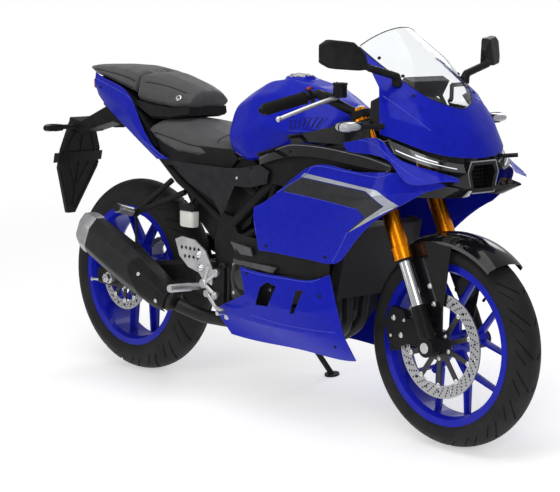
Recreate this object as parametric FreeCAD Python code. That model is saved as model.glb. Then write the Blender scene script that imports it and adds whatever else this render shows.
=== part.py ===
import FreeCAD, Part
import math
import os

# Sport bike, drawn upright with the rear axle's floor point as origin, X forward, Y to the
# rider's left, Z up, and leaned onto its side stand at the very end. Millimetres throughout.

# Driving dimensions of the whole machine
WHEELBASE = 1380.0
SADDLE_HEIGHT = 780.0
COWL_WIDTH = 470.0
LEAN = 9.0
RAKE = 25.0

# A station is a step along the bike, a breadth a step across it and a level a step up it.
# The outlines below are drawn in these three, so that they follow the driving dimensions.
STATION = WHEELBASE / 13.8
BREADTH = COWL_WIDTH / 4.7
LEVEL = SADDLE_HEIGHT / 7.8

# Clearances and walls
RUNNING_GAP = 0.05
WASHER_GAP = 0.6
TRIM_WALL = 3.0
COWL_WALL = 3.4
SCREEN_WALL = 3.0
OVERRUN = 400.0
WELD_DEPTH = 2.0

# Wheels and tyres
RIM_SEAT_RADIUS = 216.0
RIM_FLANGE_RADIUS = 231.0
RIM_FLANGE_WALL = 5.0
RIM_BARREL_WALL = 5.0
RIM_WELL_DEPTH = 13.0
RIM_WELL_SLOPE = 15.0
FRONT_TYRE_RADIUS = 293.0
FRONT_TYRE_WIDTH = 112.0
FRONT_RIM_WIDTH = 92.0
REAR_TYRE_RADIUS = 314.0
REAR_TYRE_WIDTH = 142.0
REAR_RIM_WIDTH = 118.0
TYRE_BULGE_RADIUS = 260.0
SPOKES = 5
SPOKE_FORK_RADIUS = 112.0
SPOKE_FORK_LAP = 16.0
SPOKE_FORK_ANGLE = 3.5
SPOKE_TIP_ANGLE = 20.5
SPOKE_ROOT_HALF = 15.0
SPOKE_FORK_HALF = 12.0
SPOKE_ARM_HALF = 7.5
SPOKE_TIP_HALF = 6.5
SPOKE_ROOT_DEPTH = 40.0
SPOKE_FORK_DEPTH = 36.0
SPOKE_ARM_DEPTH = 34.0
SPOKE_TIP_DEPTH = 24.0
HUB_RADIUS = 33.0
HUB_BOSS_RADIUS = 44.0
FRONT_HUB_WIDTH = 96.0
REAR_HUB_WIDTH = 128.0

# Brake discs, sprocket and chain
FRONT_DISC_RADIUS = 149.0
FRONT_DISC_BAND = 36.0
FRONT_DISC_PLACE = -62.0
REAR_DISC_RADIUS = 110.0
REAR_DISC_BAND = 28.0
REAR_DISC_PLACE = -82.0
DISC_THICKNESS = 4.5
DISC_HOLES = 18
DISC_HOLE_RADIUS = 4.5
CARRIER_ARMS = 10
CARRIER_ARM_WIDTH = 15.0
CHAIN_PITCH = 15.875
CHAIN_LINE = 89.0
CHAIN_PLATE_HEIGHT = 14.0
CHAIN_WAIST_HEIGHT = 10.0
CHAIN_PLATE_WALL = 3.2
CHAIN_INNER_GAP = 8.0
CHAIN_ROLLER_HEIGHT = 7.6
SPROCKET_TEETH = 43
DRIVE_TEETH = 14
SPROCKET_WALL = 5.0
SPROCKET_TOOTH_LENGTH = 6.0
SPROCKET_TIP_GAP = 1.3
SPROCKET_WINDOWS = 5
SPROCKET_WINDOW_RADIUS = 15.0
SPROCKET_WINDOW_PLACE = 74.0
DRIVE_SHAFT_RADIUS = 13.0

# Axles, fork and steering head
FRONT_AXLE_RADIUS = 8.0
REAR_AXLE_RADIUS = 9.0
AXLE_NUT_RADIUS = 15.0
AXLE_NUT_DEPTH = 10.0
COLLAR_RADIUS = 14.0
FORK_SPREAD = 100.0
FORK_OFFSET = 37.7
FORK_OUTER_RADIUS = 25.0
FORK_COLLAR_RADIUS = 28.5
FORK_COLLAR_LENGTH = 36.0
FORK_SLIDER_RADIUS = 18.5
FORK_FOOT_RADIUS = 23.0
FORK_FOOT_END = 34.0
FORK_SLIDER_START = 120.0
FORK_OUTER_START = 256.0
FORK_TOP = 698.0
FORK_CAP_RADIUS = 19.0
FORK_CAP_HEIGHT = 8.0
LOWER_CLAMP_PLACE = 478.0
UPPER_CLAMP_PLACE = 656.0
LOWER_CLAMP_HEIGHT = 32.0
UPPER_CLAMP_HEIGHT = 20.0
CLAMP_EAR_RADIUS = 33.0
STEM_RADIUS = 14.0
STEM_NUT_RADIUS = 17.0
STEM_NUT_HEIGHT = 12.0
STEM_BORE_RADIUS = 8.0
HEAD_RADIUS = 28.0

# Frame tubes and swingarm
RAIL_RADIUS = 17.0
BRACE_RADIUS = 11.0
SEAT_RAIL_RADIUS = 11.0
STAY_RADIUS = 6.0
PIVOT_PLATE_INNER = 112.0
PIVOT_PLATE_OUTER = 136.0
PIVOT_BOLT_RADIUS = 10.0
PIVOT_TUBE_RADIUS = 21.0
PIVOT_BOSS_RADIUS = 15.0
PIVOT_NUT_RADIUS = 15.0
SWINGARM_CHEEK = 28.0
PADDOCK_BOSS_RADIUS = 10.0
PADDOCK_BOSS_LENGTH = 14.0
PADDOCK_HOLE_RADIUS = 4.0
PADDOCK_HOLE_DEPTH = 22.0
SHOCK_BODY_RADIUS = 20.0
SHOCK_COIL_RADIUS = 30.0
SHOCK_COILS = 6

# Side stand
STAND_EYE_RADIUS = 15.0
STAND_EYE_WALL = 10.0
STAND_PIN_RADIUS = 6.0
STAND_PIN_HEAD = 10.0
STAND_PIN_HEAD_WALL = 4.0
STAND_LEG_RADIUS = 9.0
STAND_FOOT_RADIUS = 24.0
STAND_FOOT_WALL = 6.0
STAND_LUG_WALL = 12.0

# Controls
BAR_RADIUS = 11.0
GRIP_RADIUS = 16.5
BAR_BORE_RADIUS = 7.0
BAR_BORE_DEPTH = 24.0
SWITCH_RADIUS = 21.0
LEVER_RADIUS = 6.0
PEG_RADIUS = 11.0
HOSE_RADIUS = 3.5
HOSE_BEND = 40.0

# Filler cap
CAP_RING_RADIUS = 45.0
CAP_RING_RISE = 5.0
CAP_LID_RADIUS = 33.0
CAP_LID_WALL = 7.0
FILLER_RADIUS = 20.0
FILLER_DEPTH = 60.0
CAP_SEAT_GAP = 0.4
CAP_HINGE_RADIUS = 3.0
CAP_PIN_RADIUS = 1.5
CAP_KNUCKLE_HALF = 13.0
CAP_EAR_WALL = 4.0

V = FreeCAD.Vector
ORIGIN = V(0, 0, 0)
ACROSS = V(0, 1, 0)
UP = V(0, 0, 1)
ALONG = V(1, 0, 0)
TURN = 360.0
HALF = 0.5


def spot(shares):
    """A point given as station, breadth and level."""
    return V(shares[0] * STATION, shares[1] * BREADTH, shares[2] * LEVEL)


def spots(table):
    """The points of a table of shares."""
    return [spot(shares) for shares in table]


def flipped(point):
    """The same point on the other side of the bike."""
    return V(point.x, -point.y, point.z)


def mirrored(shape):
    """The same solid on the other side of the bike."""
    return shape.mirror(ORIGIN, ACROSS)


def both_sides(*shapes):
    """Solids of one side together with their mirror images."""
    return [copy for shape in shapes for copy in (shape, mirrored(shape))]


def full_row(table):
    """A row that runs from the left side to the middle, carried on to the right side."""
    left = spots(table)
    return left + [flipped(point) for point in reversed(left[:-1])]


def fused(*shapes):
    """One solid made of several that meet."""
    return shapes[0].multiFuse(list(shapes[1:])) if len(shapes) > 1 else shapes[0]


def solids_of(shape):
    """The separate solids in a shape."""
    return list(shape.Solids)


def less(shape, others):
    """A shape without the room that the others take."""
    near = [other for other in others if other.BoundBox.intersect(shape.BoundBox)]
    return shape.cut(Part.makeCompound(near)) if near else shape


def rod(start, end, radius):
    """A round bar between two points."""
    return Part.makeCylinder(radius, (end - start).Length, start, end - start)


def cone_rod(start, end, start_radius, end_radius):
    """A tapered round bar between two points."""
    return Part.makeCone(start_radius, end_radius, (end - start).Length, start, end - start)


def rounded_path(points, bend):
    """Straight runs joined by tangent arcs of one radius, less where the runs are short."""
    edges = []
    start = points[0]
    for before, corner, after in zip(points, points[1:], points[2:]):
        back = (before - corner).normalize()
        onward = (after - corner).normalize()
        half_angle = back.getAngle(onward) * HALF
        room = min((before - corner).Length, (after - corner).Length) * 0.45
        reach = min(bend / math.tan(half_angle), room)
        first = corner + back * reach
        last = corner + onward * reach
        inward = (back + onward).normalize()
        radius = reach * math.tan(half_angle)
        middle = corner + inward * (radius / math.sin(half_angle) - radius)
        edges.append(Part.makeLine(start, first))
        edges.append(Part.Arc(first, middle, last).toShape())
        start = last
    edges.append(Part.makeLine(start, points[-1]))
    return Part.Wire(edges)


def bent_rod(points, radius, bend):
    """A round bar or hose that follows a path of runs and arcs."""
    path = rounded_path(points, bend)
    heading = points[1] - points[0]
    ring = Part.Wire(Part.makeCircle(radius, points[0], heading))
    return path.makePipeShell([ring], True, False)


def side_prism(outline, near, far):
    """A plate whose outline is seen from the side, between two distances from the middle."""
    points = [V(station * STATION, near, level * LEVEL) for station, level in outline]
    face = Part.Face(Part.makePolygon(points + [points[0]]))
    return face.extrude(V(0, far - near, 0))


def ring_prism(points, depth):
    """A prism of any flat outline."""
    return Part.Face(Part.makePolygon(points + [points[0]])).extrude(depth)


def lofted(sections, ruled=False):
    """A body whose flat cross sections mirror left to right, smooth along and creased across."""
    wires = []
    for station, half in sections:
        left = [spot((station, breadth, level)) for breadth, level in half]
        right = [flipped(point) for point in reversed(left)]
        wires.append(Part.makePolygon(left + right + [left[0]]))
    return Part.makeLoft(wires, True, ruled)


def side_lofted(sections, ruled=False):
    """A body of one side whose cross sections stand at named stations."""
    wires = []
    for station, outline in sections:
        points = [spot((station, breadth, level)) for breadth, level in outline]
        wires.append(Part.makePolygon(points + [points[0]]))
    return Part.makeLoft(wires, True, ruled)


def point_lofted(rings, ruled=False):
    """A body through flat closed sections given as points."""
    return Part.makeLoft([Part.makePolygon(ring + [ring[0]]) for ring in rings], True, ruled)


def smooth_edge(points):
    """A curve through the points of a row, or a straight edge through two."""
    if len(points) == 2:
        return Part.makeLine(points[0], points[1])
    curve = Part.BSplineCurve()
    curve.interpolate(points)
    return curve.toShape()


def skin(rows, inward):
    """A thin panel: smooth along its rows, creased from row to row, as thick as inward says."""
    inner_rows = [[point + inward(point) for point in row] for row in rows]
    outer = [smooth_edge(row) for row in rows]
    inner = [smooth_edge(row) for row in inner_rows]
    faces = []
    for edges in (outer, inner):
        faces += [Part.makeRuledSurface(above, below) for above, below in zip(edges, edges[1:])]
    faces.append(Part.makeRuledSurface(outer[0], inner[0]))
    faces.append(Part.makeRuledSurface(outer[-1], inner[-1]))
    for end in (0, -1):
        for place in range(len(rows) - 1):
            outside = Part.makeLine(rows[place][end], rows[place + 1][end])
            inside = Part.makeLine(inner_rows[place][end], inner_rows[place + 1][end])
            faces.append(Part.makeRuledSurface(outside, inside))
    shell = Part.makeShell(faces)
    shell.sewShape()
    solid = Part.makeSolid(shell)
    if solid.Volume < 0:
        solid.reverse()
    return solid


def toward_middle(wall):
    """The inward step of a panel on the left side that faces outward."""
    return lambda point: V(0, -wall, 0)


def toward(core, wall):
    """The inward step of a panel that wraps round a point."""
    return lambda point: (core - point).normalize() * wall


def spun(profile, centre, angle=TURN):
    """A solid of revolution about a wheel's axis from points of place across and radius."""
    points = [V(0, across, radius) for across, radius in profile]
    face = Part.Face(Part.makePolygon(points + [points[0]]))
    solid = face.revolve(ORIGIN, ACROSS, angle)
    solid.translate(centre)
    return solid


def turned(shape, centre, degrees):
    """A copy turned about a wheel's axis."""
    copy = shape.copy()
    copy.rotate(centre, ACROSS, degrees)
    return copy


def ring_sector(centre, inner, outer, near, far, start, sweep):
    """A block bent round a wheel's axis; zero degrees points up and turns toward the front."""
    profile = [(near, inner), (near, outer), (far, outer), (far, inner)]
    return turned(spun(profile, centre, sweep), centre, start)


# Steering geometry
SLOPE = math.radians(RAKE)
UP_FORK = V(-math.sin(SLOPE), 0, math.cos(SLOPE))
OUT_FORK = V(math.cos(SLOPE), 0, math.sin(SLOPE))
REAR_AXLE = V(0, 0, REAR_TYRE_RADIUS)
FRONT_AXLE = V(WHEELBASE, 0, FRONT_TYRE_RADIUS)
STEERING_FOOT = FRONT_AXLE - OUT_FORK * FORK_OFFSET


def on_axis(climb):
    """A point of the steering axis, that far up the fork from the axle."""
    return STEERING_FOOT + UP_FORK * climb


def on_leg(climb, side=1):
    """A point of the left or right fork leg's centre line."""
    return FRONT_AXLE + UP_FORK * climb + ACROSS * (side * FORK_SPREAD)


# Wheels
def tyre(centre, radius, width, rim_width):
    """A road tyre: round crown and cheeks, seated between the rim's flanges."""
    half = width * HALF
    bead = rim_width * HALF - RIM_FLANGE_WALL
    lip = rim_width * HALF
    corners = [
        V(0, lip, RIM_FLANGE_RADIUS),
        V(0, bead, RIM_FLANGE_RADIUS),
        V(0, bead, RIM_SEAT_RADIUS),
    ]
    left = V(0, half, TYRE_BULGE_RADIUS)
    knee = V(0, (half * 3 + lip) / 4, (TYRE_BULGE_RADIUS + RIM_FLANGE_RADIUS) * HALF)
    crown = V(0, 0, radius)
    edges = [
        Part.Arc(flipped(left), crown, left).toShape(),
        Part.Arc(left, knee, corners[0]).toShape(),
        Part.makeLine(corners[0], corners[1]),
        Part.makeLine(corners[1], corners[2]),
        Part.makeLine(corners[2], flipped(corners[2])),
        Part.makeLine(flipped(corners[2]), flipped(corners[1])),
        Part.makeLine(flipped(corners[1]), flipped(corners[0])),
        Part.Arc(flipped(corners[0]), flipped(knee), flipped(left)).toShape(),
    ]
    ring = Part.Face(Part.Wire(edges)).revolve(ORIGIN, ACROSS, TURN)
    ring.translate(centre)
    return ring


def crown_radius(radius, width):
    """The radius of a tyre's crown, from its width and how far it drops to the cheeks."""
    drop = radius - TYRE_BULGE_RADIUS
    half = width * HALF
    return (half * half + drop * drop) / (2 * drop)


def spoke_length(centre, ends):
    """A tapered six-sided length of a spoke between two radii, each with its turn and size."""
    rings = []
    for radius, angle, half_width, depth in ends:
        turn = math.radians(angle)
        middle = V(math.sin(turn) * radius, 0, math.cos(turn) * radius)
        sideways = V(math.cos(turn), 0, -math.sin(turn)) * half_width
        shift = ACROSS * (depth * HALF)
        rings.append([
            centre + middle + sideways * HALF + shift,
            centre + middle + sideways,
            centre + middle + sideways * HALF - shift,
            centre + middle - sideways * HALF - shift,
            centre + middle - sideways,
            centre + middle - sideways * HALF + shift,
        ])
    return point_lofted(rings, True)


def forked_spoke(centre, depth_scale):
    """The trunk of a spoke from the hub and its two arms to the rim barrel."""
    root_radius = HUB_RADIUS - WELD_DEPTH
    arm_radius = SPOKE_FORK_RADIUS - SPOKE_FORK_LAP
    tip_radius = RIM_SEAT_RADIUS - RIM_WELL_DEPTH + WELD_DEPTH
    lengths = [spoke_length(centre, (
        (root_radius, 0, SPOKE_ROOT_HALF, SPOKE_ROOT_DEPTH * depth_scale),
        (SPOKE_FORK_RADIUS, 0, SPOKE_FORK_HALF, SPOKE_FORK_DEPTH * depth_scale),
    ))]
    for side in (-1, 1):
        lengths.append(spoke_length(centre, (
            (arm_radius, SPOKE_FORK_ANGLE * side, SPOKE_ARM_HALF, SPOKE_ARM_DEPTH * depth_scale),
            (tip_radius, SPOKE_TIP_ANGLE * side, SPOKE_TIP_HALF, SPOKE_TIP_DEPTH * depth_scale),
        )))
    return lengths


def rim(centre, rim_width, hub_width, axle_radius, right_boss, left_boss, left_boss_radius):
    """A cast wheel: barrel with flanges, forked spokes, hub and its end bosses."""
    lip = rim_width * HALF
    bead = lip - RIM_FLANGE_WALL
    inner = RIM_SEAT_RADIUS - RIM_BARREL_WALL
    well = RIM_SEAT_RADIUS - RIM_WELL_DEPTH
    half_profile = [
        (bead, RIM_SEAT_RADIUS), (bead, RIM_FLANGE_RADIUS), (lip, RIM_FLANGE_RADIUS),
        (lip, inner), (lip - RIM_WELL_SLOPE, well),
    ]
    profile = half_profile + [(-across, radius) for across, radius in reversed(half_profile)]
    barrel = spun(profile, centre)
    half_hub = hub_width * HALF
    hub = rod(centre - ACROSS * half_hub, centre + ACROSS * half_hub, HUB_RADIUS)
    pieces = [hub, rod(centre - ACROSS * half_hub, centre + ACROSS * right_boss, HUB_BOSS_RADIUS)]
    pieces.append(rod(centre, centre + ACROSS * left_boss, left_boss_radius))
    depth_scale = rim_width / FRONT_RIM_WIDTH
    lengths = forked_spoke(centre, depth_scale)
    for place in range(SPOKES):
        pieces += [turned(length, centre, place * TURN / SPOKES) for length in lengths]
    wheel = barrel.multiFuse(pieces)
    bore = rod(centre - ACROSS * OVERRUN, centre + ACROSS * OVERRUN, axle_radius + RUNNING_GAP)
    return wheel.cut(bore)


def disc(centre, radius, band, place):
    """A drilled brake disc on its carrier's arms and centre ring."""
    half = DISC_THICKNESS * HALF
    near = place - half
    far = place + half
    ring = spun([(near, radius - band), (near, radius), (far, radius), (far, radius - band)], centre)
    centre_outer = HUB_BOSS_RADIUS
    centre_inner = COLLAR_RADIUS + WASHER_GAP
    middle = spun([
        (near, centre_inner), (near, centre_outer), (far, centre_outer), (far, centre_inner),
    ], centre)
    arm = Part.makeBox(
        CARRIER_ARM_WIDTH, DISC_THICKNESS, radius - band - centre_outer + WELD_DEPTH * 2,
        centre + V(-CARRIER_ARM_WIDTH * HALF, near, centre_outer - WELD_DEPTH))
    arms = [turned(arm, centre, place_ * TURN / CARRIER_ARMS) for place_ in range(CARRIER_ARMS)]
    whole = ring.multiFuse([middle] + arms)
    start = centre + V(0, near - DISC_THICKNESS, radius - band * HALF)
    hole = Part.makeCylinder(DISC_HOLE_RADIUS, DISC_THICKNESS * 3, start, ACROSS)
    holes = [turned(hole, centre, step * TURN / DISC_HOLES) for step in range(DISC_HOLES)]
    return whole.cut(Part.makeCompound(holes))


def pitch_radius(teeth):
    """The radius on which a sprocket carries the chain's pins."""
    return CHAIN_PITCH * HALF / math.sin(math.pi / teeth)


def rear_sprocket():
    """The driven sprocket with short teeth that run inside the chain's rollers."""
    tip = pitch_radius(SPROCKET_TEETH) - CHAIN_ROLLER_HEIGHT * HALF - SPROCKET_TIP_GAP
    root = tip - SPROCKET_TOOTH_LENGTH
    points = []
    for tooth in range(SPROCKET_TEETH):
        for share, radius in ((0.0, root), (0.30, root), (0.55, tip), (0.75, tip)):
            angle = math.tau * (tooth + share) / SPROCKET_TEETH
            points.append(V(math.sin(angle) * radius, 0, math.cos(angle) * radius))
    near = CHAIN_LINE - SPROCKET_WALL * HALF
    plate = ring_prism([REAR_AXLE + ACROSS * near + point for point in points],
                       ACROSS * SPROCKET_WALL)
    window = Part.makeCylinder(SPROCKET_WINDOW_RADIUS, SPROCKET_WALL * 3,
                               REAR_AXLE + V(0, near - SPROCKET_WALL, SPROCKET_WINDOW_PLACE), ACROSS)
    windows = [turned(window, REAR_AXLE, step * TURN / SPROCKET_WINDOWS)
               for step in range(SPROCKET_WINDOWS)]
    bore = Part.makeCylinder(COLLAR_RADIUS + WASHER_GAP, SPROCKET_WALL * 3,
                             REAR_AXLE + ACROSS * (near - SPROCKET_WALL), ACROSS)
    return plate.cut(Part.makeCompound(windows + [bore]))


DRIVE_CENTRE_SHARES = (6.30, 0.0, 4.05)


def chain_loop(offset_at_pin, offset_at_waist):
    """Points round both sprockets, offset from the chain's pitch line."""
    back = REAR_AXLE
    front = spot(DRIVE_CENTRE_SHARES)
    big = pitch_radius(SPROCKET_TEETH)
    small = pitch_radius(DRIVE_TEETH)
    span = front - back
    distance = span.Length
    heading = math.atan2(span.z, span.x)
    wrap = math.asin((big - small) / distance)
    run = distance * math.cos(wrap)
    big_arc = big * (math.pi + 2 * wrap)
    small_arc = small * (math.pi - 2 * wrap)
    total = big_arc + small_arc + 2 * run
    links = 2 * round(total / (2 * CHAIN_PITCH))
    points = []
    for step in range(2 * links):
        offset = offset_at_waist if step % 2 else offset_at_pin
        if offset is None:
            continue
        travel = step * total / (2 * links)
        if travel < run:
            angle = heading + math.pi / 2 - wrap
            base = back + V(math.cos(angle), 0, math.sin(angle)) * big
            along = heading - wrap
            point = base + V(math.cos(along), 0, math.sin(along)) * travel
        elif travel < run + small_arc:
            angle = heading + math.pi / 2 - wrap - (travel - run) / small
            point = front + V(math.cos(angle), 0, math.sin(angle)) * small
        elif travel < 2 * run + small_arc:
            angle = heading - math.pi / 2 + wrap
            base = front + V(math.cos(angle), 0, math.sin(angle)) * small
            along = heading + math.pi + wrap
            point = base + V(math.cos(along), 0, math.sin(along)) * (travel - run - small_arc)
        else:
            angle = heading - math.pi / 2 + wrap - (travel - 2 * run - small_arc) / big
            point = back + V(math.cos(angle), 0, math.sin(angle)) * big
        points.append(point + V(math.cos(angle), 0, math.sin(angle)) * offset)
    return points


def chain_band(pin_height, waist_height, near, wall):
    """One row of chain plates, or the rollers between them, as a closed band."""
    half_waist = None if waist_height is None else waist_height * HALF
    outside = chain_loop(pin_height * HALF, half_waist)
    low_waist = None if waist_height is None else -half_waist
    inside = chain_loop(-pin_height * HALF, low_waist)
    shift = ACROSS * near
    outer = ring_prism([point + shift for point in outside], ACROSS * wall)
    hole = ring_prism([point + shift for point in inside], ACROSS * wall)
    return outer.cut(hole)


def drive_chain():
    """The roller chain: two rows of waisted plates with the rollers between them."""
    inner = CHAIN_LINE - CHAIN_INNER_GAP * HALF
    outer = CHAIN_LINE + CHAIN_INNER_GAP * HALF
    left = chain_band(CHAIN_PLATE_HEIGHT, CHAIN_WAIST_HEIGHT, outer, CHAIN_PLATE_WALL)
    right = chain_band(CHAIN_PLATE_HEIGHT, CHAIN_WAIST_HEIGHT, inner - CHAIN_PLATE_WALL,
                       CHAIN_PLATE_WALL)
    rollers = chain_band(CHAIN_ROLLER_HEIGHT, None, inner, CHAIN_INNER_GAP)
    return [fused(rollers, left, right)]


# Frame, subframe and swingarm
PIVOT_SHARES = (5.55, 0.0, 4.14)
UPPER_RAIL_SHARES = [(10.78, 0.22, 8.05), (9.6, 0.98, 8.08), (7.9, 1.26, 7.22), (5.72, 1.24, 5.45)]
LOWER_RAIL_SHARES = [(11.06, 0.22, 7.35), (9.7, 0.92, 6.95), (7.6, 1.22, 5.75), (5.95, 1.24, 4.95)]
BRACE_SHARES = [
    [(9.6, 0.98, 8.08), (8.6, 1.10, 6.35)],
    [(7.9, 1.26, 7.22), (8.6, 1.10, 6.35)],
    [(7.9, 1.26, 7.22), (6.9, 1.23, 5.42)],
]
PIVOT_PLATE_SHARES = [
    (5.35, 5.85), (5.85, 5.75), (6.15, 5.2), (6.02, 4.55), (5.95, 4.0), (6.1, 3.3), (5.7, 2.85),
    (4.98, 2.9), (4.92, 3.5), (5.15, 4.15), (5.05, 4.9),
]
CROSS_TUBE_SHARES = [(5.35, 1.16, 5.45), (5.3, 1.16, 3.05)]
ENGINE_HANGER_SHARES = [(8.35, 6.3), (8.8, 6.2), (8.75, 5.75), (8.45, 5.75)]
HANGER_INNER = 97.0
HANGER_OUTER = 112.0
TANK_STAY_SHARES = [(8.9, 0.6, 8.6), (8.9, 1.12, 7.7)]
UPPER_SEAT_RAIL_SHARES = [(6.85, 1.24, 6.5), (5.2, 1.14, 7.1), (2.6, 1.05, 7.22), (-1.35, 0.55, 8.7)]
LOWER_SEAT_RAIL_SHARES = [(5.5, 1.24, 5.45), (3.2, 1.24, 6.62), (1.5, 0.98, 7.62)]
SEAT_BRIDGE_SHARES = [(3.3, 0.0, 7.22), (-0.4, 0.0, 8.28)]
SWINGARM_SHARES = [
    (5.80, 0.80, 3.92, 4.20),
    (5.25, 0.80, 3.80, 4.22),
    (3.95, 1.00, 3.52, 4.20),
    (2.00, 1.02, 3.10, 3.92),
    (0.00, 1.02, 2.82, 3.46),
    (-0.85, 1.02, 2.86, 3.36),
]
BRIDGE_SHARES = [(4.35, 3.62), (4.35, 4.2), (3.65, 4.1), (3.6, 3.62)]
SHOCK_FOOT_SHARES = (4.3, 0.0, 4.1)
SHOCK_HEAD_SHARES = (5.28, 0.0, 5.62)
PADDOCK_PLACE_SHARES = (0.62, 1.28, 3.20)
SHOCK_SEAT_SHARES = (0.15, 0.20)
SHOCK_COIL_SHARE = 0.105


def steering_head():
    """The head tube with its bore, between the two fork clamps."""
    low = on_axis(LOWER_CLAMP_PLACE + LOWER_CLAMP_HEIGHT * HALF + WASHER_GAP)
    high = on_axis(UPPER_CLAMP_PLACE - UPPER_CLAMP_HEIGHT * HALF - WASHER_GAP)
    return rod(low, high, HEAD_RADIUS), low, high


def stand_axis():
    """The hinge line of the side stand: square to the leg both down and folded."""
    down = stand_foot_point() - spot(STAND_PIVOT_SHARES)
    folded = spot(STAND_FOLDED_SHARES) - spot(STAND_PIVOT_SHARES)
    return down.cross(folded).normalize()


def stand_sweep():
    """How far the stand turns from down to folded, in degrees."""
    down = stand_foot_point() - spot(STAND_PIVOT_SHARES)
    folded = spot(STAND_FOLDED_SHARES) - spot(STAND_PIVOT_SHARES)
    return math.degrees(down.getAngle(folded))


def floor_normal():
    """Up from the floor, in the upright bike's own frame, once it leans on its stand."""
    lean = math.radians(LEAN)
    return V(0, -math.sin(lean), math.cos(lean))


def floor_drop(station):
    """How far the leaned crown of the tyres sinks below the upright floor at a station."""
    sink = 1 - math.cos(math.radians(LEAN))
    rear = crown_radius(REAR_TYRE_RADIUS, REAR_TYRE_WIDTH) * sink
    front = crown_radius(FRONT_TYRE_RADIUS, FRONT_TYRE_WIDTH) * sink
    return rear + (front - rear) * station * STATION / WHEELBASE


STAND_PIVOT_SHARES = (5.25, 1.52, 2.62)
STAND_WEB_SHARES = (5.3, 1.25, 3.1)
STAND_FOOT_SHARES = (6.25, 2.62)
STAND_FOLDED_SHARES = (2.55, 1.78, 2.95)


def stand_foot_point():
    """Where the stand's foot meets the floor of the leaned bike."""
    lean = math.radians(LEAN)
    out = STAND_FOOT_SHARES[1] * BREADTH
    rise = out * math.tan(lean) - floor_drop(STAND_FOOT_SHARES[0]) / math.cos(lean)
    return V(STAND_FOOT_SHARES[0] * STATION, out, rise)


def main_frame():
    """Twin rail frame with its braces, pivot plates, head tube and side stand lug."""
    head, low, high = steering_head()
    side = []
    for table, radius in [(UPPER_RAIL_SHARES, RAIL_RADIUS), (LOWER_RAIL_SHARES, RAIL_RADIUS)]:
        points = spots(table)
        side += [rod(a, b, radius) for a, b in zip(points, points[1:])]
        side += [Part.makeSphere(radius, point) for point in points[1:-1]]
    side += [rod(*spots(pair), BRACE_RADIUS) for pair in BRACE_SHARES]
    side.append(side_prism(PIVOT_PLATE_SHARES, PIVOT_PLATE_INNER, PIVOT_PLATE_OUTER))
    side.append(side_prism(ENGINE_HANGER_SHARES, HANGER_INNER, HANGER_OUTER))
    side.append(rod(*spots(TANK_STAY_SHARES), STAY_RADIUS))
    pieces = both_sides(*side)
    for shares in CROSS_TUBE_SHARES:
        end = spot(shares)
        pieces.append(rod(flipped(end), end, BRACE_RADIUS))
    pivot = spot(STAND_PIVOT_SHARES)
    axis = stand_axis()
    lug_start = pivot - axis * (STAND_EYE_WALL * HALF + WASHER_GAP + STAND_LUG_WALL)
    lug = Part.makeCylinder(STAND_EYE_RADIUS, STAND_LUG_WALL, lug_start, axis)
    web = cone_rod(spot(STAND_WEB_SHARES), lug_start + axis * STAND_LUG_WALL * HALF,
                   STAND_EYE_RADIUS, STAND_EYE_RADIUS * 0.6)
    eye_room = Part.makeCylinder(STAND_EYE_RADIUS + EAR * HALF, OVERRUN,
                                 lug_start + axis * STAND_LUG_WALL, axis)
    web = web.cut(eye_room)
    pin_length = STAND_LUG_WALL + STAND_EYE_WALL + WASHER_GAP * 2 + STAND_PIN_HEAD_WALL
    pin = Part.makeCylinder(STAND_PIN_RADIUS, pin_length, lug_start, axis)
    pin_head = Part.makeCylinder(STAND_PIN_HEAD, STAND_PIN_HEAD_WALL,
                                 lug_start + axis * (pin_length - STAND_PIN_HEAD_WALL), axis)
    frame = head.multiFuse(pieces + [lug, web, pin, pin_head, pivot_bolt()])
    bore = rod(on_axis(LOWER_CLAMP_PLACE - OVERRUN), on_axis(UPPER_CLAMP_PLACE + OVERRUN),
               STEM_RADIUS + RUNNING_GAP)
    return [frame.cut(bore)]




def subframe(frame):
    """The seat rails, held to the frame's rails and pivot plates."""
    side = []
    for table in (UPPER_SEAT_RAIL_SHARES, LOWER_SEAT_RAIL_SHARES):
        points = spots(table)
        side += [rod(a, b, SEAT_RAIL_RADIUS) for a, b in zip(points, points[1:])]
        side += [Part.makeSphere(SEAT_RAIL_RADIUS, point) for point in points[1:]]
    pieces = both_sides(*side)
    rail = spots(UPPER_SEAT_RAIL_SHARES)
    for shares in SEAT_BRIDGE_SHARES:
        middle = spot(shares)
        after = [point for point in rail if point.x < middle.x][0]
        before = [point for point in rail if point.x > middle.x][-1]
        part_way = (middle.x - after.x) / (before.x - after.x)
        end = after + (before - after) * part_way
        pieces.append(rod(flipped(end), end, SEAT_RAIL_RADIUS * 0.8))
    return solids_of(pieces[0].multiFuse(pieces[1:]).cut(Part.makeCompound(frame)))


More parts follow.
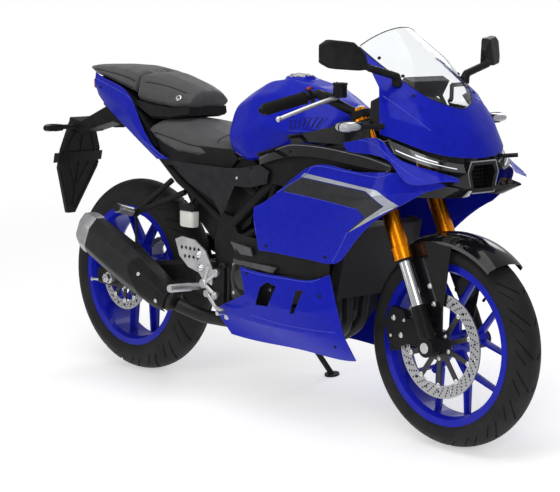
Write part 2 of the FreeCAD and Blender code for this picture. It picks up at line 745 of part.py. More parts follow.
def swingarm():
    """Two tapering box arms, the bridge before the tyre, the pivot tube and axle ends."""
    sections = []
    for station, inner, bottom, top in SWINGARM_SHARES:
        outer = inner + SWINGARM_CHEEK / BREADTH
        bevel = (top - bottom) * 0.18
        sections.append((station, [
            (inner, bottom), (outer - bevel * HALF, bottom), (outer, bottom + bevel),
            (outer, top - bevel), (outer - bevel * HALF, top), (inner, top),
        ]))
    arm = side_lofted(sections, True)
    bridge_out = (SWINGARM_SHARES[2][1] + SWINGARM_CHEEK / BREADTH * HALF) * BREADTH
    bridge = side_prism(BRIDGE_SHARES, -bridge_out, bridge_out)
    pivot = spot(PIVOT_SHARES)
    half_tube = SWINGARM_SHARES[0][1] * BREADTH
    half_boss = PIVOT_PLATE_INNER - WASHER_GAP
    tube = rod(pivot - ACROSS * half_tube, pivot + ACROSS * half_tube, PIVOT_TUBE_RADIUS)
    tube = tube.fuse(rod(pivot - ACROSS * half_boss, pivot + ACROSS * half_boss, PIVOT_BOSS_RADIUS))
    boss_start = spot(PADDOCK_PLACE_SHARES)
    boss = Part.makeCylinder(PADDOCK_BOSS_RADIUS, PADDOCK_BOSS_LENGTH, boss_start, ACROSS)
    hole_start = boss_start + ACROSS * (PADDOCK_BOSS_LENGTH - PADDOCK_HOLE_DEPTH)
    hole = Part.makeCylinder(PADDOCK_HOLE_RADIUS, PADDOCK_HOLE_DEPTH, hole_start, ACROSS)
    whole = arm.multiFuse([mirrored(arm), bridge, tube, boss, mirrored(boss)])
    axle_slot = rod(REAR_AXLE - ACROSS * OVERRUN, REAR_AXLE + ACROSS * OVERRUN, REAR_AXLE_RADIUS)
    pivot_bore = rod(pivot - ACROSS * OVERRUN, pivot + ACROSS * OVERRUN, PIVOT_BOLT_RADIUS)
    return [whole.cut(Part.makeCompound([hole, mirrored(hole), axle_slot, pivot_bore]))]


def pivot_bolt():
    """The long bolt that carries the swingarm between the pivot plates, with its nuts."""
    pivot = spot(PIVOT_SHARES)
    reach = PIVOT_PLATE_OUTER
    shaft = rod(pivot - ACROSS * reach, pivot + ACROSS * reach, PIVOT_BOLT_RADIUS)
    nut = rod(pivot + ACROSS * reach, pivot + ACROSS * (reach + AXLE_NUT_DEPTH), PIVOT_NUT_RADIUS)
    return fused(shaft, nut, mirrored(nut))


def axle(centre, radius, arm_inner, arm_outer, hub_right, hub_left, nut_depth):
    """A wheel axle with the collars that centre the hub and the nuts at its ends."""
    shaft = rod(centre - ACROSS * arm_outer, centre + ACROSS * arm_outer, radius)
    left = rod(centre + ACROSS * (hub_left + WASHER_GAP), centre + ACROSS * arm_inner, COLLAR_RADIUS)
    right = rod(centre - ACROSS * (hub_right + WASHER_GAP), centre - ACROSS * arm_inner,
                COLLAR_RADIUS)
    nut = rod(centre + ACROSS * arm_outer, centre + ACROSS * (arm_outer + nut_depth),
              AXLE_NUT_RADIUS)
    return fused(shaft, left, right, nut, mirrored(nut))


def rear_axle():
    """The rear axle between the swingarm's ends."""
    inner = SWINGARM_SHARES[-1][1] * BREADTH
    outer = inner + SWINGARM_CHEEK
    hub_left = CHAIN_LINE + SPROCKET_WALL * HALF
    hub_right = -REAR_DISC_PLACE + DISC_THICKNESS * HALF
    return [axle(REAR_AXLE, REAR_AXLE_RADIUS, inner, outer, hub_right, hub_left, AXLE_NUT_DEPTH)]


def front_axle():
    """The front axle between the fork feet."""
    inner = FORK_SPREAD - FORK_FOOT_RADIUS
    outer = FORK_SPREAD + FORK_FOOT_RADIUS
    hub_right = -FRONT_DISC_PLACE + DISC_THICKNESS * HALF
    return [axle(FRONT_AXLE, FRONT_AXLE_RADIUS, inner, outer, hub_right, FRONT_HUB_WIDTH * HALF,
                 WELD_DEPTH * 2)]


def rear_shock(neighbours):
    """A coil-over damper from the swingarm's bridge to the frame's cross tube."""
    foot = spot(SHOCK_FOOT_SHARES)
    head = spot(SHOCK_HEAD_SHARES)
    along = (head - foot).normalize()
    side = V(along.z, 0, -along.x)
    length = (head - foot).Length
    profile = [(0.0, 0.0), (0.0, SHOCK_BODY_RADIUS), (SHOCK_SEAT_SHARES[0], SHOCK_BODY_RADIUS)]
    profile.append((SHOCK_SEAT_SHARES[0], SHOCK_COIL_RADIUS))
    for step in range(SHOCK_COILS):
        start = SHOCK_SEAT_SHARES[1] + SHOCK_COIL_SHARE * step
        profile.append((start, SHOCK_COIL_RADIUS))
        profile.append((start + SHOCK_COIL_SHARE * 0.25, SHOCK_BODY_RADIUS))
        profile.append((start + SHOCK_COIL_SHARE * 0.5, SHOCK_BODY_RADIUS))
        profile.append((start + SHOCK_COIL_SHARE * 0.75, SHOCK_COIL_RADIUS))
    last = SHOCK_SEAT_SHARES[1] + SHOCK_COIL_SHARE * SHOCK_COILS
    profile += [(last, SHOCK_COIL_RADIUS), (last, SHOCK_BODY_RADIUS), (1.0, SHOCK_BODY_RADIUS)]
    profile.append((1.0, 0.0))
    points = [foot + along * (length * share) + side * radius for share, radius in profile]
    face = Part.Face(Part.makePolygon(points + [points[0]]))
    damper = face.revolve(foot, along, TURN)
    whole = damper.cut(Part.makeCompound(neighbours))
    return sorted(solids_of(whole), key=lambda solid: -solid.Volume)[:1]


# Engine, radiator and exhaust
CRANKCASE_SHARES = [
    (6.15, 2.95), (6.15, 4.75), (7.3, 5.1), (9.3, 4.9), (9.6, 4.2), (9.5, 3.2), (9.1, 2.78),
]
CYLINDER_SHARES = [(7.5, 4.9), (8.1, 6.2), (8.5, 6.55), (9.75, 6.0), (9.75, 5.2), (9.3, 4.7)]
CRANKCASE_HALF = 124.0
CYLINDER_HALF = 97.0
CHAIN_POCKET_SHARES = [(5.6, 3.4), (5.6, 4.7), (7.05, 4.7), (7.05, 3.4)]
CHAIN_POCKET_INNER = 74.0
SPROCKET_COVER_SHARES = [(6.3, 3.4), (6.2, 4.2), (6.5, 4.75), (7.2, 4.75), (7.4, 4.0), (7.1, 3.3)]
CLUTCH_COVER_SHARES = [
    (6.12, 3.4), (6.12, 4.4), (6.45, 4.78), (7.1, 4.85), (7.75, 4.45), (7.95, 3.75), (7.6, 3.1),
    (6.9, 2.85), (6.45, 2.95),
]
CLUTCH_COVER_OUTER = 158.0
CLUTCH_RING_RADIUS = 62.0
CLUTCH_RING_OUTER = 168.0
CLUTCH_CAP_RADIUS = 33.0
CLUTCH_CAP_OUTER = 176.0
CLUTCH_CENTRE_SHARES = (6.8, 0.0, 4.0)
ALTERNATOR_CENTRE_SHARES = (8.3, 0.0, 3.9)
ALTERNATOR_RADIUS = 66.0
ALTERNATOR_OUTER = 165.0
RADIATOR_SHARES = [(10.22, 3.95), (10.56, 3.88), (11.02, 5.95), (10.68, 6.05)]
RADIATOR_HALF = 150.0
RADIATOR_TANK = 22.0
RADIATOR_TANK_GROW = 5.0
RADIATOR_STAY_SHARES = [(10.75, 0.75, 5.98), (10.3, 0.75, 7.2)]
HEADER_RADIUS = 17.0
HEADER_BEND = 70.0
HEADER_SHARES = [
    (9.70, 0.48, 5.62), (9.99, 0.48, 5.40), (9.92, 0.42, 4.5), (9.84, 0.30, 2.9),
    (9.2, 0.12, 2.42), (8.5, 0.05, 2.42),
]
COLLECTOR_SHARES = [
    (8.9, 0.0, 2.42), (7.2, -0.42, 2.42), (5.5, -0.86, 2.42), (4.5, -1.3, 2.5), (3.76, -1.68, 2.78),
]
COLLECTOR_RADIUS = 21.0
COLLECTOR_BEND = 120.0
SILENCER_FRONT_SHARES = (3.7, -1.76, 2.86)
SILENCER_REAR_SHARES = (-0.30, -1.80, 4.52)
SILENCER_RINGS_SHARES = [
    (0.00, 0.30, 0.30), (0.10, 0.36, 0.42), (0.32, 0.39, 0.60), (0.70, 0.40, 0.66),
    (1.00, 0.38, 0.62),
]
SILENCER_CAP_SHARES = [(1.00, 0.385, 0.63), (1.10, 0.36, 0.60), (1.15, 0.28, 0.50)]
SILENCER_OUTLET_RADIUS = 19.0
SILENCER_OUTLET_DEPTH = 60.0


def engine():
    """The engine as one plain block of crankcase and cylinders, with its covers."""
    case = side_prism(CRANKCASE_SHARES, -CRANKCASE_HALF, CRANKCASE_HALF)
    barrels = side_prism(CYLINDER_SHARES, -CYLINDER_HALF, CYLINDER_HALF)
    case = case.cut(side_prism(CHAIN_POCKET_SHARES, CHAIN_POCKET_INNER, OVERRUN))
    drive = spot(DRIVE_CENTRE_SHARES)
    shaft = rod(drive + ACROSS * CHAIN_POCKET_INNER, drive + ACROSS * CRANKCASE_HALF,
                DRIVE_SHAFT_RADIUS)
    wheel = rod(drive + ACROSS * (CHAIN_LINE - SPROCKET_WALL * HALF),
                drive + ACROSS * (CHAIN_LINE + SPROCKET_WALL * HALF), pitch_radius(DRIVE_TEETH))
    cover = side_prism(SPROCKET_COVER_SHARES, CRANKCASE_HALF, CRANKCASE_HALF + CLUTCH_CAP_RADIUS)
    clutch = side_prism(CLUTCH_COVER_SHARES, -CRANKCASE_HALF, -CLUTCH_COVER_OUTER)
    centre = spot(CLUTCH_CENTRE_SHARES)
    ring = rod(centre - ACROSS * CRANKCASE_HALF, centre - ACROSS * CLUTCH_RING_OUTER,
               CLUTCH_RING_RADIUS)
    cap = rod(centre - ACROSS * CRANKCASE_HALF, centre - ACROSS * CLUTCH_CAP_OUTER,
              CLUTCH_CAP_RADIUS)
    left = spot(ALTERNATOR_CENTRE_SHARES)
    alternator = rod(left + ACROSS * CYLINDER_HALF, left + ACROSS * ALTERNATOR_OUTER,
                     ALTERNATOR_RADIUS)
    return [case.multiFuse([barrels, shaft, wheel, cover, clutch, ring, cap, alternator])]


def radiator():
    """The core with its side tanks, leaned before the cylinders, and its upper stays."""
    core = side_prism(RADIATOR_SHARES, -RADIATOR_HALF, RADIATOR_HALF)
    middle = sum((V(s * STATION, 0, l * LEVEL) for s, l in RADIATOR_SHARES), ORIGIN) * 0.25
    grown = []
    for station, level in RADIATOR_SHARES:
        point = V(station * STATION, RADIATOR_HALF - RADIATOR_TANK, level * LEVEL)
        outward = V(point.x - middle.x, 0, point.z - middle.z).normalize()
        grown.append(point + outward * RADIATOR_TANK_GROW)
    tank = ring_prism(grown, ACROSS * RADIATOR_TANK)
    stay = rod(*spots(RADIATOR_STAY_SHARES), STAY_RADIUS)
    return core.multiFuse([tank, mirrored(tank), stay, mirrored(stay)])


def exhaust_header():
    """Two pipes from the cylinders that join below the engine and run to the silencer."""
    left = bent_rod(spots(HEADER_SHARES), HEADER_RADIUS, HEADER_BEND)
    collector = bent_rod(spots(COLLECTOR_SHARES), COLLECTOR_RADIUS, COLLECTOR_BEND)
    return [collector.multiFuse([left, mirrored(left)])]


def silencer_ring(share, half_width, half_height, slant=0.0):
    """One six-sided section of the silencer, square to its axis but for a slant."""
    start = spot(SILENCER_FRONT_SHARES)
    end = spot(SILENCER_REAR_SHARES)
    along = (end - start).normalize()
    rise = V(-along.z, 0, along.x)
    if rise.z < 0:
        rise = rise * -1
    middle = start + (end - start) * share
    wide = half_width * BREADTH
    tall = half_height * LEVEL
    lean = along * (tall * slant)
    return [
        middle + ACROSS * wide + rise * (tall * 0.45) + lean * 0.45,
        middle + ACROSS * (wide * HALF) + rise * tall + lean,
        middle - ACROSS * (wide * HALF) + rise * tall + lean,
        middle - ACROSS * wide + rise * (tall * 0.45) + lean * 0.45,
        middle - ACROSS * wide - rise * (tall * 0.55) - lean * 0.55,
        middle - ACROSS * (wide * HALF) - rise * tall - lean,
        middle + ACROSS * (wide * HALF) - rise * tall - lean,
        middle + ACROSS * wide - rise * (tall * 0.55) - lean * 0.55,
    ]


def silencer():
    """The silencer's body, its end cap with the outlet and the guard on its outer side."""
    body = point_lofted([silencer_ring(*shares) for shares in SILENCER_RINGS_SHARES])
    cap = point_lofted([silencer_ring(*shares) for shares in SILENCER_CAP_SHARES])
    start = spot(SILENCER_FRONT_SHARES)
    end = spot(SILENCER_REAR_SHARES)
    along = (end - start).normalize()
    tail = start + (end - start) * SILENCER_CAP_SHARES[-1][0]
    outlet = Part.makeCylinder(SILENCER_OUTLET_RADIUS, SILENCER_OUTLET_DEPTH + OVERRUN,
                               tail - along * SILENCER_OUTLET_DEPTH, along)
    cap = cap.cut(outlet)
    return [body], [cap]


# Seats, tail and tank
TAIL_TOP_SHARES = [
    (-1.69, 0.75, 9.70), (-0.55, 0.99, 9.46), (0.55, 1.20, 9.16), (1.5, 1.40, 8.22), (2.93, 1.42, 7.26),
]
TAIL_CREASE_SHARES = [
    (-1.66, 0.82, 9.36), (-0.6, 1.08, 9.0), (0.5, 1.28, 8.62), (1.45, 1.43, 7.95), (2.65, 1.43, 7.24),
]
TAIL_BOTTOM_SHARES = [
    (-1.58, 0.72, 8.97), (-0.64, 0.95, 8.51), (0.37, 1.13, 8.07), (1.3, 1.28, 7.66), (2.25, 1.36, 7.20),
]
TAIL_CORE_SHARES = [
    (-1.62, [(0.50, 9.00), (0.66, 9.10), (0.68, 9.55), (0.30, 9.62)]),
    (-0.60, [(0.70, 8.62), (0.88, 8.75), (0.92, 9.38), (0.40, 9.48)]),
    (0.45, [(0.88, 8.18), (1.05, 8.30), (1.10, 9.08), (0.50, 9.22)]),
    (1.40, [(0.98, 7.82), (1.20, 7.95), (1.26, 8.36), (0.60, 8.44)]),
    (2.10, [(0.98, 7.50), (1.24, 7.55), (1.26, 7.62), (0.60, 7.66)]),
]
PILLION_PAD_SHARES = [
    (-2.70, [(0.16, 9.70), (0.24, 9.76), (0.16, 9.82), (0.05, 9.83)]),
    (-2.00, [(0.55, 9.66), (0.66, 9.75), (0.52, 9.88), (0.20, 9.91)]),
    (-1.00, [(0.80, 9.56), (0.92, 9.68), (0.76, 9.90), (0.30, 9.96)]),
    (0.00, [(0.98, 9.36), (1.10, 9.50), (0.92, 9.86), (0.40, 9.96)]),
    (0.84, [(1.02, 9.16), (1.16, 9.30), (0.98, 9.74), (0.45, 9.86)]),
]
TAIL_PEG_SHARES = [
    [(-1.20, 0.40, 9.20), (-1.20, 1.20, 9.20)],
    [(0.10, 0.60, 8.75), (0.10, 1.40, 8.75)],
    [(1.30, 0.80, 8.10), (1.30, 1.60, 8.10)],
]
TAIL_PEG_RADIUS = 7.0
HUMP_SHARES = [
    (0.88, [(1.00, 8.92), (1.15, 9.10), (0.98, 9.72), (0.40, 9.84)]),
    (1.60, [(0.98, 8.82), (1.12, 9.00), (0.90, 9.60), (0.36, 9.78)]),
    (2.50, [(0.90, 8.76), (1.04, 8.94), (0.78, 9.40), (0.32, 9.58)]),
    (3.22, [(0.70, 8.84), (0.86, 8.98), (0.60, 9.24), (0.28, 9.34)]),
]
SURROUND_SHARES = [
    (0.92, [(1.02, 8.76), (1.16, 8.84), (1.12, 8.96), (0.60, 8.98)]),
    (1.70, [(1.08, 8.42), (1.20, 8.52), (1.08, 8.86), (0.60, 8.88)]),
    (2.50, [(0.98, 8.46), (1.08, 8.54), (0.98, 8.80), (0.50, 8.82)]),
    (3.10, [(0.72, 8.58), (0.80, 8.64), (0.76, 8.86), (0.40, 8.88)]),
]
RIDER_SEAT_SHARES = [
    (1.62, [(1.10, 8.00), (1.34, 8.10), (1.10, 8.30), (0.40, 8.38)]),
    (2.35, [(1.20, 7.62), (1.46, 7.80), (1.18, 8.30), (0.40, 8.42)]),
    (3.20, [(1.22, 7.40), (1.52, 7.58), (1.22, 8.24), (0.40, 8.40)]),
    (4.20, [(1.20, 7.36), (1.50, 7.54), (1.16, 7.98), (0.40, 8.12)]),
    (5.00, [(1.00, 7.42), (1.28, 7.60), (0.92, 7.86), (0.36, 7.96)]),
    (5.55, [(0.72, 7.50), (0.94, 7.62), (0.66, 7.76), (0.30, 7.82)]),
]
TANK_SHARES = [
    (5.02, [(0.50, 7.95), (0.66, 8.20), (0.50, 8.70), (0.20, 8.86)]),
    (5.20, [(0.76, 7.92), (0.94, 8.22), (0.74, 8.86), (0.30, 9.10)]),
    (5.75, [(1.22, 7.66), (1.46, 8.16), (1.12, 9.10), (0.44, 9.50)]),
    (6.60, [(1.48, 7.50), (1.63, 8.28), (1.28, 9.42), (0.54, 9.88)]),
    (7.50, [(1.48, 7.66), (1.67, 8.64), (1.26, 9.58), (0.54, 9.98)]),
    (8.60, [(1.44, 7.98), (1.68, 8.56), (1.24, 9.40), (0.50, 9.82)]),
    (9.40, [(1.32, 8.34), (1.54, 8.60), (1.10, 9.05), (0.44, 9.36)]),
    (9.80, [(1.20, 8.44), (1.40, 8.60), (0.98, 8.86), (0.40, 9.02)]),
]
CAP_CENTRE_SHARES = (7.35, 0.0, 9.98)
SIDE_COVER_ROWS_SHARES = [
    [(2.9, 1.51, 7.22), (4.5, 1.57, 7.24), (6.0, 1.61, 7.26), (8.0, 1.66, 7.72)],
    [(2.9, 1.54, 6.95), (4.7, 1.61, 6.85), (6.1, 1.67, 6.95), (8.0, 1.71, 7.30)],
    [(2.9, 1.46, 6.30), (4.8, 1.50, 6.00), (6.2, 1.58, 6.20), (8.0, 1.66, 6.60)],
    [(2.9, 1.44, 5.60), (4.8, 1.48, 5.60), (6.2, 1.54, 5.60), (8.0, 1.60, 5.60)],
]
SIDE_COVER_OUTLINE_SHARES = [
    (3.11, 7.22), (4.5, 7.23), (5.9, 7.25), (7.27, 7.52), (7.84, 7.33), (7.73, 6.95), (6.89, 6.76),
    (6.25, 6.75), (5.56, 5.74), (5.20, 6.21), (4.0, 6.64),
]
KNEE_TOP_SHARES = [
    (7.34, 1.66, 7.70), (8.16, 1.84, 8.00), (9.25, 1.98, 8.28), (10.6, 2.10, 8.30),
    (12.0, 2.22, 8.24), (13.33, 2.26, 8.02),
]
KNEE_BOTTOM_SHARES = [
    (7.50, 1.76, 7.50), (8.30, 1.92, 7.72), (9.30, 2.04, 7.92), (10.4, 2.13, 7.97),
    (11.8, 2.22, 7.90), (13.27, 2.26, 7.84),
]
UPPER_TRIM_TOP_SHARES = [
    (8.75, 1.76, 8.44), (9.6, 1.78, 8.62), (10.8, 1.86, 8.90), (12.2, 1.98, 9.14),
]
UPPER_TRIM_BOTTOM_SHARES = [
    (8.95, 1.86, 8.22), (9.9, 1.96, 8.36), (11.0, 2.06, 8.40), (12.35, 2.10, 8.46),
]
STRAKE_TOP_SHARES = [
    (11.41, 2.20, 8.49), (12.0, 2.22, 8.60), (12.83, 2.18, 8.66), (13.35, 2.10, 8.24),
    (13.9, 1.93, 8.04), (14.4, 1.52, 7.87), (14.81, 1.22, 7.74),
]
STRAKE_BOTTOM_SHARES = [
    (11.6, 2.24, 8.27), (12.57, 2.27, 8.25), (13.36, 2.28, 8.06), (13.62, 2.31, 7.84),
    (14.15, 2.34, 7.58), (14.6, 1.90, 7.62), (15.05, 1.38, 7.64),
]
SIDE_FAIRING_ROWS_SHARES = [
    [(7.65, 2.10, 6.29), (8.83, 2.13, 6.93), (10.30, 2.16, 7.76), (11.9, 2.22, 7.72),
     (13.4, 2.23, 7.82), (14.55, 1.30, 7.50)],
    [(7.70, 2.17, 6.0), (9.2, 2.20, 6.55), (10.6, 2.27, 7.05), (12.0, 2.31, 7.0),
     (13.2, 2.26, 7.2), (14.15, 1.78, 7.32)],
    [(7.75, 2.14, 5.65), (8.9, 2.17, 5.82), (10.0, 2.19, 6.0), (11.2, 2.18, 6.2),
     (12.2, 2.17, 6.42), (13.18, 2.14, 6.73)],
    [(7.82, 2.05, 5.02), (8.6, 2.08, 5.04), (9.4, 2.08, 5.02), (10.1, 2.05, 5.0),
     (10.8, 2.0, 4.98), (11.55, 2.03, 5.93)],
]
COWL_ROWS_SHARES = [
    [(6.9, 1.95, 4.42), (7.7, 2.0, 4.36), (8.9, 2.08, 4.38), (10.03, 2.08, 4.42),
     (10.72, 1.97, 4.66)],
    [(7.1, 1.93, 3.6), (8.0, 2.02, 3.45), (9.4, 2.08, 3.45), (10.2, 2.03, 3.5), (10.95, 1.88, 3.70)],
    [(5.4, 1.62, 2.90), (6.9, 1.74, 2.80), (8.3, 1.84, 2.78), (9.8, 1.82, 2.8), (11.06, 1.67, 2.86)],
    [(5.9, 1.36, 2.15), (7.2, 1.24, 2.08), (8.8, 1.20, 2.1), (10.3, 1.20, 2.06), (11.36, 1.47, 2.20)],
]
COWL_WINDOW_SHARES = [(7.60, 3.36), (8.23, 3.40), (8.60, 4.05), (8.21, 4.13), (7.85, 3.93)]
COWL_SLOT_SHARES = [(9.19, 3.30), (9.40, 3.38), (9.78, 4.08), (9.45, 4.06)]
LOUVRE_ROWS_SHARES = [
    [(6.45, 1.72, 5.36), (7.5, 1.90, 5.32), (8.9, 1.98, 5.28), (10.7, 1.94, 5.24)],
    [(6.55, 1.84, 4.62), (7.6, 1.90, 4.46), (8.9, 1.94, 4.44), (10.6, 1.86, 4.50)],
]
EAR = 8.0


def tail_panels():
    """The two painted tail blades."""
    rows = [spots(table) for table in (TAIL_TOP_SHARES, TAIL_CREASE_SHARES, TAIL_BOTTOM_SHARES)]
    return both_sides(skin(rows, toward_middle(TRIM_WALL)))


def tail_core(neighbours):
    """The dark undertray and inner tail between the blades, with the pegs that hold them."""
    core = lofted(TAIL_CORE_SHARES, True).fuse(lofted(SURROUND_SHARES, True))
    pegs = [rod(*spots(pair), TAIL_PEG_RADIUS) for pair in TAIL_PEG_SHARES]
    return largest(less(core.multiFuse(both_sides(*pegs)), neighbours))


def largest(shape):
    """Only the largest solid of a cut shape."""
    return sorted(solids_of(shape), key=lambda solid: -solid.Volume)[:1]


def rider_seat(neighbours):
    """The rider's seat, a closed pad."""
    return largest(less(lofted(RIDER_SEAT_SHARES, True), neighbours))


def fuel_tank():
    """The tank, a closed shell with a raised filler ring and its neck."""
    body = lofted(TANK_SHARES, True)
    centre = spot(CAP_CENTRE_SHARES)
    ring = rod(centre - UP * FILLER_DEPTH, centre + UP * CAP_RING_RISE, CAP_RING_RADIUS)
    neck = rod(centre - UP * FILLER_DEPTH, centre + UP * OVERRUN, FILLER_RADIUS)
    hinge = cap_hinge_point()
    half = CAP_KNUCKLE_HALF + CAP_SEAT_GAP
    root = V(hinge.x, 0, centre.z)
    pieces = [ring, rod(hinge - ACROSS * (half + CAP_EAR_WALL), hinge + ACROSS * (half + CAP_EAR_WALL),
                        CAP_PIN_RADIUS)]
    for side in (-1, 1):
        near = ACROSS * (side * half)
        far = ACROSS * (side * (half + CAP_EAR_WALL))
        pieces.append(rod(hinge + near, hinge + far, CAP_HINGE_RADIUS))
        pieces.append(ring_prism([root + near + ALONG * CAP_HINGE_RADIUS, hinge + near + ALONG * CAP_HINGE_RADIUS,
                                  hinge + near - ALONG * CAP_HINGE_RADIUS,
                                  root + near - ALONG * CAP_HINGE_RADIUS], far - near))
    return [body.multiFuse(pieces).cut(neck)]


def fuel_cap():
    """The locking lid over the filler neck, with its hinge knuckle in front."""
    base = spot(CAP_CENTRE_SHARES) + UP * (CAP_RING_RISE + CAP_SEAT_GAP)
    lid = Part.makeCylinder(CAP_LID_RADIUS, CAP_LID_WALL, base, UP)
    lid = lid.makeChamfer(CAP_LID_WALL * 0.3, [edge for edge in lid.Edges
                                               if edge.CenterOfMass.z > base.z + CAP_LID_WALL * 0.9])
    hinge = cap_hinge_point()
    half = CAP_KNUCKLE_HALF
    knuckle = rod(hinge - ACROSS * half, hinge + ACROSS * half, CAP_HINGE_RADIUS)
    arm = Part.makeBox(hinge.x - base.x - CAP_LID_RADIUS * HALF, half, CAP_HINGE_RADIUS * HALF,
                       V(base.x + CAP_LID_RADIUS * HALF, -half * HALF, hinge.z - CAP_HINGE_RADIUS * 0.2))
    bore = rod(hinge - ACROSS * OVERRUN, hinge + ACROSS * OVERRUN, CAP_PIN_RADIUS + RUNNING_GAP)
    return [lid.multiFuse([knuckle, arm]).cut(bore)]


def cap_hinge_point():
    """The middle of the filler lid's hinge line, in front of the lid."""
    base = spot(CAP_CENTRE_SHARES) + UP * (CAP_RING_RISE + CAP_SEAT_GAP)
    return base + V(CAP_LID_RADIUS + CAP_HINGE_RADIUS * 2, 0, CAP_HINGE_RADIUS + CAP_SEAT_GAP)


def side_covers():
    """The dark covers below the tank and seat, each trimmed to its outline."""
    panel = skin([spots(table) for table in SIDE_COVER_ROWS_SHARES], toward_middle(TRIM_WALL))
    return both_sides(*largest(panel.common(side_prism(SIDE_COVER_OUTLINE_SHARES, 0, OVERRUN))))


def knee_panels():
    """The long dark trims beside the tank."""
    pieces = []
    for top, bottom in ((KNEE_TOP_SHARES, KNEE_BOTTOM_SHARES),
                        (UPPER_TRIM_TOP_SHARES, UPPER_TRIM_BOTTOM_SHARES)):
        pieces.append(skin([spots(top), spots(bottom)], toward_middle(TRIM_WALL)))
    return both_sides(*pieces)


def nose_strakes():
    """The painted blades between the nose and the side panels, below the lamps."""
    rows = [spots(STRAKE_TOP_SHARES), spots(STRAKE_BOTTOM_SHARES)]
    return both_sides(skin(rows, toward_middle(TRIM_WALL)))


def side_fairings():
    """The large painted panels beside the engine."""
    rows = [spots(table) for table in SIDE_FAIRING_ROWS_SHARES]
    return both_sides(skin(rows, toward_middle(COWL_WALL)))


def lower_cowls():
    """The painted lower cowls with their vents, joined below by the black belly."""
    rows = [spots(table) for table in COWL_ROWS_SHARES]
    panel = skin(rows, toward_middle(COWL_WALL))
    panel = panel.cut(side_prism(COWL_WINDOW_SHARES, 0, OVERRUN))
    panel = panel.cut(side_prism(COWL_SLOT_SHARES, 0, OVERRUN))
    return both_sides(panel)


def louvres():
    """The black vented panels between the fairing and the lower cowl."""
    rows = [spots(table) for table in LOUVRE_ROWS_SHARES]
    return both_sides(skin(rows, toward_middle(TRIM_WALL)))


# Nose, screen, lamps, mirrors
NOSE_ROWS_SHARES = [
    [(11.11, 1.34, 11.10), (12.0, 1.30, 10.60), (12.92, 1.14, 10.10), (13.5, 0.74, 9.72),
     (13.84, 0.0, 9.50)],
    [(12.30, 1.74, 10.05), (12.85, 1.62, 9.86), (13.45, 1.22, 9.58), (13.85, 0.66, 9.34),
     (14.08, 0.0, 9.20)],
    [(12.55, 1.96, 9.34), (13.20, 1.82, 9.20), (13.85, 1.34, 9.00), (14.22, 0.70, 8.84),
     (14.40, 0.0, 8.76)],
    [(12.68, 2.06, 8.80), (13.35, 1.96, 8.66), (14.02, 1.54, 8.40), (14.45, 0.80, 8.24),
     (14.60, 0.0, 8.20)],
]
NOSE_CORE_SHARES = (11.6, 0.0, 9.2)
SCREEN_ROWS_SHARES = [
    [(11.06, 1.25, 11.13), (11.16, 1.00, 11.30), (11.32, 0.68, 11.48), (11.46, 0.34, 11.60),
     (11.51, 0.0, 11.64)],
    [(11.085, 1.30, 11.115), (11.65, 1.24, 10.92), (12.25, 0.98, 10.80), (12.62, 0.55, 10.75),
     (12.78, 0.0, 10.74)],
]
LAMP_TOP_SHARES = [(12.95, 2.04, 8.68), (13.55, 1.86, 8.48), (14.15, 1.40, 8.22), (14.58, 0.72, 8.06)]
LAMP_BOTTOM_SHARES = [(13.25, 2.06, 8.32), (13.8, 1.90, 8.14), (14.35, 1.46, 7.96), (14.72, 0.78, 7.84)]
LAMP_DEPTH = 24.0
LAMP_CORE_SHARES = (12.2, 0.0, 8.4)
DUCT_OUTER_SHARES = [(0.50, 8.12), (0.62, 7.82), (0.46, 7.26)]
DUCT_INNER_SHARES = [(0.38, 8.02), (0.50, 7.80), (0.36, 7.38)]
DUCT_FRONT_SHARE = 14.66
DUCT_BACK_SHARE = 13.55
DUCT_FLOOR_SHARE = 13.9
CHIN_TOP_SHARES = [(13.95, 1.92, 7.32), (14.45, 1.40, 7.50), (14.95, 1.24, 7.46), (14.66, 0.42, 7.40)]
CHIN_BOTTOM_SHARES = [(13.75, 1.80, 7.14), (14.3, 1.20, 7.14), (14.62, 0.90, 7.16), (14.52, 0.36, 7.20)]
CHIN_DEPTH = 14.0
COWL_STAY_SHARES = [(11.0, 0.20, 7.9), (12.3, 0.32, 8.62), (12.9, 0.55, 9.2), (12.6, 0.9, 10.05)]
LOWER_STAY_SHARES = [(12.3, 0.32, 8.62), (13.8, 0.5, 7.76)]
NOSE_BRACKET_SHARES = [
    [(12.6, 0.9, 10.05), (13.0, 1.9, 10.1)],
    [(12.9, 0.55, 9.2), (12.4, 0.5, 9.95)],
    [(13.3, 0.5, 8.05), (14.6, 1.5, 8.2)],
    [(12.3, 0.32, 8.62), (12.5, 2.6, 8.42)],
]
FAIRING_BRACKET_SHARES = [
    [(9.7, 0.92, 6.95), (9.9, 2.6, 6.9)],
    [(8.6, 1.05, 6.0), (8.75, 2.6, 5.9)],
    [(9.6, 0.98, 8.08), (9.75, 2.6, 8.12)],
    [(8.2, 1.30, 8.1), (8.25, 2.5, 7.9)],
    [(9.15, 1.30, 8.5), (9.4, 2.4, 8.5)],
    [(9.0, 1.20, 4.75), (9.05, 2.4, 4.8)],
    [(8.9, 1.20, 3.45), (8.95, 2.5, 3.5)],
    [(10.38, 1.45, 4.2), (10.4, 2.5, 4.25)],
    [(4.6, 1.14, 7.12), (4.6, 2.0, 7.05)],
    [(7.4, 1.26, 6.83), (7.3, 2.0, 7.12)],
]
CLOCK_SHARES = [(11.95, 9.95), (12.35, 10.30), (12.62, 10.18), (12.35, 9.72)]
CLOCK_HALF = 78.0
COCKPIT_ROWS_SHARES = [
    [(12.10, 1.84, 9.66), (12.50, 1.78, 9.86)],
    [(12.12, 1.92, 8.96), (12.58, 1.92, 8.84)],
]
MIRROR_BASE_SHARES = [(12.62, 1.36, 10.10), (12.66, 1.42, 10.36), (12.58, 2.44, 10.62)]
MIRROR_FOOT_RADIUS = 17.0
MIRROR_STEM_RADIUS = 11.0
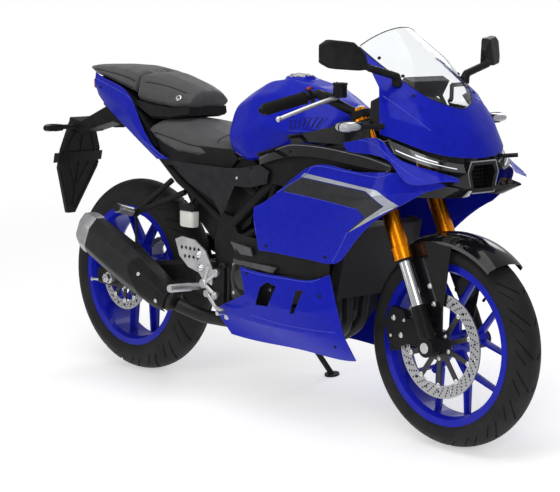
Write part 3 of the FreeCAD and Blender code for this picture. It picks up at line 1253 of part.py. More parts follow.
MIRROR_RINGS_SHARES = [
    (2.42, [(12.62, 10.56), (12.48, 10.98), (12.30, 11.02), (12.28, 10.58)]),
    (2.75, [(12.56, 10.54), (12.36, 11.30), (12.02, 11.32), (12.06, 10.56)]),
    (3.35, [(12.22, 10.58), (12.06, 11.36), (11.84, 11.38), (11.90, 10.60)]),
    (3.64, [(11.98, 10.74), (11.92, 11.22), (11.82, 11.24), (11.84, 10.74)]),
]
INDICATOR_STALK_SHARES = [(12.86, 1.74, 9.02), (12.42, 2.66, 9.02)]
INDICATOR_RINGS_SHARES = [
    (2.62, [(12.62, 8.92), (12.60, 9.14), (12.18, 9.16), (12.18, 8.90)]),
    (3.02, [(12.60, 8.90), (12.56, 9.14), (12.16, 9.16), (12.16, 8.88)]),
    (3.32, [(12.40, 8.94), (12.38, 9.08), (12.18, 9.10), (12.18, 8.94)]),
]
INDICATOR_STALK_RADIUS = 8.0


def cross_lofted(sections):
    """A body of one side whose sections stand at named distances from the middle."""
    rings = []
    for breadth, outline in sections:
        rings.append([spot((station, breadth, level)) for station, level in outline])
    return point_lofted(rings, True)


def nose_cowl():
    """The painted nose, one shell from side to side."""
    rows = [full_row(table) for table in NOSE_ROWS_SHARES]
    return [skin(rows, toward(spot(NOSE_CORE_SHARES), COWL_WALL))]


def windscreen():
    """The clear double-curved screen."""
    rows = [full_row(table) for table in SCREEN_ROWS_SHARES + NOSE_ROWS_SHARES[:1]]
    return [skin(rows, toward(spot(NOSE_CORE_SHARES), SCREEN_WALL))]


def headlamps():
    """The two slit lamps below the nose."""
    rows = [spots(LAMP_TOP_SHARES), spots(LAMP_BOTTOM_SHARES)]
    return both_sides(skin(rows, toward(spot(LAMP_CORE_SHARES), LAMP_DEPTH)))


def duct_ring(half, station):
    """One closed section of the centre duct."""
    left = [spot((station, breadth, level)) for breadth, level in half]
    return left + [flipped(point) for point in reversed(left)]


def nose_duct(neighbours, fairings):
    """The black intake between the lamps, open in front, and the chin lips below them."""
    outer = point_lofted([duct_ring(DUCT_OUTER_SHARES, DUCT_FRONT_SHARE),
                          duct_ring(DUCT_OUTER_SHARES, DUCT_BACK_SHARE)], True)
    inner = point_lofted([duct_ring(DUCT_INNER_SHARES, DUCT_FRONT_SHARE + 1),
                          duct_ring(DUCT_INNER_SHARES, DUCT_FLOOR_SHARE)], True)
    duct = largest(less(outer.cut(inner), neighbours))
    chin = skin([spots(CHIN_TOP_SHARES), spots(CHIN_BOTTOM_SHARES)],
                toward(spot(LAMP_CORE_SHARES), CHIN_DEPTH))
    chins = [solid for side in both_sides(chin)
             for solid in largest(less(side, neighbours + duct + fairings))]
    return duct + chins


def nearest(shape, point):
    """Of the solids in a cut shape, the one that reaches nearest to a point."""
    mark = Part.Vertex(point)
    return sorted(solids_of(shape), key=lambda solid: solid.distToShape(mark)[0])[0]


def cowl_stay(neighbours):
    """The front stay that carries the nose, clocks and mirrors from the head tube."""
    side = [bent_rod(spots(COWL_STAY_SHARES), STAY_RADIUS, HOSE_BEND)]
    side.append(rod(*spots(LOWER_STAY_SHARES), STAY_RADIUS))
    side += [rod(*spots(pair), STAY_RADIUS) for pair in NOSE_BRACKET_SHARES]
    pieces = both_sides(*side)
    middle = spot(COWL_STAY_SHARES[1])
    pieces.append(rod(flipped(middle), middle, STAY_RADIUS))
    whole = pieces[0].multiFuse(pieces[1:])
    return largest(less(whole, neighbours))


def fairing_brackets(carriers, panels):
    """Short pegs from frame, tank and engine, each as long as the gap to its panel."""
    pegs = []
    for pair in FAIRING_BRACKET_SHARES:
        for mirror in (False, True):
            start, end = [flipped(point) if mirror else point for point in spots(pair)]
            peg = less(rod(start, end, STAY_RADIUS), carriers)
            foot = sorted(solids_of(peg), key=lambda solid: -solid.Volume)[0]
            pegs.append(nearest(less(foot, panels), start))
    return pegs


def clocks(neighbours):
    """The instrument housing behind the screen."""
    body = side_prism(CLOCK_SHARES, -CLOCK_HALF, CLOCK_HALF)
    return largest(less(body, neighbours))


def cockpit_panels():
    """The dark inner panels behind the nose."""
    rows = [spots(table) for table in COCKPIT_ROWS_SHARES]
    return both_sides(skin(rows, toward_middle(TRIM_WALL)))


def mirrors(neighbours):
    """The mirrors on their stalks."""
    base, elbow, neck = spots(MIRROR_BASE_SHARES)
    foot = cone_rod(base, elbow, MIRROR_FOOT_RADIUS, MIRROR_STEM_RADIUS)
    stem = rod(elbow, neck, MIRROR_STEM_RADIUS)
    joint = Part.makeSphere(MIRROR_STEM_RADIUS, elbow)
    shell = cross_lofted(MIRROR_RINGS_SHARES)
    whole = foot.multiFuse([stem, joint, shell])
    return both_sides(*largest(less(whole, neighbours)))


def front_indicators(neighbours):
    """The front turn lamps on their short stalks."""
    stalk = rod(*spots(INDICATOR_STALK_SHARES), INDICATOR_STALK_RADIUS)
    lamp = cross_lofted(INDICATOR_RINGS_SHARES)
    whole = stalk.fuse(lamp)
    return both_sides(*largest(less(whole, neighbours)))


# Steering assembly
BAR_INNER_SHARES = (10.02, 1.86, 9.74)
BAR_OUTER_SHARES = (9.40, 3.50, 9.28)
BAR_RISER_PLACE = 686.0
BAR_CLAMP_HEIGHT = 20.0
BAR_CLAMP_RADIUS = 32.0
GRIP_START_SHARE = 0.22
GRIP_END_SHARE = 0.94
SWITCH_START_SHARE = 0.02
SWITCH_END_SHARE = 0.18
LEVER_SHARES = [(10.50, 1.62, 9.62), (10.62, 2.05, 9.60), (10.45, 2.70, 9.40), (10.18, 3.52, 9.10)]
LEVER_BEND = 60.0
PERCH_SHARES = [(10.02, 1.74, 9.72), (10.52, 1.58, 9.62)]
PERCH_RADIUS = 12.0
RESERVOIR_SHARES = (10.56, 1.52, 9.66)
RESERVOIR_RADIUS = 20.0
RESERVOIR_HEIGHT = 36.0
FENDER_WALL = 2.6
FENDER_PROFILE_SHARES = [(0.70, 282.0), (0.69, 292.0), (0.50, 306.0), (0.24, 313.0), (0.0, 315.0)]
FENDER_START = -24.0
FENDER_SWEEP = 62.0
FENDER_CHEEK_SHARES = [
    (12.66, 5.17), (12.60, 5.50), (13.3, 5.80), (14.2, 5.75), (14.1, 5.0), (14.03, 4.41),
    (13.87, 3.62), (13.78, 3.36), (13.59, 3.38), (13.25, 4.07),
]
FENDER_CHEEK_INNER = 69.4
FENDER_CHEEK_OUTER = 71.4
FENDER_LUGS = (75.0, 150.0)
CALIPER_BODY_SHARES = [
    (11.86, 3.30), (12.10, 3.84), (12.56, 3.78), (12.82, 3.30), (12.86, 2.88), (12.35, 2.68),
    (12.02, 2.86),
]
CALIPER_INNER_RADIUS = 106.0
CALIPER_BRIDGE_RADIUS = 190.0
CALIPER_START = -103.0
CALIPER_SWEEP = 34.0
CALIPER_PAD_GAP = 1.2
CALIPER_HALF_WALL = 20.0
CALIPER_BRACKET_SHARES = [(12.6, 3.5), (12.75, 2.85), (13.6, 2.75), (13.7, 3.3), (13.3, 3.7)]
HOSE_SHARES = [
    (12.30, -0.80, 3.86), (12.10, -0.92, 4.30), (11.80, -0.98, 4.80), (12.05, -1.06, 5.40),
    (12.35, -1.12, 5.70),
]
HOSE_CLIP_SHARES = [(12.38, -1.12, 5.66), (12.46, -1.02, 5.60)]
REAR_CALIPER_START = 22.0
REAR_CALIPER_SWEEP = 40.0
REAR_SLOT_MARGIN = 5.0
REAR_CALIPER_INNER = 74.0
REAR_CALIPER_OUTER = 122.0
REAR_CALIPER_NEAR = -100.0
REAR_CALIPER_FAR = -64.0


def triple_clamps():
    """Upper and lower fork clamps joined by the steering stem."""
    pieces = []
    for place, height in ((LOWER_CLAMP_PLACE, LOWER_CLAMP_HEIGHT),
                          (UPPER_CLAMP_PLACE, UPPER_CLAMP_HEIGHT)):
        base = on_axis(place - height * HALF)
        rise = UP_FORK * height
        eye = FORK_OUTER_RADIUS + EAR
        plate = [
            base - OUT_FORK * eye * 0.8 + ACROSS * eye * HALF,
            base + OUT_FORK * (FORK_OFFSET - eye * 0.5) + ACROSS * (FORK_SPREAD),
            base + OUT_FORK * (FORK_OFFSET + eye * 0.7) + ACROSS * (FORK_SPREAD),
            base + OUT_FORK * (FORK_OFFSET) + ACROSS * eye * HALF,
        ]
        plate += [flipped(point) for point in reversed(plate)]
        pieces.append(ring_prism(plate, rise))
        for side in (-1, 1):
            start = on_leg(place - height * HALF, side)
            pieces.append(Part.makeCylinder(eye, height, start, UP_FORK))
    low = on_axis(LOWER_CLAMP_PLACE - LOWER_CLAMP_HEIGHT * HALF)
    high = on_axis(UPPER_CLAMP_PLACE + UPPER_CLAMP_HEIGHT * HALF)
    pieces.append(rod(low, high, STEM_RADIUS))
    pieces.append(Part.makeCylinder(STEM_NUT_RADIUS, STEM_NUT_HEIGHT, high, UP_FORK))
    whole = pieces[0].multiFuse(pieces[1:])
    legs = [rod(on_leg(LOWER_CLAMP_PLACE - OVERRUN, side), on_leg(UPPER_CLAMP_PLACE + OVERRUN, side),
                FORK_OUTER_RADIUS) for side in (-1, 1)]
    bore = rod(low - UP_FORK * OVERRUN, low + UP_FORK * PADDOCK_HOLE_DEPTH * 2, STEM_BORE_RADIUS)
    return [whole.cut(Part.makeCompound(legs + [bore]))]


def fork_outers():
    """The two anodised outer tubes with their lower collars and top caps."""
    start = on_leg(FORK_OUTER_START)
    collar = rod(start, on_leg(FORK_OUTER_START + FORK_COLLAR_LENGTH), FORK_COLLAR_RADIUS)
    tube = rod(on_leg(FORK_OUTER_START), on_leg(FORK_TOP), FORK_OUTER_RADIUS)
    cap = rod(on_leg(FORK_TOP), on_leg(FORK_TOP + FORK_CAP_HEIGHT), FORK_CAP_RADIUS)
    leg = collar.multiFuse([tube, cap])
    bore = rod(on_leg(FORK_OUTER_START - OVERRUN), on_leg(FORK_OUTER_START + FORK_COLLAR_LENGTH),
               FORK_SLIDER_RADIUS)
    return both_sides(leg.cut(bore))


def fork_sliders():
    """The two chromed tubes between the collars and the feet."""
    return both_sides(rod(on_leg(FORK_SLIDER_START),
                          on_leg(FORK_OUTER_START + FORK_COLLAR_LENGTH), FORK_SLIDER_RADIUS))


def fork_feet():
    """The two cast feet that clamp the axle."""
    top = on_leg(FORK_SLIDER_START)
    waist = on_leg(FORK_SLIDER_START * 0.6)
    foot = rod(on_leg(-FORK_FOOT_END * 0.6), waist, FORK_FOOT_RADIUS)
    neck = cone_rod(waist, top, FORK_FOOT_RADIUS, FORK_SLIDER_RADIUS + EAR * 0.3)
    half = FORK_FOOT_RADIUS
    centre = on_leg(0)
    eye = rod(centre - ACROSS * half, centre + ACROSS * half, FORK_FOOT_RADIUS + EAR * HALF)
    whole = foot.multiFuse([neck, eye])
    bore = rod(centre - ACROSS * OVERRUN, centre + ACROSS * OVERRUN, FRONT_AXLE_RADIUS)
    return both_sides(whole.cut(bore))


def bar_point(share):
    """A point of the left bar between its root and its end."""
    inner = spot(BAR_INNER_SHARES)
    return inner + (spot(BAR_OUTER_SHARES) - inner) * share


def handlebars(neighbours):
    """The two clip-on bars: clamp round the fork tube, riser, bar and rubber grip."""
    base = on_leg(BAR_RISER_PLACE - BAR_CLAMP_HEIGHT * HALF)
    clamp = Part.makeCylinder(BAR_CLAMP_RADIUS, BAR_CLAMP_HEIGHT, base, UP_FORK)
    riser = rod(on_leg(BAR_RISER_PLACE), bar_point(0), BAR_RADIUS * 1.2)
    bar = rod(bar_point(0), bar_point(1), BAR_RADIUS)
    heading = (bar_point(1) - bar_point(0)).normalize()
    bore = rod(bar_point(1) - heading * BAR_BORE_DEPTH, bar_point(1) + heading * OVERRUN,
               BAR_BORE_RADIUS)
    knob = Part.makeSphere(BAR_RADIUS * 1.2, bar_point(0))
    grip = rod(bar_point(GRIP_START_SHARE), bar_point(GRIP_END_SHARE), GRIP_RADIUS)
    whole = clamp.multiFuse([riser, knob, bar, grip]).cut(bore)
    return both_sides(*largest(less(whole, neighbours)))


def hand_controls(neighbours):
    """Switch housings, perches with their levers, and the brake fluid cup on the right."""
    switch = rod(bar_point(SWITCH_START_SHARE), bar_point(SWITCH_END_SHARE), SWITCH_RADIUS)
    perch = rod(*spots(PERCH_SHARES), PERCH_RADIUS)
    base = spot(RESERVOIR_SHARES)
    cup = mirrored(Part.makeCylinder(RESERVOIR_RADIUS, RESERVOIR_HEIGHT, base, UP))
    side = switch.multiFuse([perch, bent_rod(spots(LEVER_SHARES), LEVER_RADIUS, LEVER_BEND)])
    left = less(side, neighbours)
    right = less(mirrored(side).fuse(cup), neighbours)
    return largest(left) + largest(right)


def front_fender(neighbours):
    """The front mudguard: a crowned arch over the tyre with cheeks down to the fork feet."""
    outer = [(breadth * BREADTH, radius) for breadth, radius in FENDER_PROFILE_SHARES]
    inner = [(across - FENDER_WALL if across else across, radius - FENDER_WALL)
             for across, radius in outer]
    profile = outer + [(-across, radius) for across, radius in reversed(outer[:-1])]
    profile += [(-across, radius) for across, radius in inner]
    profile += [(across, radius) for across, radius in reversed(inner[:-1])]
    arch = turned(spun(profile, FRONT_AXLE, FENDER_SWEEP), FRONT_AXLE, FENDER_START)
    cheek = side_prism(FENDER_CHEEK_SHARES, FENDER_CHEEK_INNER, FENDER_CHEEK_OUTER)
    whole = arch.multiFuse([cheek, mirrored(cheek)])
    lugs = []
    for climb in FENDER_LUGS:
        foot = on_leg(climb)
        start = V(foot.x, FENDER_CHEEK_OUTER - WELD_DEPTH * HALF, foot.z)
        lugs.append(rod(start, start + ACROSS * (FORK_SPREAD - start.y), EAR))
    whole = whole.multiFuse([lug for pair in zip(lugs, map(mirrored, lugs)) for lug in pair])
    return largest(less(whole, neighbours))


def front_brake(neighbours):
    """The caliper over the disc's rear edge, its bracket on the fork foot and its hose."""
    half = DISC_THICKNESS * HALF + CALIPER_PAD_GAP
    slot_out = FRONT_DISC_PLACE - half
    slot_in = FRONT_DISC_PLACE + half
    outer = side_prism(CALIPER_BODY_SHARES, slot_out - CALIPER_HALF_WALL, slot_out)
    inner = ring_sector(FRONT_AXLE, CALIPER_INNER_RADIUS, CALIPER_BRIDGE_RADIUS, slot_in,
                        slot_in + CALIPER_HALF_WALL, CALIPER_START, CALIPER_SWEEP)
    bridge = ring_sector(FRONT_AXLE, FRONT_DISC_RADIUS + CALIPER_PAD_GAP * 2, CALIPER_BRIDGE_RADIUS,
                         slot_out - WELD_DEPTH, slot_in + WELD_DEPTH, CALIPER_START, CALIPER_SWEEP)
    bracket = side_prism(CALIPER_BRACKET_SHARES, slot_out - CALIPER_HALF_WALL,
                         slot_out - CALIPER_HALF_WALL * HALF)
    hose = bent_rod(spots(HOSE_SHARES), HOSE_RADIUS, HOSE_BEND)
    clip = rod(*spots(HOSE_CLIP_SHARES), HOSE_RADIUS * 2)
    whole = outer.multiFuse([inner, bridge, bracket, hose, clip])
    return largest(less(whole, neighbours))


def rear_caliper(neighbours):
    """The rear caliper above the right arm, open where the disc runs."""
    half = DISC_THICKNESS * HALF + CALIPER_PAD_GAP
    block = ring_sector(REAR_AXLE, REAR_CALIPER_INNER, REAR_CALIPER_OUTER, REAR_CALIPER_NEAR,
                        REAR_CALIPER_FAR, REAR_CALIPER_START, REAR_CALIPER_SWEEP)
    slot = ring_sector(REAR_AXLE, REAR_CALIPER_INNER - OVERRUN * 0.1,
                       REAR_DISC_RADIUS + CALIPER_PAD_GAP * 2,
                       REAR_DISC_PLACE - half, REAR_DISC_PLACE + half,
                       REAR_CALIPER_START - REAR_SLOT_MARGIN,
                       REAR_CALIPER_SWEEP + REAR_SLOT_MARGIN * 2)
    arm = ring_sector(REAR_AXLE, REAR_CALIPER_INNER, REAR_CALIPER_OUTER * 0.8,
                      REAR_CALIPER_NEAR - EAR * HALF, REAR_CALIPER_NEAR + EAR * HALF,
                      REAR_CALIPER_START + REAR_CALIPER_SWEEP * HALF, REAR_CALIPER_SWEEP)
    whole = block.cut(slot).fuse(arm)
    return largest(less(whole, neighbours))


# Footrests, stand and rear equipment
FOOT_BRACKET_SHARES = [
    (5.78, 4.2), (5.78, 3.15), (5.2, 3.1), (4.55, 3.3), (4.5, 3.78), (4.95, 4.05),
]
FOOT_BRACKET_OUTER = 160.0
HEEL_PLATE_SHARES = [
    (3.54, 4.84), (3.84, 4.95), (4.48, 4.90), (4.98, 4.61), (5.33, 4.06), (5.3, 3.6), (4.9, 3.7),
    (4.68, 3.92), (4.17, 4.04), (3.75, 4.34),
]
HEEL_PLATE_INNER = 160.0
HEEL_PLATE_OUTER = 166.0
HEEL_HOLE_ROWS_SHARES = [(3.86, 4.62, 5), (4.02, 4.36, 4)]
HEEL_HOLE_STEP_SHARE = 0.20
HEEL_HOLE_RADIUS = 6.0
PEG_SHARES = [(4.76, 1.5, 3.52), (4.86, 2.98, 3.58)]
PEDAL_SHARES = [(5.15, 1.72, 3.35), (5.7, 1.84, 3.0), (6.3, 1.96, 2.95), (6.35, 2.36, 2.96)]
PEDAL_RADIUS = 6.0
PEDAL_ROOT_SHARES = [(5.15, 1.55, 3.35), (5.15, 1.78, 3.35)]
PEDAL_ROOT_RADIUS = 11.0
PILLION_STAY_SHARES = [(2.95, 1.30, 6.60), (1.85, 1.86, 5.50), (3.62, 1.34, 6.28)]
PILLION_PEG_SHARES = [(1.85, 1.90, 5.50), (2.24, 2.96, 5.78)]
PILLION_TUBE_RADIUS = 9.0
PILLION_PEG_RADIUS = 13.0
PILLION_HANGER_SHARES = [(1.85, 1.86, 5.50), (1.80, 1.80, 4.2)]
RESERVOIR_REAR_SHARES = [(3.78, 5.30), (4.34, 5.30), (4.36, 5.95), (3.80, 5.95)]
RESERVOIR_REAR_INNER = 140.0
RESERVOIR_REAR_OUTER = 168.0
RESERVOIR_ARM_SHARES = [(4.05, 1.52, 5.9), (4.02, 1.28, 6.15)]
GUARD_TOP_SHARES = [(0.5, 4.52), (0.5, 4.56), (3.7, 4.66), (3.7, 4.62)]
GUARD_SIDE_SHARES = [(0.5, 4.56), (3.7, 4.66), (3.7, 3.9), (2.6, 3.9)]
GUARD_INNER = 78.0
GUARD_OUTER = 112.0
PLATE_ARM_SHARES = [
    (-0.05, 8.16), (-1.10, 8.72), (-1.45, 8.62), (-2.95, 7.98), (-3.55, 8.08), (-3.62, 7.84),
    (-2.90, 7.62), (-1.20, 8.10), (-0.15, 7.90),
]
PLATE_ARM_HALF = 42.0
PLATE_ROWS_SHARES = [
    (7.90, -3.30, -3.60, 0.44), (7.00, -3.48, -3.62, 0.80), (6.36, -3.62, -3.77, 0.82),
    (4.74, -4.02, -4.18, 0.16),
]
REAR_INDICATOR_STALK_SHARES = [(-3.15, 0.40, 7.80), (-3.15, 1.14, 7.80)]
REAR_INDICATOR_RINGS_SHARES = [
    (1.12, [(-2.98, 7.70), (-3.00, 7.90), (-3.34, 7.90), (-3.36, 7.70)]),
    (1.44, [(-2.98, 7.68), (-3.00, 7.90), (-3.34, 7.90), (-3.36, 7.68)]),
    (1.72, [(-3.04, 7.72), (-3.06, 7.86), (-3.26, 7.86), (-3.28, 7.72)]),
]
TAIL_LAMP_SHARES = [(-1.60, 9.06), (-1.96, 9.20), (-1.98, 9.46), (-1.60, 9.55)]
TAIL_LAMP_HALF = 60.0


def heel_holes():
    """The perforations of the heel plate."""
    holes = []
    for start, level, count in HEEL_HOLE_ROWS_SHARES:
        for step in range(count):
            place = spot((start + step * HEEL_HOLE_STEP_SHARE, 0, level))
            holes.append(Part.makeCylinder(HEEL_HOLE_RADIUS, OVERRUN, place, ACROSS))
    return Part.makeCompound(holes)


def footrests(neighbours):
    """The cast brackets on the pivot plates with heel plates, pegs and foot levers."""
    bracket = side_prism(FOOT_BRACKET_SHARES, PIVOT_PLATE_OUTER, FOOT_BRACKET_OUTER)
    plate = side_prism(HEEL_PLATE_SHARES, HEEL_PLATE_INNER, HEEL_PLATE_OUTER).cut(heel_holes())
    peg = rod(*spots(PEG_SHARES), PEG_RADIUS)
    lever = bent_rod(spots(PEDAL_SHARES), PEDAL_RADIUS, HOSE_BEND * HALF)
    root = rod(*spots(PEDAL_ROOT_SHARES), PEDAL_ROOT_RADIUS)
    side = bracket.multiFuse([plate, peg, lever, root])
    return both_sides(*largest(less(side, neighbours)))


def pillion_footrests(neighbours):
    """The tube stays below the seat rails with the passenger's pegs."""
    front, apex, rear = spots(PILLION_STAY_SHARES)
    pieces = [rod(front, apex, PILLION_TUBE_RADIUS), rod(apex, rear, PILLION_TUBE_RADIUS)]
    peg = rod(*spots(PILLION_PEG_SHARES), PILLION_PEG_RADIUS)
    joint = Part.makeSphere(PILLION_PEG_RADIUS, apex)
    side = pieces[0].multiFuse([pieces[1], peg, joint])
    hanger = mirrored(rod(*spots(PILLION_HANGER_SHARES), PILLION_TUBE_RADIUS * HALF))
    right = mirrored(side).fuse(hanger)
    return largest(less(side, neighbours)) + largest(less(right, neighbours))


def rear_reservoir(neighbours):
    """The rear brake's fluid cup on its arm at the right seat rail."""
    cup = side_prism(RESERVOIR_REAR_SHARES, RESERVOIR_REAR_INNER, RESERVOIR_REAR_OUTER)
    arm = rod(*spots(RESERVOIR_ARM_SHARES), STAY_RADIUS)
    return largest(less(mirrored(cup.fuse(arm)), neighbours))


def chain_guard(neighbours):
    """The guard over the chain's upper run, standing on the left arm."""
    top = side_prism(GUARD_TOP_SHARES, GUARD_INNER, GUARD_OUTER)
    wall = side_prism(GUARD_SIDE_SHARES, GUARD_OUTER - TRIM_WALL, GUARD_OUTER)
    return largest(less(top.fuse(wall), neighbours))


def rear_fender(neighbours):
    """The arm below the tail and the tapering blank plate holder."""
    arm = side_prism(PLATE_ARM_SHARES, -PLATE_ARM_HALF, PLATE_ARM_HALF)
    rings = []
    for level, front, back, half in PLATE_ROWS_SHARES:
        edge = [spot((front, half, level)), spot((back, half, level))]
        rings.append(edge + [flipped(point) for point in reversed(edge)])
    whole = arm.fuse(point_lofted(rings, True))
    return largest(less(whole, neighbours))


def rear_indicators(neighbours):
    """The rear turn lamps on the plate holder."""
    stalk = rod(*spots(REAR_INDICATOR_STALK_SHARES), INDICATOR_STALK_RADIUS)
    lamp = cross_lofted(REAR_INDICATOR_RINGS_SHARES)
    return both_sides(*largest(less(stalk.fuse(lamp), neighbours)))


def tail_lamp(neighbours):
    """The tail lamp between the blades."""
    body = side_prism(TAIL_LAMP_SHARES, -TAIL_LAMP_HALF, TAIL_LAMP_HALF)
    return largest(less(body, neighbours))


def side_stand():
    """The stand: eye round its pin, leg, and a foot that lies flat on the floor."""
    pivot = spot(STAND_PIVOT_SHARES)
    axis = stand_axis()
    foot = stand_foot_point()
    up = floor_normal()
    eye = Part.makeCylinder(STAND_EYE_RADIUS, STAND_EYE_WALL, pivot - axis * (STAND_EYE_WALL * HALF),
                            axis)
    pad = Part.makeCylinder(STAND_FOOT_RADIUS, STAND_FOOT_WALL, foot, up)
    ankle = foot + up * STAND_FOOT_WALL * HALF
    leg = rod(pivot, ankle, STAND_LEG_RADIUS)
    floor = Part.makeCylinder(STAND_FOOT_RADIUS * 2, OVERRUN, foot, up * -1)
    whole = leg.cut(floor).multiFuse([eye, pad])
    bore = Part.makeCylinder(STAND_PIN_RADIUS + RUNNING_GAP, OVERRUN,
                             pivot - axis * (OVERRUN * HALF), axis)
    slit = Part.makeCylinder(STAND_EYE_RADIUS + EAR, OVERRUN,
                             pivot + axis * (STAND_EYE_WALL * HALF), axis)
    back = Part.makeCylinder(STAND_EYE_RADIUS + EAR, OVERRUN,
                             pivot - axis * (STAND_EYE_WALL * HALF), axis * -1)
    return largest(whole.cut(Part.makeCompound([bore])).cut(slit).cut(back))


# Assembly
def nodes():
    """Every named piece of the bike, in the upright frame."""
    made = {}
    front_left = FRONT_HUB_WIDTH * HALF
    rear_left = CHAIN_LINE - SPROCKET_WALL * HALF
    made["front_tyre"] = [tyre(FRONT_AXLE, FRONT_TYRE_RADIUS, FRONT_TYRE_WIDTH, FRONT_RIM_WIDTH)]
    made["front_rim"] = [rim(FRONT_AXLE, FRONT_RIM_WIDTH, FRONT_HUB_WIDTH, FRONT_AXLE_RADIUS,
                             FRONT_DISC_PLACE + DISC_THICKNESS * HALF, front_left, HUB_RADIUS)]
    made["front_disc"] = [disc(FRONT_AXLE, FRONT_DISC_RADIUS, FRONT_DISC_BAND, FRONT_DISC_PLACE)]
    made["rear_tyre"] = [tyre(REAR_AXLE, REAR_TYRE_RADIUS, REAR_TYRE_WIDTH, REAR_RIM_WIDTH)]
    made["rear_rim"] = [rim(REAR_AXLE, REAR_RIM_WIDTH, REAR_HUB_WIDTH, REAR_AXLE_RADIUS,
                            REAR_DISC_PLACE + DISC_THICKNESS * HALF, rear_left,
                            SPROCKET_WINDOW_PLACE - SPROCKET_WINDOW_RADIUS)]
    made["rear_disc"] = [disc(REAR_AXLE, REAR_DISC_RADIUS, REAR_DISC_BAND, REAR_DISC_PLACE)]
    made["rear_sprocket"] = [rear_sprocket()]
    made["drive_chain"] = drive_chain()
    made["main_frame"] = main_frame()
    made["engine"] = largest(less(engine()[0], made["main_frame"] + made["drive_chain"]))
    made["subframe"] = subframe(made["main_frame"])
    made["swingarm"] = swingarm()
    made["rear_axle"] = rear_axle()
    made["rear_shock"] = rear_shock(made["main_frame"] + made["swingarm"])
    made["chain_guard"] = chain_guard(made["swingarm"])
    made["radiator"] = largest(less(radiator(), made["main_frame"]))
    body, cap = silencer()
    made["silencer"] = body
    made["silencer_cap"] = cap
    header_cut = made["engine"] + made["silencer"]
    made["exhaust_header"] = largest(less(exhaust_header()[0], header_cut))
    made["tail_panels"] = tail_panels()
    made["tail_core"] = tail_core(made["tail_panels"] + made["subframe"])
    tail = made["tail_core"] + made["subframe"]
    made["pillion_pad"] = largest(less(lofted(PILLION_PAD_SHARES, True), tail))
    hump_cut = made["tail_core"] + made["pillion_pad"]
    made["pillion_hump"] = largest(less(lofted(HUMP_SHARES, True), hump_cut))
    made["fuel_tank"] = [less(fuel_tank()[0], made["main_frame"])]
    made["fuel_cap"] = fuel_cap()
    seat_cut = tail + made["fuel_tank"] + made["tail_panels"]
    made["rider_seat"] = rider_seat(seat_cut + made["pillion_hump"])
    made["side_covers"] = side_covers()
    made["knee_panels"] = knee_panels()
    made["nose_strakes"] = nose_strakes()
    made["side_fairings"] = side_fairings()
    made["lower_cowls"] = lower_cowls()
    made["nose_cowl"] = nose_cowl()
    cockpit = [solid for panel in cockpit_panels()
               for solid in largest(less(panel, made["nose_cowl"]))]
    made["inner_panels"] = louvres() + cockpit
    made["windscreen"] = windscreen()
    made["headlamps"] = headlamps()
    made["nose_duct"] = nose_duct(made["nose_cowl"] + made["headlamps"], made["side_fairings"])
    front = made["nose_cowl"] + made["headlamps"] + made["nose_duct"] + made["main_frame"]
    made["clocks"] = clocks(made["nose_cowl"])
    strakes = made["knee_panels"] + made["nose_strakes"]
    made["cowl_stay"] = cowl_stay(front + made["clocks"] + strakes)
    carriers = made["main_frame"] + made["subframe"] + made["fuel_tank"] + made["engine"]
    panels = made["side_fairings"] + made["knee_panels"] + made["inner_panels"]
    panels += made["lower_cowls"] + made["side_covers"]
    made["fairing_brackets"] = fairing_brackets(carriers + made["radiator"], panels)
    made["mirrors"] = mirrors(made["nose_cowl"] + made["cowl_stay"])
    made["triple_clamps"] = triple_clamps()
    made["fork_outers"] = fork_outers()
    made["fork_sliders"] = fork_sliders()
    made["fork_feet"] = fork_feet()
    made["front_axle"] = front_axle()
    made["handlebars"] = handlebars(made["fork_outers"] + made["triple_clamps"])
    made["hand_controls"] = hand_controls(made["handlebars"])
    made["front_fender"] = front_fender(made["fork_feet"] + made["fork_sliders"])
    brake_cut = made["fork_feet"] + made["fork_outers"] + made["front_fender"]
    made["front_brake"] = front_brake(brake_cut)
    made["footrests"] = footrests(made["main_frame"])
    made["pillion_footrests"] = pillion_footrests(made["subframe"] + made["silencer"])
    made["rear_brake"] = rear_caliper(made["swingarm"]) + rear_reservoir(made["subframe"])
    made["rear_fender"] = rear_fender(made["tail_core"] + made["subframe"])
    front_lamps = front_indicators(made["nose_cowl"] + strakes)
    made["indicators"] = front_lamps + rear_indicators(made["rear_fender"])
    made["tail_lamp"] = tail_lamp(made["tail_core"])
    made["side_stand"] = side_stand()
    return made


def leaned(shape):
    """A solid laid over onto the side stand about the tyres' contact line."""
    copy = shape.copy()
    copy.rotate(ORIGIN, ALONG, -LEAN)
    return copy


def floor_centre(shapes):
    """The middle of the floor below everything, which is the part's origin."""
    boxes = [shape.BoundBox for shape in shapes]
    middle_x = (min(box.XMin for box in boxes) + max(box.XMax for box in boxes)) * HALF
    middle_y = (min(box.YMin for box in boxes) + max(box.YMax for box in boxes)) * HALF
    return V(middle_x, middle_y, -max(floor_drop(0), floor_drop(WHEELBASE / STATION)))


def main():
    """Builds the bike, leans it, sets its origin and writes one file for each node."""
    os.makedirs("parts", exist_ok=True)
    made = {name: [leaned(solid) for solid in solids] for name, solids in nodes().items()}
    centre = floor_centre([solid for solids in made.values() for solid in solids])
    for name, solids in made.items():
        for solid in solids:
            solid.translate(centre * -1)
        loose = [one for solid in solids for one in solid.Solids]
        whole = loose[0] if len(loose) == 1 else Part.makeCompound(loose)
        whole.exportStep("parts/" + name + ".step")
    return made, centre


if __name__ == "__main__":
    main()
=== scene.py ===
import logging
import math
from collections.abc import Callable, Iterable
from dataclasses import dataclass
from enum import Enum

import bmesh
import bpy
from mathutils import Matrix, Vector
from mathutils.bvhtree import BVHTree


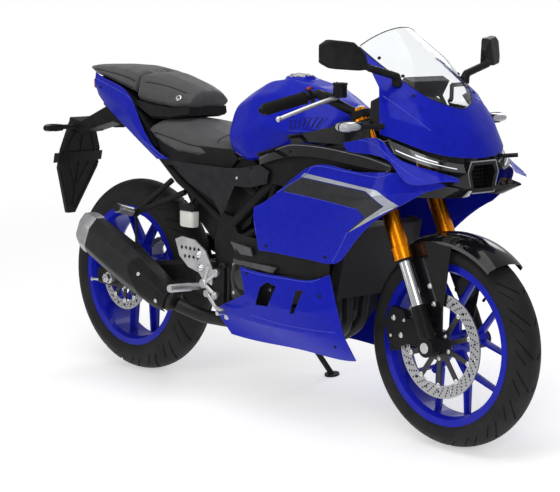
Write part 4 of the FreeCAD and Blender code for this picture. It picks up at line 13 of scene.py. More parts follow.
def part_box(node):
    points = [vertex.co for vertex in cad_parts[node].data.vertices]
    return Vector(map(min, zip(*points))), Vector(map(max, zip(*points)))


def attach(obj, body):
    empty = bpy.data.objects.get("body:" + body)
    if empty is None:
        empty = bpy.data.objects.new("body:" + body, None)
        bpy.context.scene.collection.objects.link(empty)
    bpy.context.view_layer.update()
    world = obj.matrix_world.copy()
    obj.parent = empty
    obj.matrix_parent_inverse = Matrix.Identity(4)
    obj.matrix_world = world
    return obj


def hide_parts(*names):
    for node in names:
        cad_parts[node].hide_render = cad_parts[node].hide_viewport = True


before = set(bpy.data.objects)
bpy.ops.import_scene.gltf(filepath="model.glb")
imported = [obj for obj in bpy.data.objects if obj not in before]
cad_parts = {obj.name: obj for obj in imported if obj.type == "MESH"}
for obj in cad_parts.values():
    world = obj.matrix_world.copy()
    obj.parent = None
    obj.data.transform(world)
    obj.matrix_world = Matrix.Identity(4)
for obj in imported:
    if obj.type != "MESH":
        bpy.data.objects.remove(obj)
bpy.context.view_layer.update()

log = logging.getLogger("bike")

MM = 0.001
RIGHT = -1
LEFT = 1
SIDES = (RIGHT, LEFT)
Colour = tuple[float, float, float]
Point = tuple[float, float, float]
Line = tuple[tuple[float, float], ...]


class Body(Enum):
    """The parts of the bike that move on their own."""

    CHASSIS = "chassis"
    STEERING = "steering"
    FRONT_WHEEL = "front_wheel"
    REAR_WHEEL = "rear_wheel"
    STAND = "side_stand"
    CAP = "fuel_cap"


# Where the bike stands


@dataclass(frozen=True)
class Lean:
    """How the upright drawing of the bike is set down, leaning on its side stand."""

    angle: float = math.radians(9)
    axle_height: float = 314

    def matrix(self) -> Matrix:
        """The matrix from the upright bike, in metres, to where the bike stands."""
        low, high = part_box("rear_axle")
        turn = Matrix.Rotation(-self.angle, 4, "X")
        axle = turn @ Vector((0, 0, self.axle_height * MM))
        return Matrix.Translation((low + high) / 2 - axle) @ turn


STAND = Lean().matrix()
ACROSS = (STAND.to_3x3() @ Vector((0, 1, 0))).normalized()


def placed(point: Iterable[float]) -> Vector:
    """A point of the upright bike, in millimetres, where it stands, in metres."""
    return STAND @ (Vector(point) * MM)


def on_side(point: Iterable[float], side: int) -> Vector:
    """A point drawn on the left side, or its mirror image on the right one."""
    x, y, z = point
    return Vector((x, y * side, z))


def even_turns(count: int) -> Iterable[float]:
    """The angles that divide a full circle evenly."""
    return (math.tau * step / count for step in range(count))


def between(start: Iterable[float], end: Iterable[float], share: float) -> list[float]:
    """The point at a share of the way from one point to another."""
    return [a + (b - a) * share for a, b in zip(start, end)]


def on_line(line: Line, share: float) -> list[float]:
    """The point at a share of a drawn line, counted by its spans."""
    place = share * (len(line) - 1)
    first = min(int(place), len(line) - 2)
    return between(line[first], line[first + 1], place - first)


def rounded(value: float, power: float) -> float:
    """A power of a value that keeps its sign, for the outline of a rounded oblong."""
    return math.copysign(abs(value) ** power, value)


@dataclass(frozen=True)
class Fork:
    """The fork's slope and the place of its legs on the upright bike."""

    axle: Point = (1380, 0, 293)
    rake: float = math.radians(25)
    spread: float = 100

    def up(self) -> Vector:
        """The direction up the fork."""
        return Vector((-math.sin(self.rake), 0, math.cos(self.rake)))

    def out(self) -> Vector:
        """The direction forward of the fork, square to it."""
        return Vector((math.cos(self.rake), 0, math.sin(self.rake)))

    def leg(self, climb: float, side: int, ahead: float = 0) -> Vector:
        """A point at a height of one side's leg, or so far ahead of its centre line."""
        across = Vector((0, side * self.spread, 0))
        return Vector(self.axle) + self.up() * climb + self.out() * ahead + across


FORK = Fork()


# Shader wiring


class Wires:
    """Adds and joins nodes in one shader node tree."""

    def __init__(self, tree: bpy.types.NodeTree) -> None:
        """Works on one tree."""
        self.tree = tree

    def add(self, kind: str, inputs: dict | None = None, **settings) -> bpy.types.Node:
        """Adds one node.

        Args:
            kind: the node's type without its prefix.
            inputs: values by socket name.
            **settings: the node's own settings.

        Returns:
            The new node.
        """
        made = self.tree.nodes.new("ShaderNode" + kind)
        for name, value in settings.items():
            setattr(made, name, value)
        for name, value in (inputs or {}).items():
            made.inputs[name].default_value = value
        return made

    def join(self, source: bpy.types.NodeSocket, target: bpy.types.NodeSocket) -> None:
        """Joins an output to an input."""
        self.tree.links.new(source, target)

    def texture(self, kind: str, inputs: dict, scale=None, **settings) -> bpy.types.Node:
        """Adds a texture laid on the object's own place, with a number or socket as its scale."""
        made = self.add(kind, inputs, **settings)
        self.join(self.add("TexCoord").outputs["Object"], made.inputs["Vector"])
        if scale is not None:
            self.join(scale, made.inputs["Scale"])
        return made

    def maths(self, operation: str, first, second=0, clamp: bool = False):
        """One sum of two sockets or numbers.

        Args:
            operation: the name of the sum.
            first: a socket or a number.
            second: a socket or a number.
            clamp: whether the result stays between 0 and 1.

        Returns:
            The socket with the result.
        """
        made = self.add("Math", operation=operation, use_clamp=clamp)
        for place, value in enumerate((first, second)):
            if isinstance(value, bpy.types.NodeSocket):
                self.join(value, made.inputs[place])
            else:
                made.inputs[place].default_value = value
        return made.outputs[0]

    def blend(self, share, first, second):
        """Mixes two colours or colour sockets by a mask.

        Args:
            share: the mask socket or a number.
            first: the colour at 0.
            second: the colour at 1.

        Returns:
            The socket with the mixed colour.
        """
        made = self.add("Mix", data_type="RGBA")
        for place, value in ((0, share), (6, first), (7, second)):
            if isinstance(value, bpy.types.NodeSocket):
                self.join(value, made.inputs[place])
            elif place == 0:
                made.inputs[place].default_value = value
            else:
                made.inputs[place].default_value = (*value, 1)
        return made.outputs[2]

    def mix(self, share, first: bpy.types.Node, second: bpy.types.Node) -> bpy.types.Node:
        """Mixes two shader nodes by a share socket."""
        made = self.add("MixShader")
        for place, socket in enumerate((share, first.outputs[0], second.outputs[0])):
            self.join(socket, made.inputs[place])
        return made

    def span(self, value, low: float, high: float, start: float, end: float):
        """Carries a socket's value from one range to another, held at its ends."""
        made = self.add(
            "MapRange", {"From Min": low, "From Max": high, "To Min": start, "To Max": end})
        self.join(value, made.inputs["Value"])
        return made.outputs["Result"]


@dataclass(frozen=True)
class Effect:
    """A shared shader effect, kept as one node group with named sockets."""

    name: str
    inputs: tuple[tuple[str, str, object], ...]
    outputs: tuple[tuple[str, str], ...]
    wire: Callable[[Wires, dict, dict], None]

    def tree(self) -> bpy.types.NodeTree:
        """The effect's node group, built the first time it is asked for."""
        found = bpy.data.node_groups.get(self.name)
        if found:
            return found
        tree = bpy.data.node_groups.new(self.name, "ShaderNodeTree")
        for label, kind, value in self.inputs:
            made = tree.interface.new_socket(label, in_out="INPUT", socket_type="NodeSocket" + kind)
            made.default_value = value
        for label, kind in self.outputs:
            tree.interface.new_socket(label, in_out="OUTPUT", socket_type="NodeSocket" + kind)
        wires = Wires(tree)
        start = tree.nodes.new("NodeGroupInput")
        end = tree.nodes.new("NodeGroupOutput")
        given = {label: start.outputs[label] for label, _, _ in self.inputs}
        wanted = {label: end.inputs[label] for label, _ in self.outputs}
        self.wire(wires, given, wanted)
        return tree

    def place(self, wires: Wires, **values) -> dict[str, bpy.types.NodeSocket]:
        """Puts the effect into a material.

        Args:
            wires: the material's wiring.
            **values: the effect's input values by name.

        Returns:
            The effect's output sockets by name.
        """
        made = wires.tree.nodes.new("ShaderNodeGroup")
        made.node_tree = self.tree()
        for label, value in values.items():
            made.inputs[label].default_value = value
        return {label: made.outputs[label] for label, _ in self.outputs}


def wire_grain(wires: Wires, given: dict, wanted: dict) -> None:
    """Fine moulding grain and a slow drift of tone over a surface."""
    fine = wires.texture("TexNoise", {"Detail": 3, "Roughness": 0.6}, given["Scale"])
    slow = wires.texture("TexNoise", {"Detail": 2}, wires.maths("MULTIPLY", given["Scale"], 0.02))
    wires.join(fine.outputs[0], wanted["Height"])
    wires.join(wires.span(slow.outputs[0], 0.3, 0.7, 0, 1), wanted["Tone"])


def wire_edges(wires: Wires, given: dict, wanted: dict) -> None:
    """Rounded light along edges from bent normals, and a mask of lighter edges: rubbed wear on most
    finishes, a painted highlight on the blue paints.
    """
    rounded = wires.add("Bevel", samples=4)
    wires.join(given["Radius"], rounded.inputs["Radius"])
    dot = wires.add("VectorMath", operation="DOT_PRODUCT")
    wires.join(rounded.outputs[0], dot.inputs[0])
    wires.join(wires.add("NewGeometry").outputs["Normal"], dot.inputs[1])
    turned = wires.maths("SUBTRACT", 1, dot.outputs["Value"])
    patch = wires.texture("TexNoise", {"Scale": 60, "Detail": 4})
    rubbed_and_highlight_mask = wires.maths(
        "MULTIPLY", wires.span(turned, 0.02, 0.2, 0, 1),
        wires.span(patch.outputs[0], 0.35, 0.65, 0.2, 1))
    wires.join(wires.maths("MULTIPLY", rubbed_and_highlight_mask, given["Amount"], clamp=True), wanted["Mask"])
    wires.join(rounded.outputs[0], wanted["Normal"])


def wire_dust(wires: Wires, given: dict, wanted: dict) -> None:
    """Road dust that gathers low on the bike."""
    split = wires.add("SeparateXYZ")
    wires.join(wires.add("TexCoord").outputs["Object"], split.inputs[0])
    patch = wires.texture("TexNoise", {"Scale": 14, "Detail": 6, "Roughness": 0.7})
    low = wires.maths("DIVIDE", split.outputs["Z"], given["Level"])
    near = wires.maths("SUBTRACT", 1, low, clamp=True)
    cloud = wires.span(patch.outputs[0], 0.35, 0.75, 0, 1)
    mask = wires.maths("MULTIPLY", wires.maths("MULTIPLY", near, cloud), given["Amount"])
    wires.join(mask, wanted["Mask"])


def wire_turning(wires: Wires, given: dict, wanted: dict) -> None:
    """Fine rings from turning or grinding round an axle, and the distance from it."""
    away = wires.add("VectorMath", operation="SUBTRACT")
    wires.join(wires.add("TexCoord").outputs["Object"], away.inputs[0])
    wires.join(given["Centre"], away.inputs[1])
    across = wires.add("VectorMath", operation="CROSS_PRODUCT")
    wires.join(away.outputs[0], across.inputs[0])
    wires.join(given["Axis"], across.inputs[1])
    reach = wires.add("VectorMath", operation="LENGTH")
    wires.join(across.outputs[0], reach.inputs[0])
    rings = wires.add("TexNoise", {"Detail": 2, "Scale": 1}, noise_dimensions="1D")
    wires.join(wires.maths("MULTIPLY", reach.outputs["Value"], given["Scale"]), rings.inputs["W"])
    wires.join(rings.outputs[0], wanted["Height"])
    wires.join(reach.outputs["Value"], wanted["Reach"])


def wire_hide(wires: Wires, given: dict, wanted: dict) -> None:
    """The pebbled grain of vinyl or leather."""
    cells = wires.texture("TexVoronoi", {}, given["Scale"], feature="DISTANCE_TO_EDGE")
    fine = wires.texture("TexNoise", {"Detail": 4}, wires.maths("MULTIPLY", given["Scale"], 3))
    pebble = wires.span(cells.outputs["Distance"], 0, 0.12, 0, 1)
    wires.join(
        wires.maths("ADD", pebble, wires.maths("MULTIPLY", fine.outputs[0], 0.3)), wanted["Height"])
    wires.join(pebble, wanted["Tone"])


GRAIN = Effect(
    "surface_grain", (("Scale", "Float", 400),), (("Height", "Float"), ("Tone", "Float")),
    wire_grain)
WORN_AND_HIGHLIGHT_EDGES = Effect(
    "edge_wear_and_painted_highlight", (("Radius", "Float", 0.001), ("Amount", "Float", 0.3)),
    (("Mask", "Float"), ("Normal", "Vector")), wire_edges)
DUST = Effect(
    "road_dust", (("Level", "Float", 0.4), ("Amount", "Float", 0.2)), (("Mask", "Float"),),
    wire_dust)
TURNING = Effect(
    "turned_rings",
    (("Centre", "Vector", (0, 0, 0)), ("Axis", "Vector", (0, 1, 0)), ("Scale", "Float", 900)),
    (("Height", "Float"), ("Reach", "Float")), wire_turning)
HIDE = Effect(
    "hide_grain", (("Scale", "Float", 500),), (("Height", "Float"), ("Tone", "Float")), wire_hide)


# Finishes


def fix(shader: bpy.types.Node, values: dict) -> None:
    """Sets a shader's own sockets to values that are the same all over the surface."""
    for label, value in values.items():
        shader.inputs[label].default_value = value


@dataclass(frozen=True)
class Finish:
    """A solid finish: its colour, its sheen, its grain, and its lighter edges, which are wear on
    most finishes and a painted highlight on the blue paints.
    """

    name: str
    colour: Colour
    drift: Colour
    roughness: float = 0.4
    drift_roughness: float = 0.08
    metallic: float = 0
    coat: float = 0
    specular: float = 0.5
    grain: float = 400
    depth: float = 0.08
    edge: float = 0.0008
    wear_and_highlight: float = 0.25
    worn_and_highlight_colour: Colour = (0.2, 0.2, 0.21)
    dust: float = 0
    dust_level: float = 0.35
    dust_colour: Colour = (0.16, 0.14, 0.12)

    def material(self) -> bpy.types.Material:
        """The finish as a material, made the first time it is asked for."""
        return bpy.data.materials.get(self.name) or self.build()

    def build(self) -> bpy.types.Material:
        """Makes the material from the shared effects."""
        made = bpy.data.materials.new(self.name)
        made.use_nodes = True
        wires = Wires(made.node_tree)
        shader = made.node_tree.nodes["Principled BSDF"]
        grain = self.relief(wires)
        edges = WORN_AND_HIGHLIGHT_EDGES.place(wires, Radius=self.edge, Amount=self.wear_and_highlight)
        colour = self.tint(wires, grain["Tone"])
        # Lighter edge colour: rubbed wear on most finishes, a painted highlight along the panel
        # edges of the blue paints.
        colour = wires.blend(edges["Mask"], colour, self.worn_and_highlight_colour)
        if self.dust:
            dust = DUST.place(wires, Level=self.dust_level, Amount=self.dust)
            colour = wires.blend(dust["Mask"], colour, self.dust_colour)
        wires.join(colour, shader.inputs["Base Color"])
        high = self.roughness + self.drift_roughness
        wires.join(
            wires.span(grain["Tone"], 0, 1, self.roughness, high), shader.inputs["Roughness"])
        bump = wires.add("Bump", {"Strength": self.depth, "Distance": 0.0004})
        wires.join(grain["Height"], bump.inputs["Height"])
        wires.join(edges["Normal"], bump.inputs["Normal"])
        wires.join(bump.outputs[0], shader.inputs["Normal"])
        fix(shader, {"Metallic": self.metallic, "Coat Weight": self.coat, "Coat Roughness": 0.04,
                     "Specular IOR Level": self.specular})
        self.finish_shader(wires, shader, grain)
        return made

    def relief(self, wires: Wires) -> dict[str, bpy.types.NodeSocket]:
        """The grain that this finish has: its height and its tone."""
        return GRAIN.place(wires, Scale=self.grain)

    def tint(self, wires: Wires, tone: bpy.types.NodeSocket) -> bpy.types.NodeSocket:
        """The colour before wear: it drifts slowly between two tones."""
        return wires.blend(tone, self.colour, self.drift)

    def finish_shader(self, wires: Wires, shader: bpy.types.Node, grain: dict) -> None:
        """What a special finish still changes on its shader."""


@dataclass(frozen=True)
class Pearl(Finish):
    """Lacquered paint with the faint blue sheen of pearl flakes."""

    flakes: float = 0.08
    sheen: Colour = (0.3, 0.4, 1)

    def finish_shader(self, wires: Wires, shader: bpy.types.Node, grain: dict) -> None:
        """Adds the sheen of the flakes under the lacquer."""
        fix(shader, {"Sheen Weight": self.flakes, "Sheen Roughness": 0.3,
                     "Sheen Tint": (*self.sheen, 1)})


@dataclass(frozen=True)
class Hide(Finish):
    """Grained vinyl over foam."""

    def relief(self, wires: Wires) -> dict[str, bpy.types.NodeSocket]:
        """The pebbled grain of the cover."""
        return HIDE.place(wires, Scale=self.grain)

    def finish_shader(self, wires: Wires, shader: bpy.types.Node, grain: dict) -> None:
        """Adds the soft sheen of a cloth-backed cover."""
        fix(shader, {"Sheen Weight": 0.15, "Sheen Roughness": 0.5})


@dataclass(frozen=True)
class Turned(Finish):
    """Metal ground in rings round an axle, with a painted carrier inside a radius."""

    centre: Point = (0, 0, 0)
    split: float = 0.1
    rings: float = 1600
    carrier: Colour = (0.015, 0.015, 0.017)

    def relief(self, wires: Wires) -> dict[str, bpy.types.NodeSocket]:
        """Rings round the axle, and the split between carrier and band."""
        turned = TURNING.place(
            wires, Centre=tuple(placed(self.centre)), Axis=tuple(ACROSS), Scale=self.rings)
        inside = wires.maths("LESS_THAN", turned["Reach"], self.split)
        return {"Height": turned["Height"], "Tone": turned["Height"], "Inside": inside}

    def finish_shader(self, wires: Wires, shader: bpy.types.Node, grain: dict) -> None:
        """Paints the carrier inside the split."""
        below = shader.inputs["Base Color"].links[0].from_socket
        wires.join(wires.blend(grain["Inside"], below, self.carrier), shader.inputs["Base Color"])
        metal = wires.maths("SUBTRACT", 1, grain["Inside"])
        wires.join(metal, shader.inputs["Metallic"])


@dataclass(frozen=True)
class Clear(Finish):
    """Clear or tinted moulded glass."""

    tinted: float = 1
    bending: float = 1.2

    def finish_shader(self, wires: Wires, shader: bpy.types.Node, grain: dict) -> None:
        """Lets light through, evenly."""
        fix(shader, {"Transmission Weight": self.tinted, "IOR": self.bending})


@dataclass(frozen=True)
class Lit(Finish):
    """A light strip's bright diffuser."""

    strength: float = 0.6

    def finish_shader(self, wires: Wires, shader: bpy.types.Node, grain: dict) -> None:
        """Adds a faint glow in the finish's own colour."""
        below = shader.inputs["Base Color"].links[0].from_socket
        wires.join(below, shader.inputs["Emission Color"])
        fix(shader, {"Emission Strength": self.strength})


@dataclass(frozen=True)
class Finned(Finish):
    """A radiator's core: fine fins in rows."""

    rows: float = 260

    def relief(self, wires: Wires) -> dict[str, bpy.types.NodeSocket]:
        """Rows of fins across the core."""
        waves = wires.texture(
            "TexWave", {"Scale": self.rows, "Distortion": 0.3}, bands_direction="Z",
            wave_type="BANDS")
        return {"Height": waves.outputs["Fac"], "Tone": waves.outputs["Fac"]}


BLUE = (0.007, 0.013, 0.44)
DEEP_BLUE = (0.005, 0.01, 0.36)
# The pale blue edge colour of the blue paints below is a painted highlight along their edges.
PAINT = Pearl(
    "pearl_blue", BLUE, DEEP_BLUE, roughness=0.32, drift_roughness=0.05, coat=0.12, specular=0.05,
    grain=2600, depth=0.02, edge=0.003, wear_and_highlight=0.55, worn_and_highlight_colour=(0.14, 0.18, 0.78))
WHEEL_PAINT = Pearl(
    "wheel_blue_lacquer", BLUE, DEEP_BLUE, roughness=0.34, coat=0.15, specular=0.08, grain=900,
    depth=0.05, edge=0.0022, wear_and_highlight=0.15, worn_and_highlight_colour=(0.14, 0.17, 0.66), dust=0.12)
# A lighter blue that paints the highlight on the panels' raised creases.
CREASE_HIGHLIGHT_BLUE = Pearl(
    "crease_painted_highlight_blue", (0.05, 0.07, 0.62), (0.035, 0.05, 0.52), roughness=0.32, drift_roughness=0.05,
    coat=0.2, specular=0.1, grain=2600, depth=0.02, edge=0.001, wear_and_highlight=0.2, worn_and_highlight_colour=(0.2, 0.24, 0.8))
FIN_GREY = Finish(
    "fin_grey", (0.05, 0.051, 0.055), (0.075, 0.076, 0.082), specular=0.3, roughness=0.3,
    grain=1500, depth=0.05, edge=0.0016, wear_and_highlight=0.5, worn_and_highlight_colour=(0.25, 0.25, 0.27))
GLOSS_BLACK = Finish(
    "gloss_black", (0.006, 0.006, 0.007), (0.01, 0.01, 0.012), roughness=0.12, drift_roughness=0.05,
    coat=0.25, specular=0.15, grain=1500, depth=0.01, edge=0.0016, wear_and_highlight=0.12, worn_and_highlight_colour=(0.1, 0.1, 0.12))
SATIN_BLACK = Finish(
    "powder_black", (0.008, 0.008, 0.009), (0.013, 0.013, 0.014), specular=0.11, roughness=0.38,
    grain=1300, depth=0.1, edge=0.0016, wear_and_highlight=0.3, worn_and_highlight_colour=(0.11, 0.11, 0.12), dust=0.1)
PLASTIC_BLACK = Finish(
    "moulded_black", (0.008, 0.008, 0.009), (0.014, 0.014, 0.015), specular=0.11, roughness=0.46,
    grain=1800, depth=0.16, edge=0.0014, wear_and_highlight=0.25, worn_and_highlight_colour=(0.1, 0.1, 0.11), dust=0.08)
PLASTIC_GREY = Finish(
    "moulded_grey", (0.015, 0.015, 0.017), (0.024, 0.024, 0.027), specular=0.11, roughness=0.4,
    grain=1800, depth=0.12, edge=0.0018, wear_and_highlight=0.4, worn_and_highlight_colour=(0.2, 0.2, 0.22))
CAST_BLACK = Finish(
    "cast_black_coat", (0.007, 0.007, 0.008), (0.013, 0.013, 0.014), specular=0.11, roughness=0.42,
    metallic=0.2, grain=700, depth=0.3, edge=0.0016, wear_and_highlight=0.5, worn_and_highlight_colour=(0.2, 0.2, 0.2), dust=0.15)
CAST_GREY = Finish(
    "cast_grey", (0.03, 0.03, 0.032), (0.05, 0.05, 0.053), roughness=0.45, metallic=0.6, grain=600,
    depth=0.35, edge=0.0018, wear_and_highlight=0.4, worn_and_highlight_colour=(0.34, 0.34, 0.34), dust=0.15)
SILVER = Finish(
    "satin_alloy", (0.5, 0.5, 0.51), (0.6, 0.6, 0.61), roughness=0.3, metallic=0.9, grain=1200,
    depth=0.1, edge=0.0012, wear_and_highlight=0.4, worn_and_highlight_colour=(0.85, 0.85, 0.86))
END_CAP = Finish(
    "satin_end_cap", (0.36, 0.36, 0.37), (0.44, 0.44, 0.45), roughness=0.34, metallic=0.85,
    grain=1500, depth=0.12, edge=0.0016, wear_and_highlight=0.3, worn_and_highlight_colour=(0.75, 0.75, 0.76))
ZINC = Finish(
    "bright_zinc", (0.58, 0.58, 0.58), (0.68, 0.68, 0.67), roughness=0.24, metallic=1, grain=800,
    depth=0.06, edge=0.0006, wear_and_highlight=0.3, worn_and_highlight_colour=(0.9, 0.9, 0.9))
CHROME = Finish(
    "hard_chrome", (0.62, 0.62, 0.64), (0.7, 0.7, 0.72), roughness=0.08, drift_roughness=0.04,
    metallic=1, grain=300, depth=0.01, edge=0.0008, wear_and_highlight=0.1, worn_and_highlight_colour=(0.9, 0.9, 0.9))
GOLD = Finish(
    "gold_anodised", (0.9, 0.3, 0.01), (0.82, 0.24, 0.006), roughness=0.2, drift_roughness=0.08,
    metallic=1, grain=900, depth=0.04, edge=0.0012, wear_and_highlight=0.4, worn_and_highlight_colour=(1, 0.6, 0.16))
CHAIN_STEEL = Finish(
    "oiled_steel", (0.16, 0.155, 0.15), (0.09, 0.085, 0.08), roughness=0.32, metallic=1, grain=300,
    depth=0.1, edge=0.0005, wear_and_highlight=0.6, worn_and_highlight_colour=(0.55, 0.54, 0.52))
RUBBER = Finish(
    "tyre_rubber", (0.012, 0.012, 0.013), (0.02, 0.02, 0.021), specular=0.11, roughness=0.55,
    drift_roughness=0.12, grain=900, depth=0.2, edge=0.0012, wear_and_highlight=0.35, worn_and_highlight_colour=(0.045, 0.045, 0.048),
    dust=0.1, dust_level=0.8)
GRIP_RUBBER = Finish(
    "grip_rubber", (0.005, 0.005, 0.005), (0.009, 0.009, 0.009), specular=0.11, roughness=0.62,
    grain=1400, depth=0.3, edge=0.0006, wear_and_highlight=0.3, worn_and_highlight_colour=(0.05, 0.05, 0.05))
VINYL = Hide(
    "seat_vinyl_cover", (0.036, 0.036, 0.038), (0.064, 0.064, 0.067), specular=0.3, roughness=0.44,
    grain=850, depth=0.35, edge=0.001, wear_and_highlight=0.12, worn_and_highlight_colour=(0.09, 0.09, 0.095))
THREAD = Finish(
    "seat_thread", (0.03, 0.03, 0.032), (0.05, 0.05, 0.052), roughness=0.7, grain=3000, depth=0.4,
    edge=0.0004, wear_and_highlight=0.1)
SILENCER_COAT = Finish(
    "heat_black", (0.018, 0.018, 0.019), (0.026, 0.026, 0.028), specular=0.2, roughness=0.36,
    metallic=0.3, grain=1100, depth=0.08, edge=0.002, wear_and_highlight=0.3, worn_and_highlight_colour=(0.14, 0.14, 0.15))
FRONT_DISC = Turned(
    "front_disc_steel", (0.36, 0.36, 0.37), (0.46, 0.46, 0.47), roughness=0.26, metallic=1,
    depth=0.12, edge=0.0006, wear_and_highlight=0.4, worn_and_highlight_colour=(0.8, 0.8, 0.8), centre=(1380, 0, 293), split=0.1125)
REAR_DISC = Turned(
    "rear_disc_steel", (0.36, 0.36, 0.37), (0.46, 0.46, 0.47), roughness=0.26, metallic=1,
    depth=0.12, edge=0.0006, wear_and_highlight=0.4, worn_and_highlight_colour=(0.8, 0.8, 0.8), centre=(0, 0, 314), split=0.0815)
SPROCKET = Turned(
    "sprocket_steel", (0.22, 0.22, 0.23), (0.3, 0.3, 0.31), roughness=0.3, metallic=1, depth=0.12,
    edge=0.0005, wear_and_highlight=0.5, worn_and_highlight_colour=(0.6, 0.6, 0.6), centre=(0, 0, 314), split=0.02)
SCREEN = Clear(
    "clear_screen", (0.93, 0.95, 0.96), (0.88, 0.91, 0.93), roughness=0.02, drift_roughness=0.02,
    grain=120, depth=0.004, edge=0.0006, wear_and_highlight=0.3, worn_and_highlight_colour=(0.5, 0.53, 0.56))
RED_LENS = Clear(
    "red_lens", (0.5, 0.012, 0.01), (0.36, 0.008, 0.008), roughness=0.12, coat=1, grain=320,
    depth=0.1, edge=0.0014, wear_and_highlight=0.2, worn_and_highlight_colour=(0.7, 0.1, 0.08), tinted=0.3)
LAMP_BACK = Finish(
    "lamp_back", (0.01, 0.01, 0.012), (0.03, 0.032, 0.036), roughness=0.22, coat=1, grain=260,
    depth=0.1, edge=0.0012, wear_and_highlight=0.5, worn_and_highlight_colour=(0.22, 0.23, 0.25))
LIGHT_STRIP = Lit(
    "light_strip", (0.75, 0.78, 0.82), (0.62, 0.66, 0.72), roughness=0.2, grain=500, depth=0.1,
    edge=0.0006, wear_and_highlight=0.2, worn_and_highlight_colour=(0.9, 0.9, 0.95))
RED_SWITCH = Finish(
    "red_switch", (0.5, 0.008, 0.01), (0.4, 0.006, 0.008), roughness=0.3, grain=900, depth=0.05,
    edge=0.0008, wear_and_highlight=0.3, worn_and_highlight_colour=(0.7, 0.1, 0.09))
WHITE_CUP = Finish(
    "fluid_cup", (0.62, 0.62, 0.58), (0.72, 0.72, 0.68), roughness=0.32, coat=0.2, grain=420,
    depth=0.08, edge=0.0016, wear_and_highlight=0.3, worn_and_highlight_colour=(0.85, 0.85, 0.82))
STRIPE_SILVER = Finish(
    "stripe_silver", (0.36, 0.38, 0.42), (0.3, 0.32, 0.37), roughness=0.26, metallic=0.5, coat=0.8,
    grain=1800, depth=0.03, edge=0.0004, wear_and_highlight=0.1, worn_and_highlight_colour=(0.6, 0.6, 0.62))
STRIPE_DARK = Finish(
    "stripe_dark", (0.01, 0.01, 0.013), (0.014, 0.015, 0.019), roughness=0.22, coat=0.3,
    specular=0.2, grain=1800, depth=0.03, edge=0.0004, wear_and_highlight=0.1, worn_and_highlight_colour=(0.08, 0.08, 0.09))
PALE_LENS = Finish(
    "pale_lens", (0.4, 0.41, 0.43), (0.32, 0.33, 0.35), roughness=0.12, coat=0.8, grain=420,
    depth=0.2, edge=0.0012, wear_and_highlight=0.4, worn_and_highlight_colour=(0.85, 0.86, 0.88))
# A light grey for thin beads that paint the highlight along dark edges.
EDGE_HIGHLIGHT_GREY = Finish(
    "bright_edge", (0.22, 0.23, 0.25), (0.3, 0.31, 0.33), roughness=0.28, metallic=0.4, grain=900,
    depth=0.03, edge=0.0006, wear_and_highlight=0.3, worn_and_highlight_colour=(0.6, 0.6, 0.6))
FINS = Finned(
    "radiator_fins", (0.015, 0.015, 0.016), (0.05, 0.05, 0.053), roughness=0.4, metallic=0.7,
    depth=0.8, edge=0.0006, wear_and_highlight=0.2)
MIRROR_GLASS = Finish(
    "mirror_glass", (0.75, 0.77, 0.8), (0.7, 0.72, 0.75), roughness=0.03, drift_roughness=0.02,
    metallic=1, grain=200, depth=0.004, edge=0.0006, wear_and_highlight=0.2, worn_and_highlight_colour=(0.4, 0.4, 0.4))
DIAL = Finish(
    "dial_face", (0.01, 0.011, 0.012), (0.022, 0.024, 0.026), roughness=0.1, coat=1, grain=300,
    depth=0.02, edge=0.0008, wear_and_highlight=0.2, worn_and_highlight_colour=(0.1, 0.1, 0.1))
DIAL_PANEL = Lit(
    "dial_panel", (0.26, 0.29, 0.3), (0.22, 0.25, 0.26), roughness=0.3, grain=700, depth=0.05,
    edge=0.0004, wear_and_highlight=0.1, strength=0.1)

SMOOTHING = {
    "fuel_tank": 46, "mirrors": 62, "windscreen": 60, "front_fender": 40, "nose_cowl": 40,
    "silencer": 50, "silencer_cap": 62, "tail_core": 34, "tail_panels": 34, "knee_panels": 40,
    "nose_strakes": 40, "indicators": 40, "side_fairings": 14, "lower_cowls": 18}

CAD_FINISHES: dict[Finish, tuple[str, ...]] = {
    PAINT: (
        "tail_panels", "side_fairings", "lower_cowls", "nose_cowl", "nose_strakes", "fuel_tank"),
    WHEEL_PAINT: ("front_rim", "rear_rim"),
    RUBBER: ("front_tyre", "rear_tyre"),
    FRONT_DISC: ("front_disc",),
    REAR_DISC: ("rear_disc",),
    SPROCKET: ("rear_sprocket",),
    CHAIN_STEEL: ("drive_chain",),
    SATIN_BLACK: (
        "main_frame", "subframe", "swingarm", "cowl_stay", "fairing_brackets", "pillion_footrests",
        "side_stand", "triple_clamps", "handlebars"),
    GOLD: ("fork_outers",),
    CHROME: ("fork_sliders",),
    CAST_BLACK: ("fork_feet", "front_brake", "rear_brake", "hand_controls"),
    ZINC: ("front_axle", "rear_axle"),
    PLASTIC_BLACK: (
        "clocks", "inner_panels", "tail_core", "chain_guard", "rear_fender", "mirrors",
        "indicators"),
    GLOSS_BLACK: ("front_fender", "nose_duct", "knee_panels"),
    PLASTIC_GREY: ("side_covers",),
    VINYL: ("rider_seat", "pillion_pad", "pillion_hump"),
    CAST_GREY: ("engine", "rear_shock"),
    SILENCER_COAT: ("silencer", "exhaust_header"),
    END_CAP: ("silencer_cap", "fuel_cap"),
    SILVER: ("footrests",),
    FINS: ("radiator",),
    SCREEN: ("windscreen",),
    LAMP_BACK: ("headlamps",),
    RED_LENS: ("tail_lamp",),
}


# Drafting meshes in the upright bike's millimetres


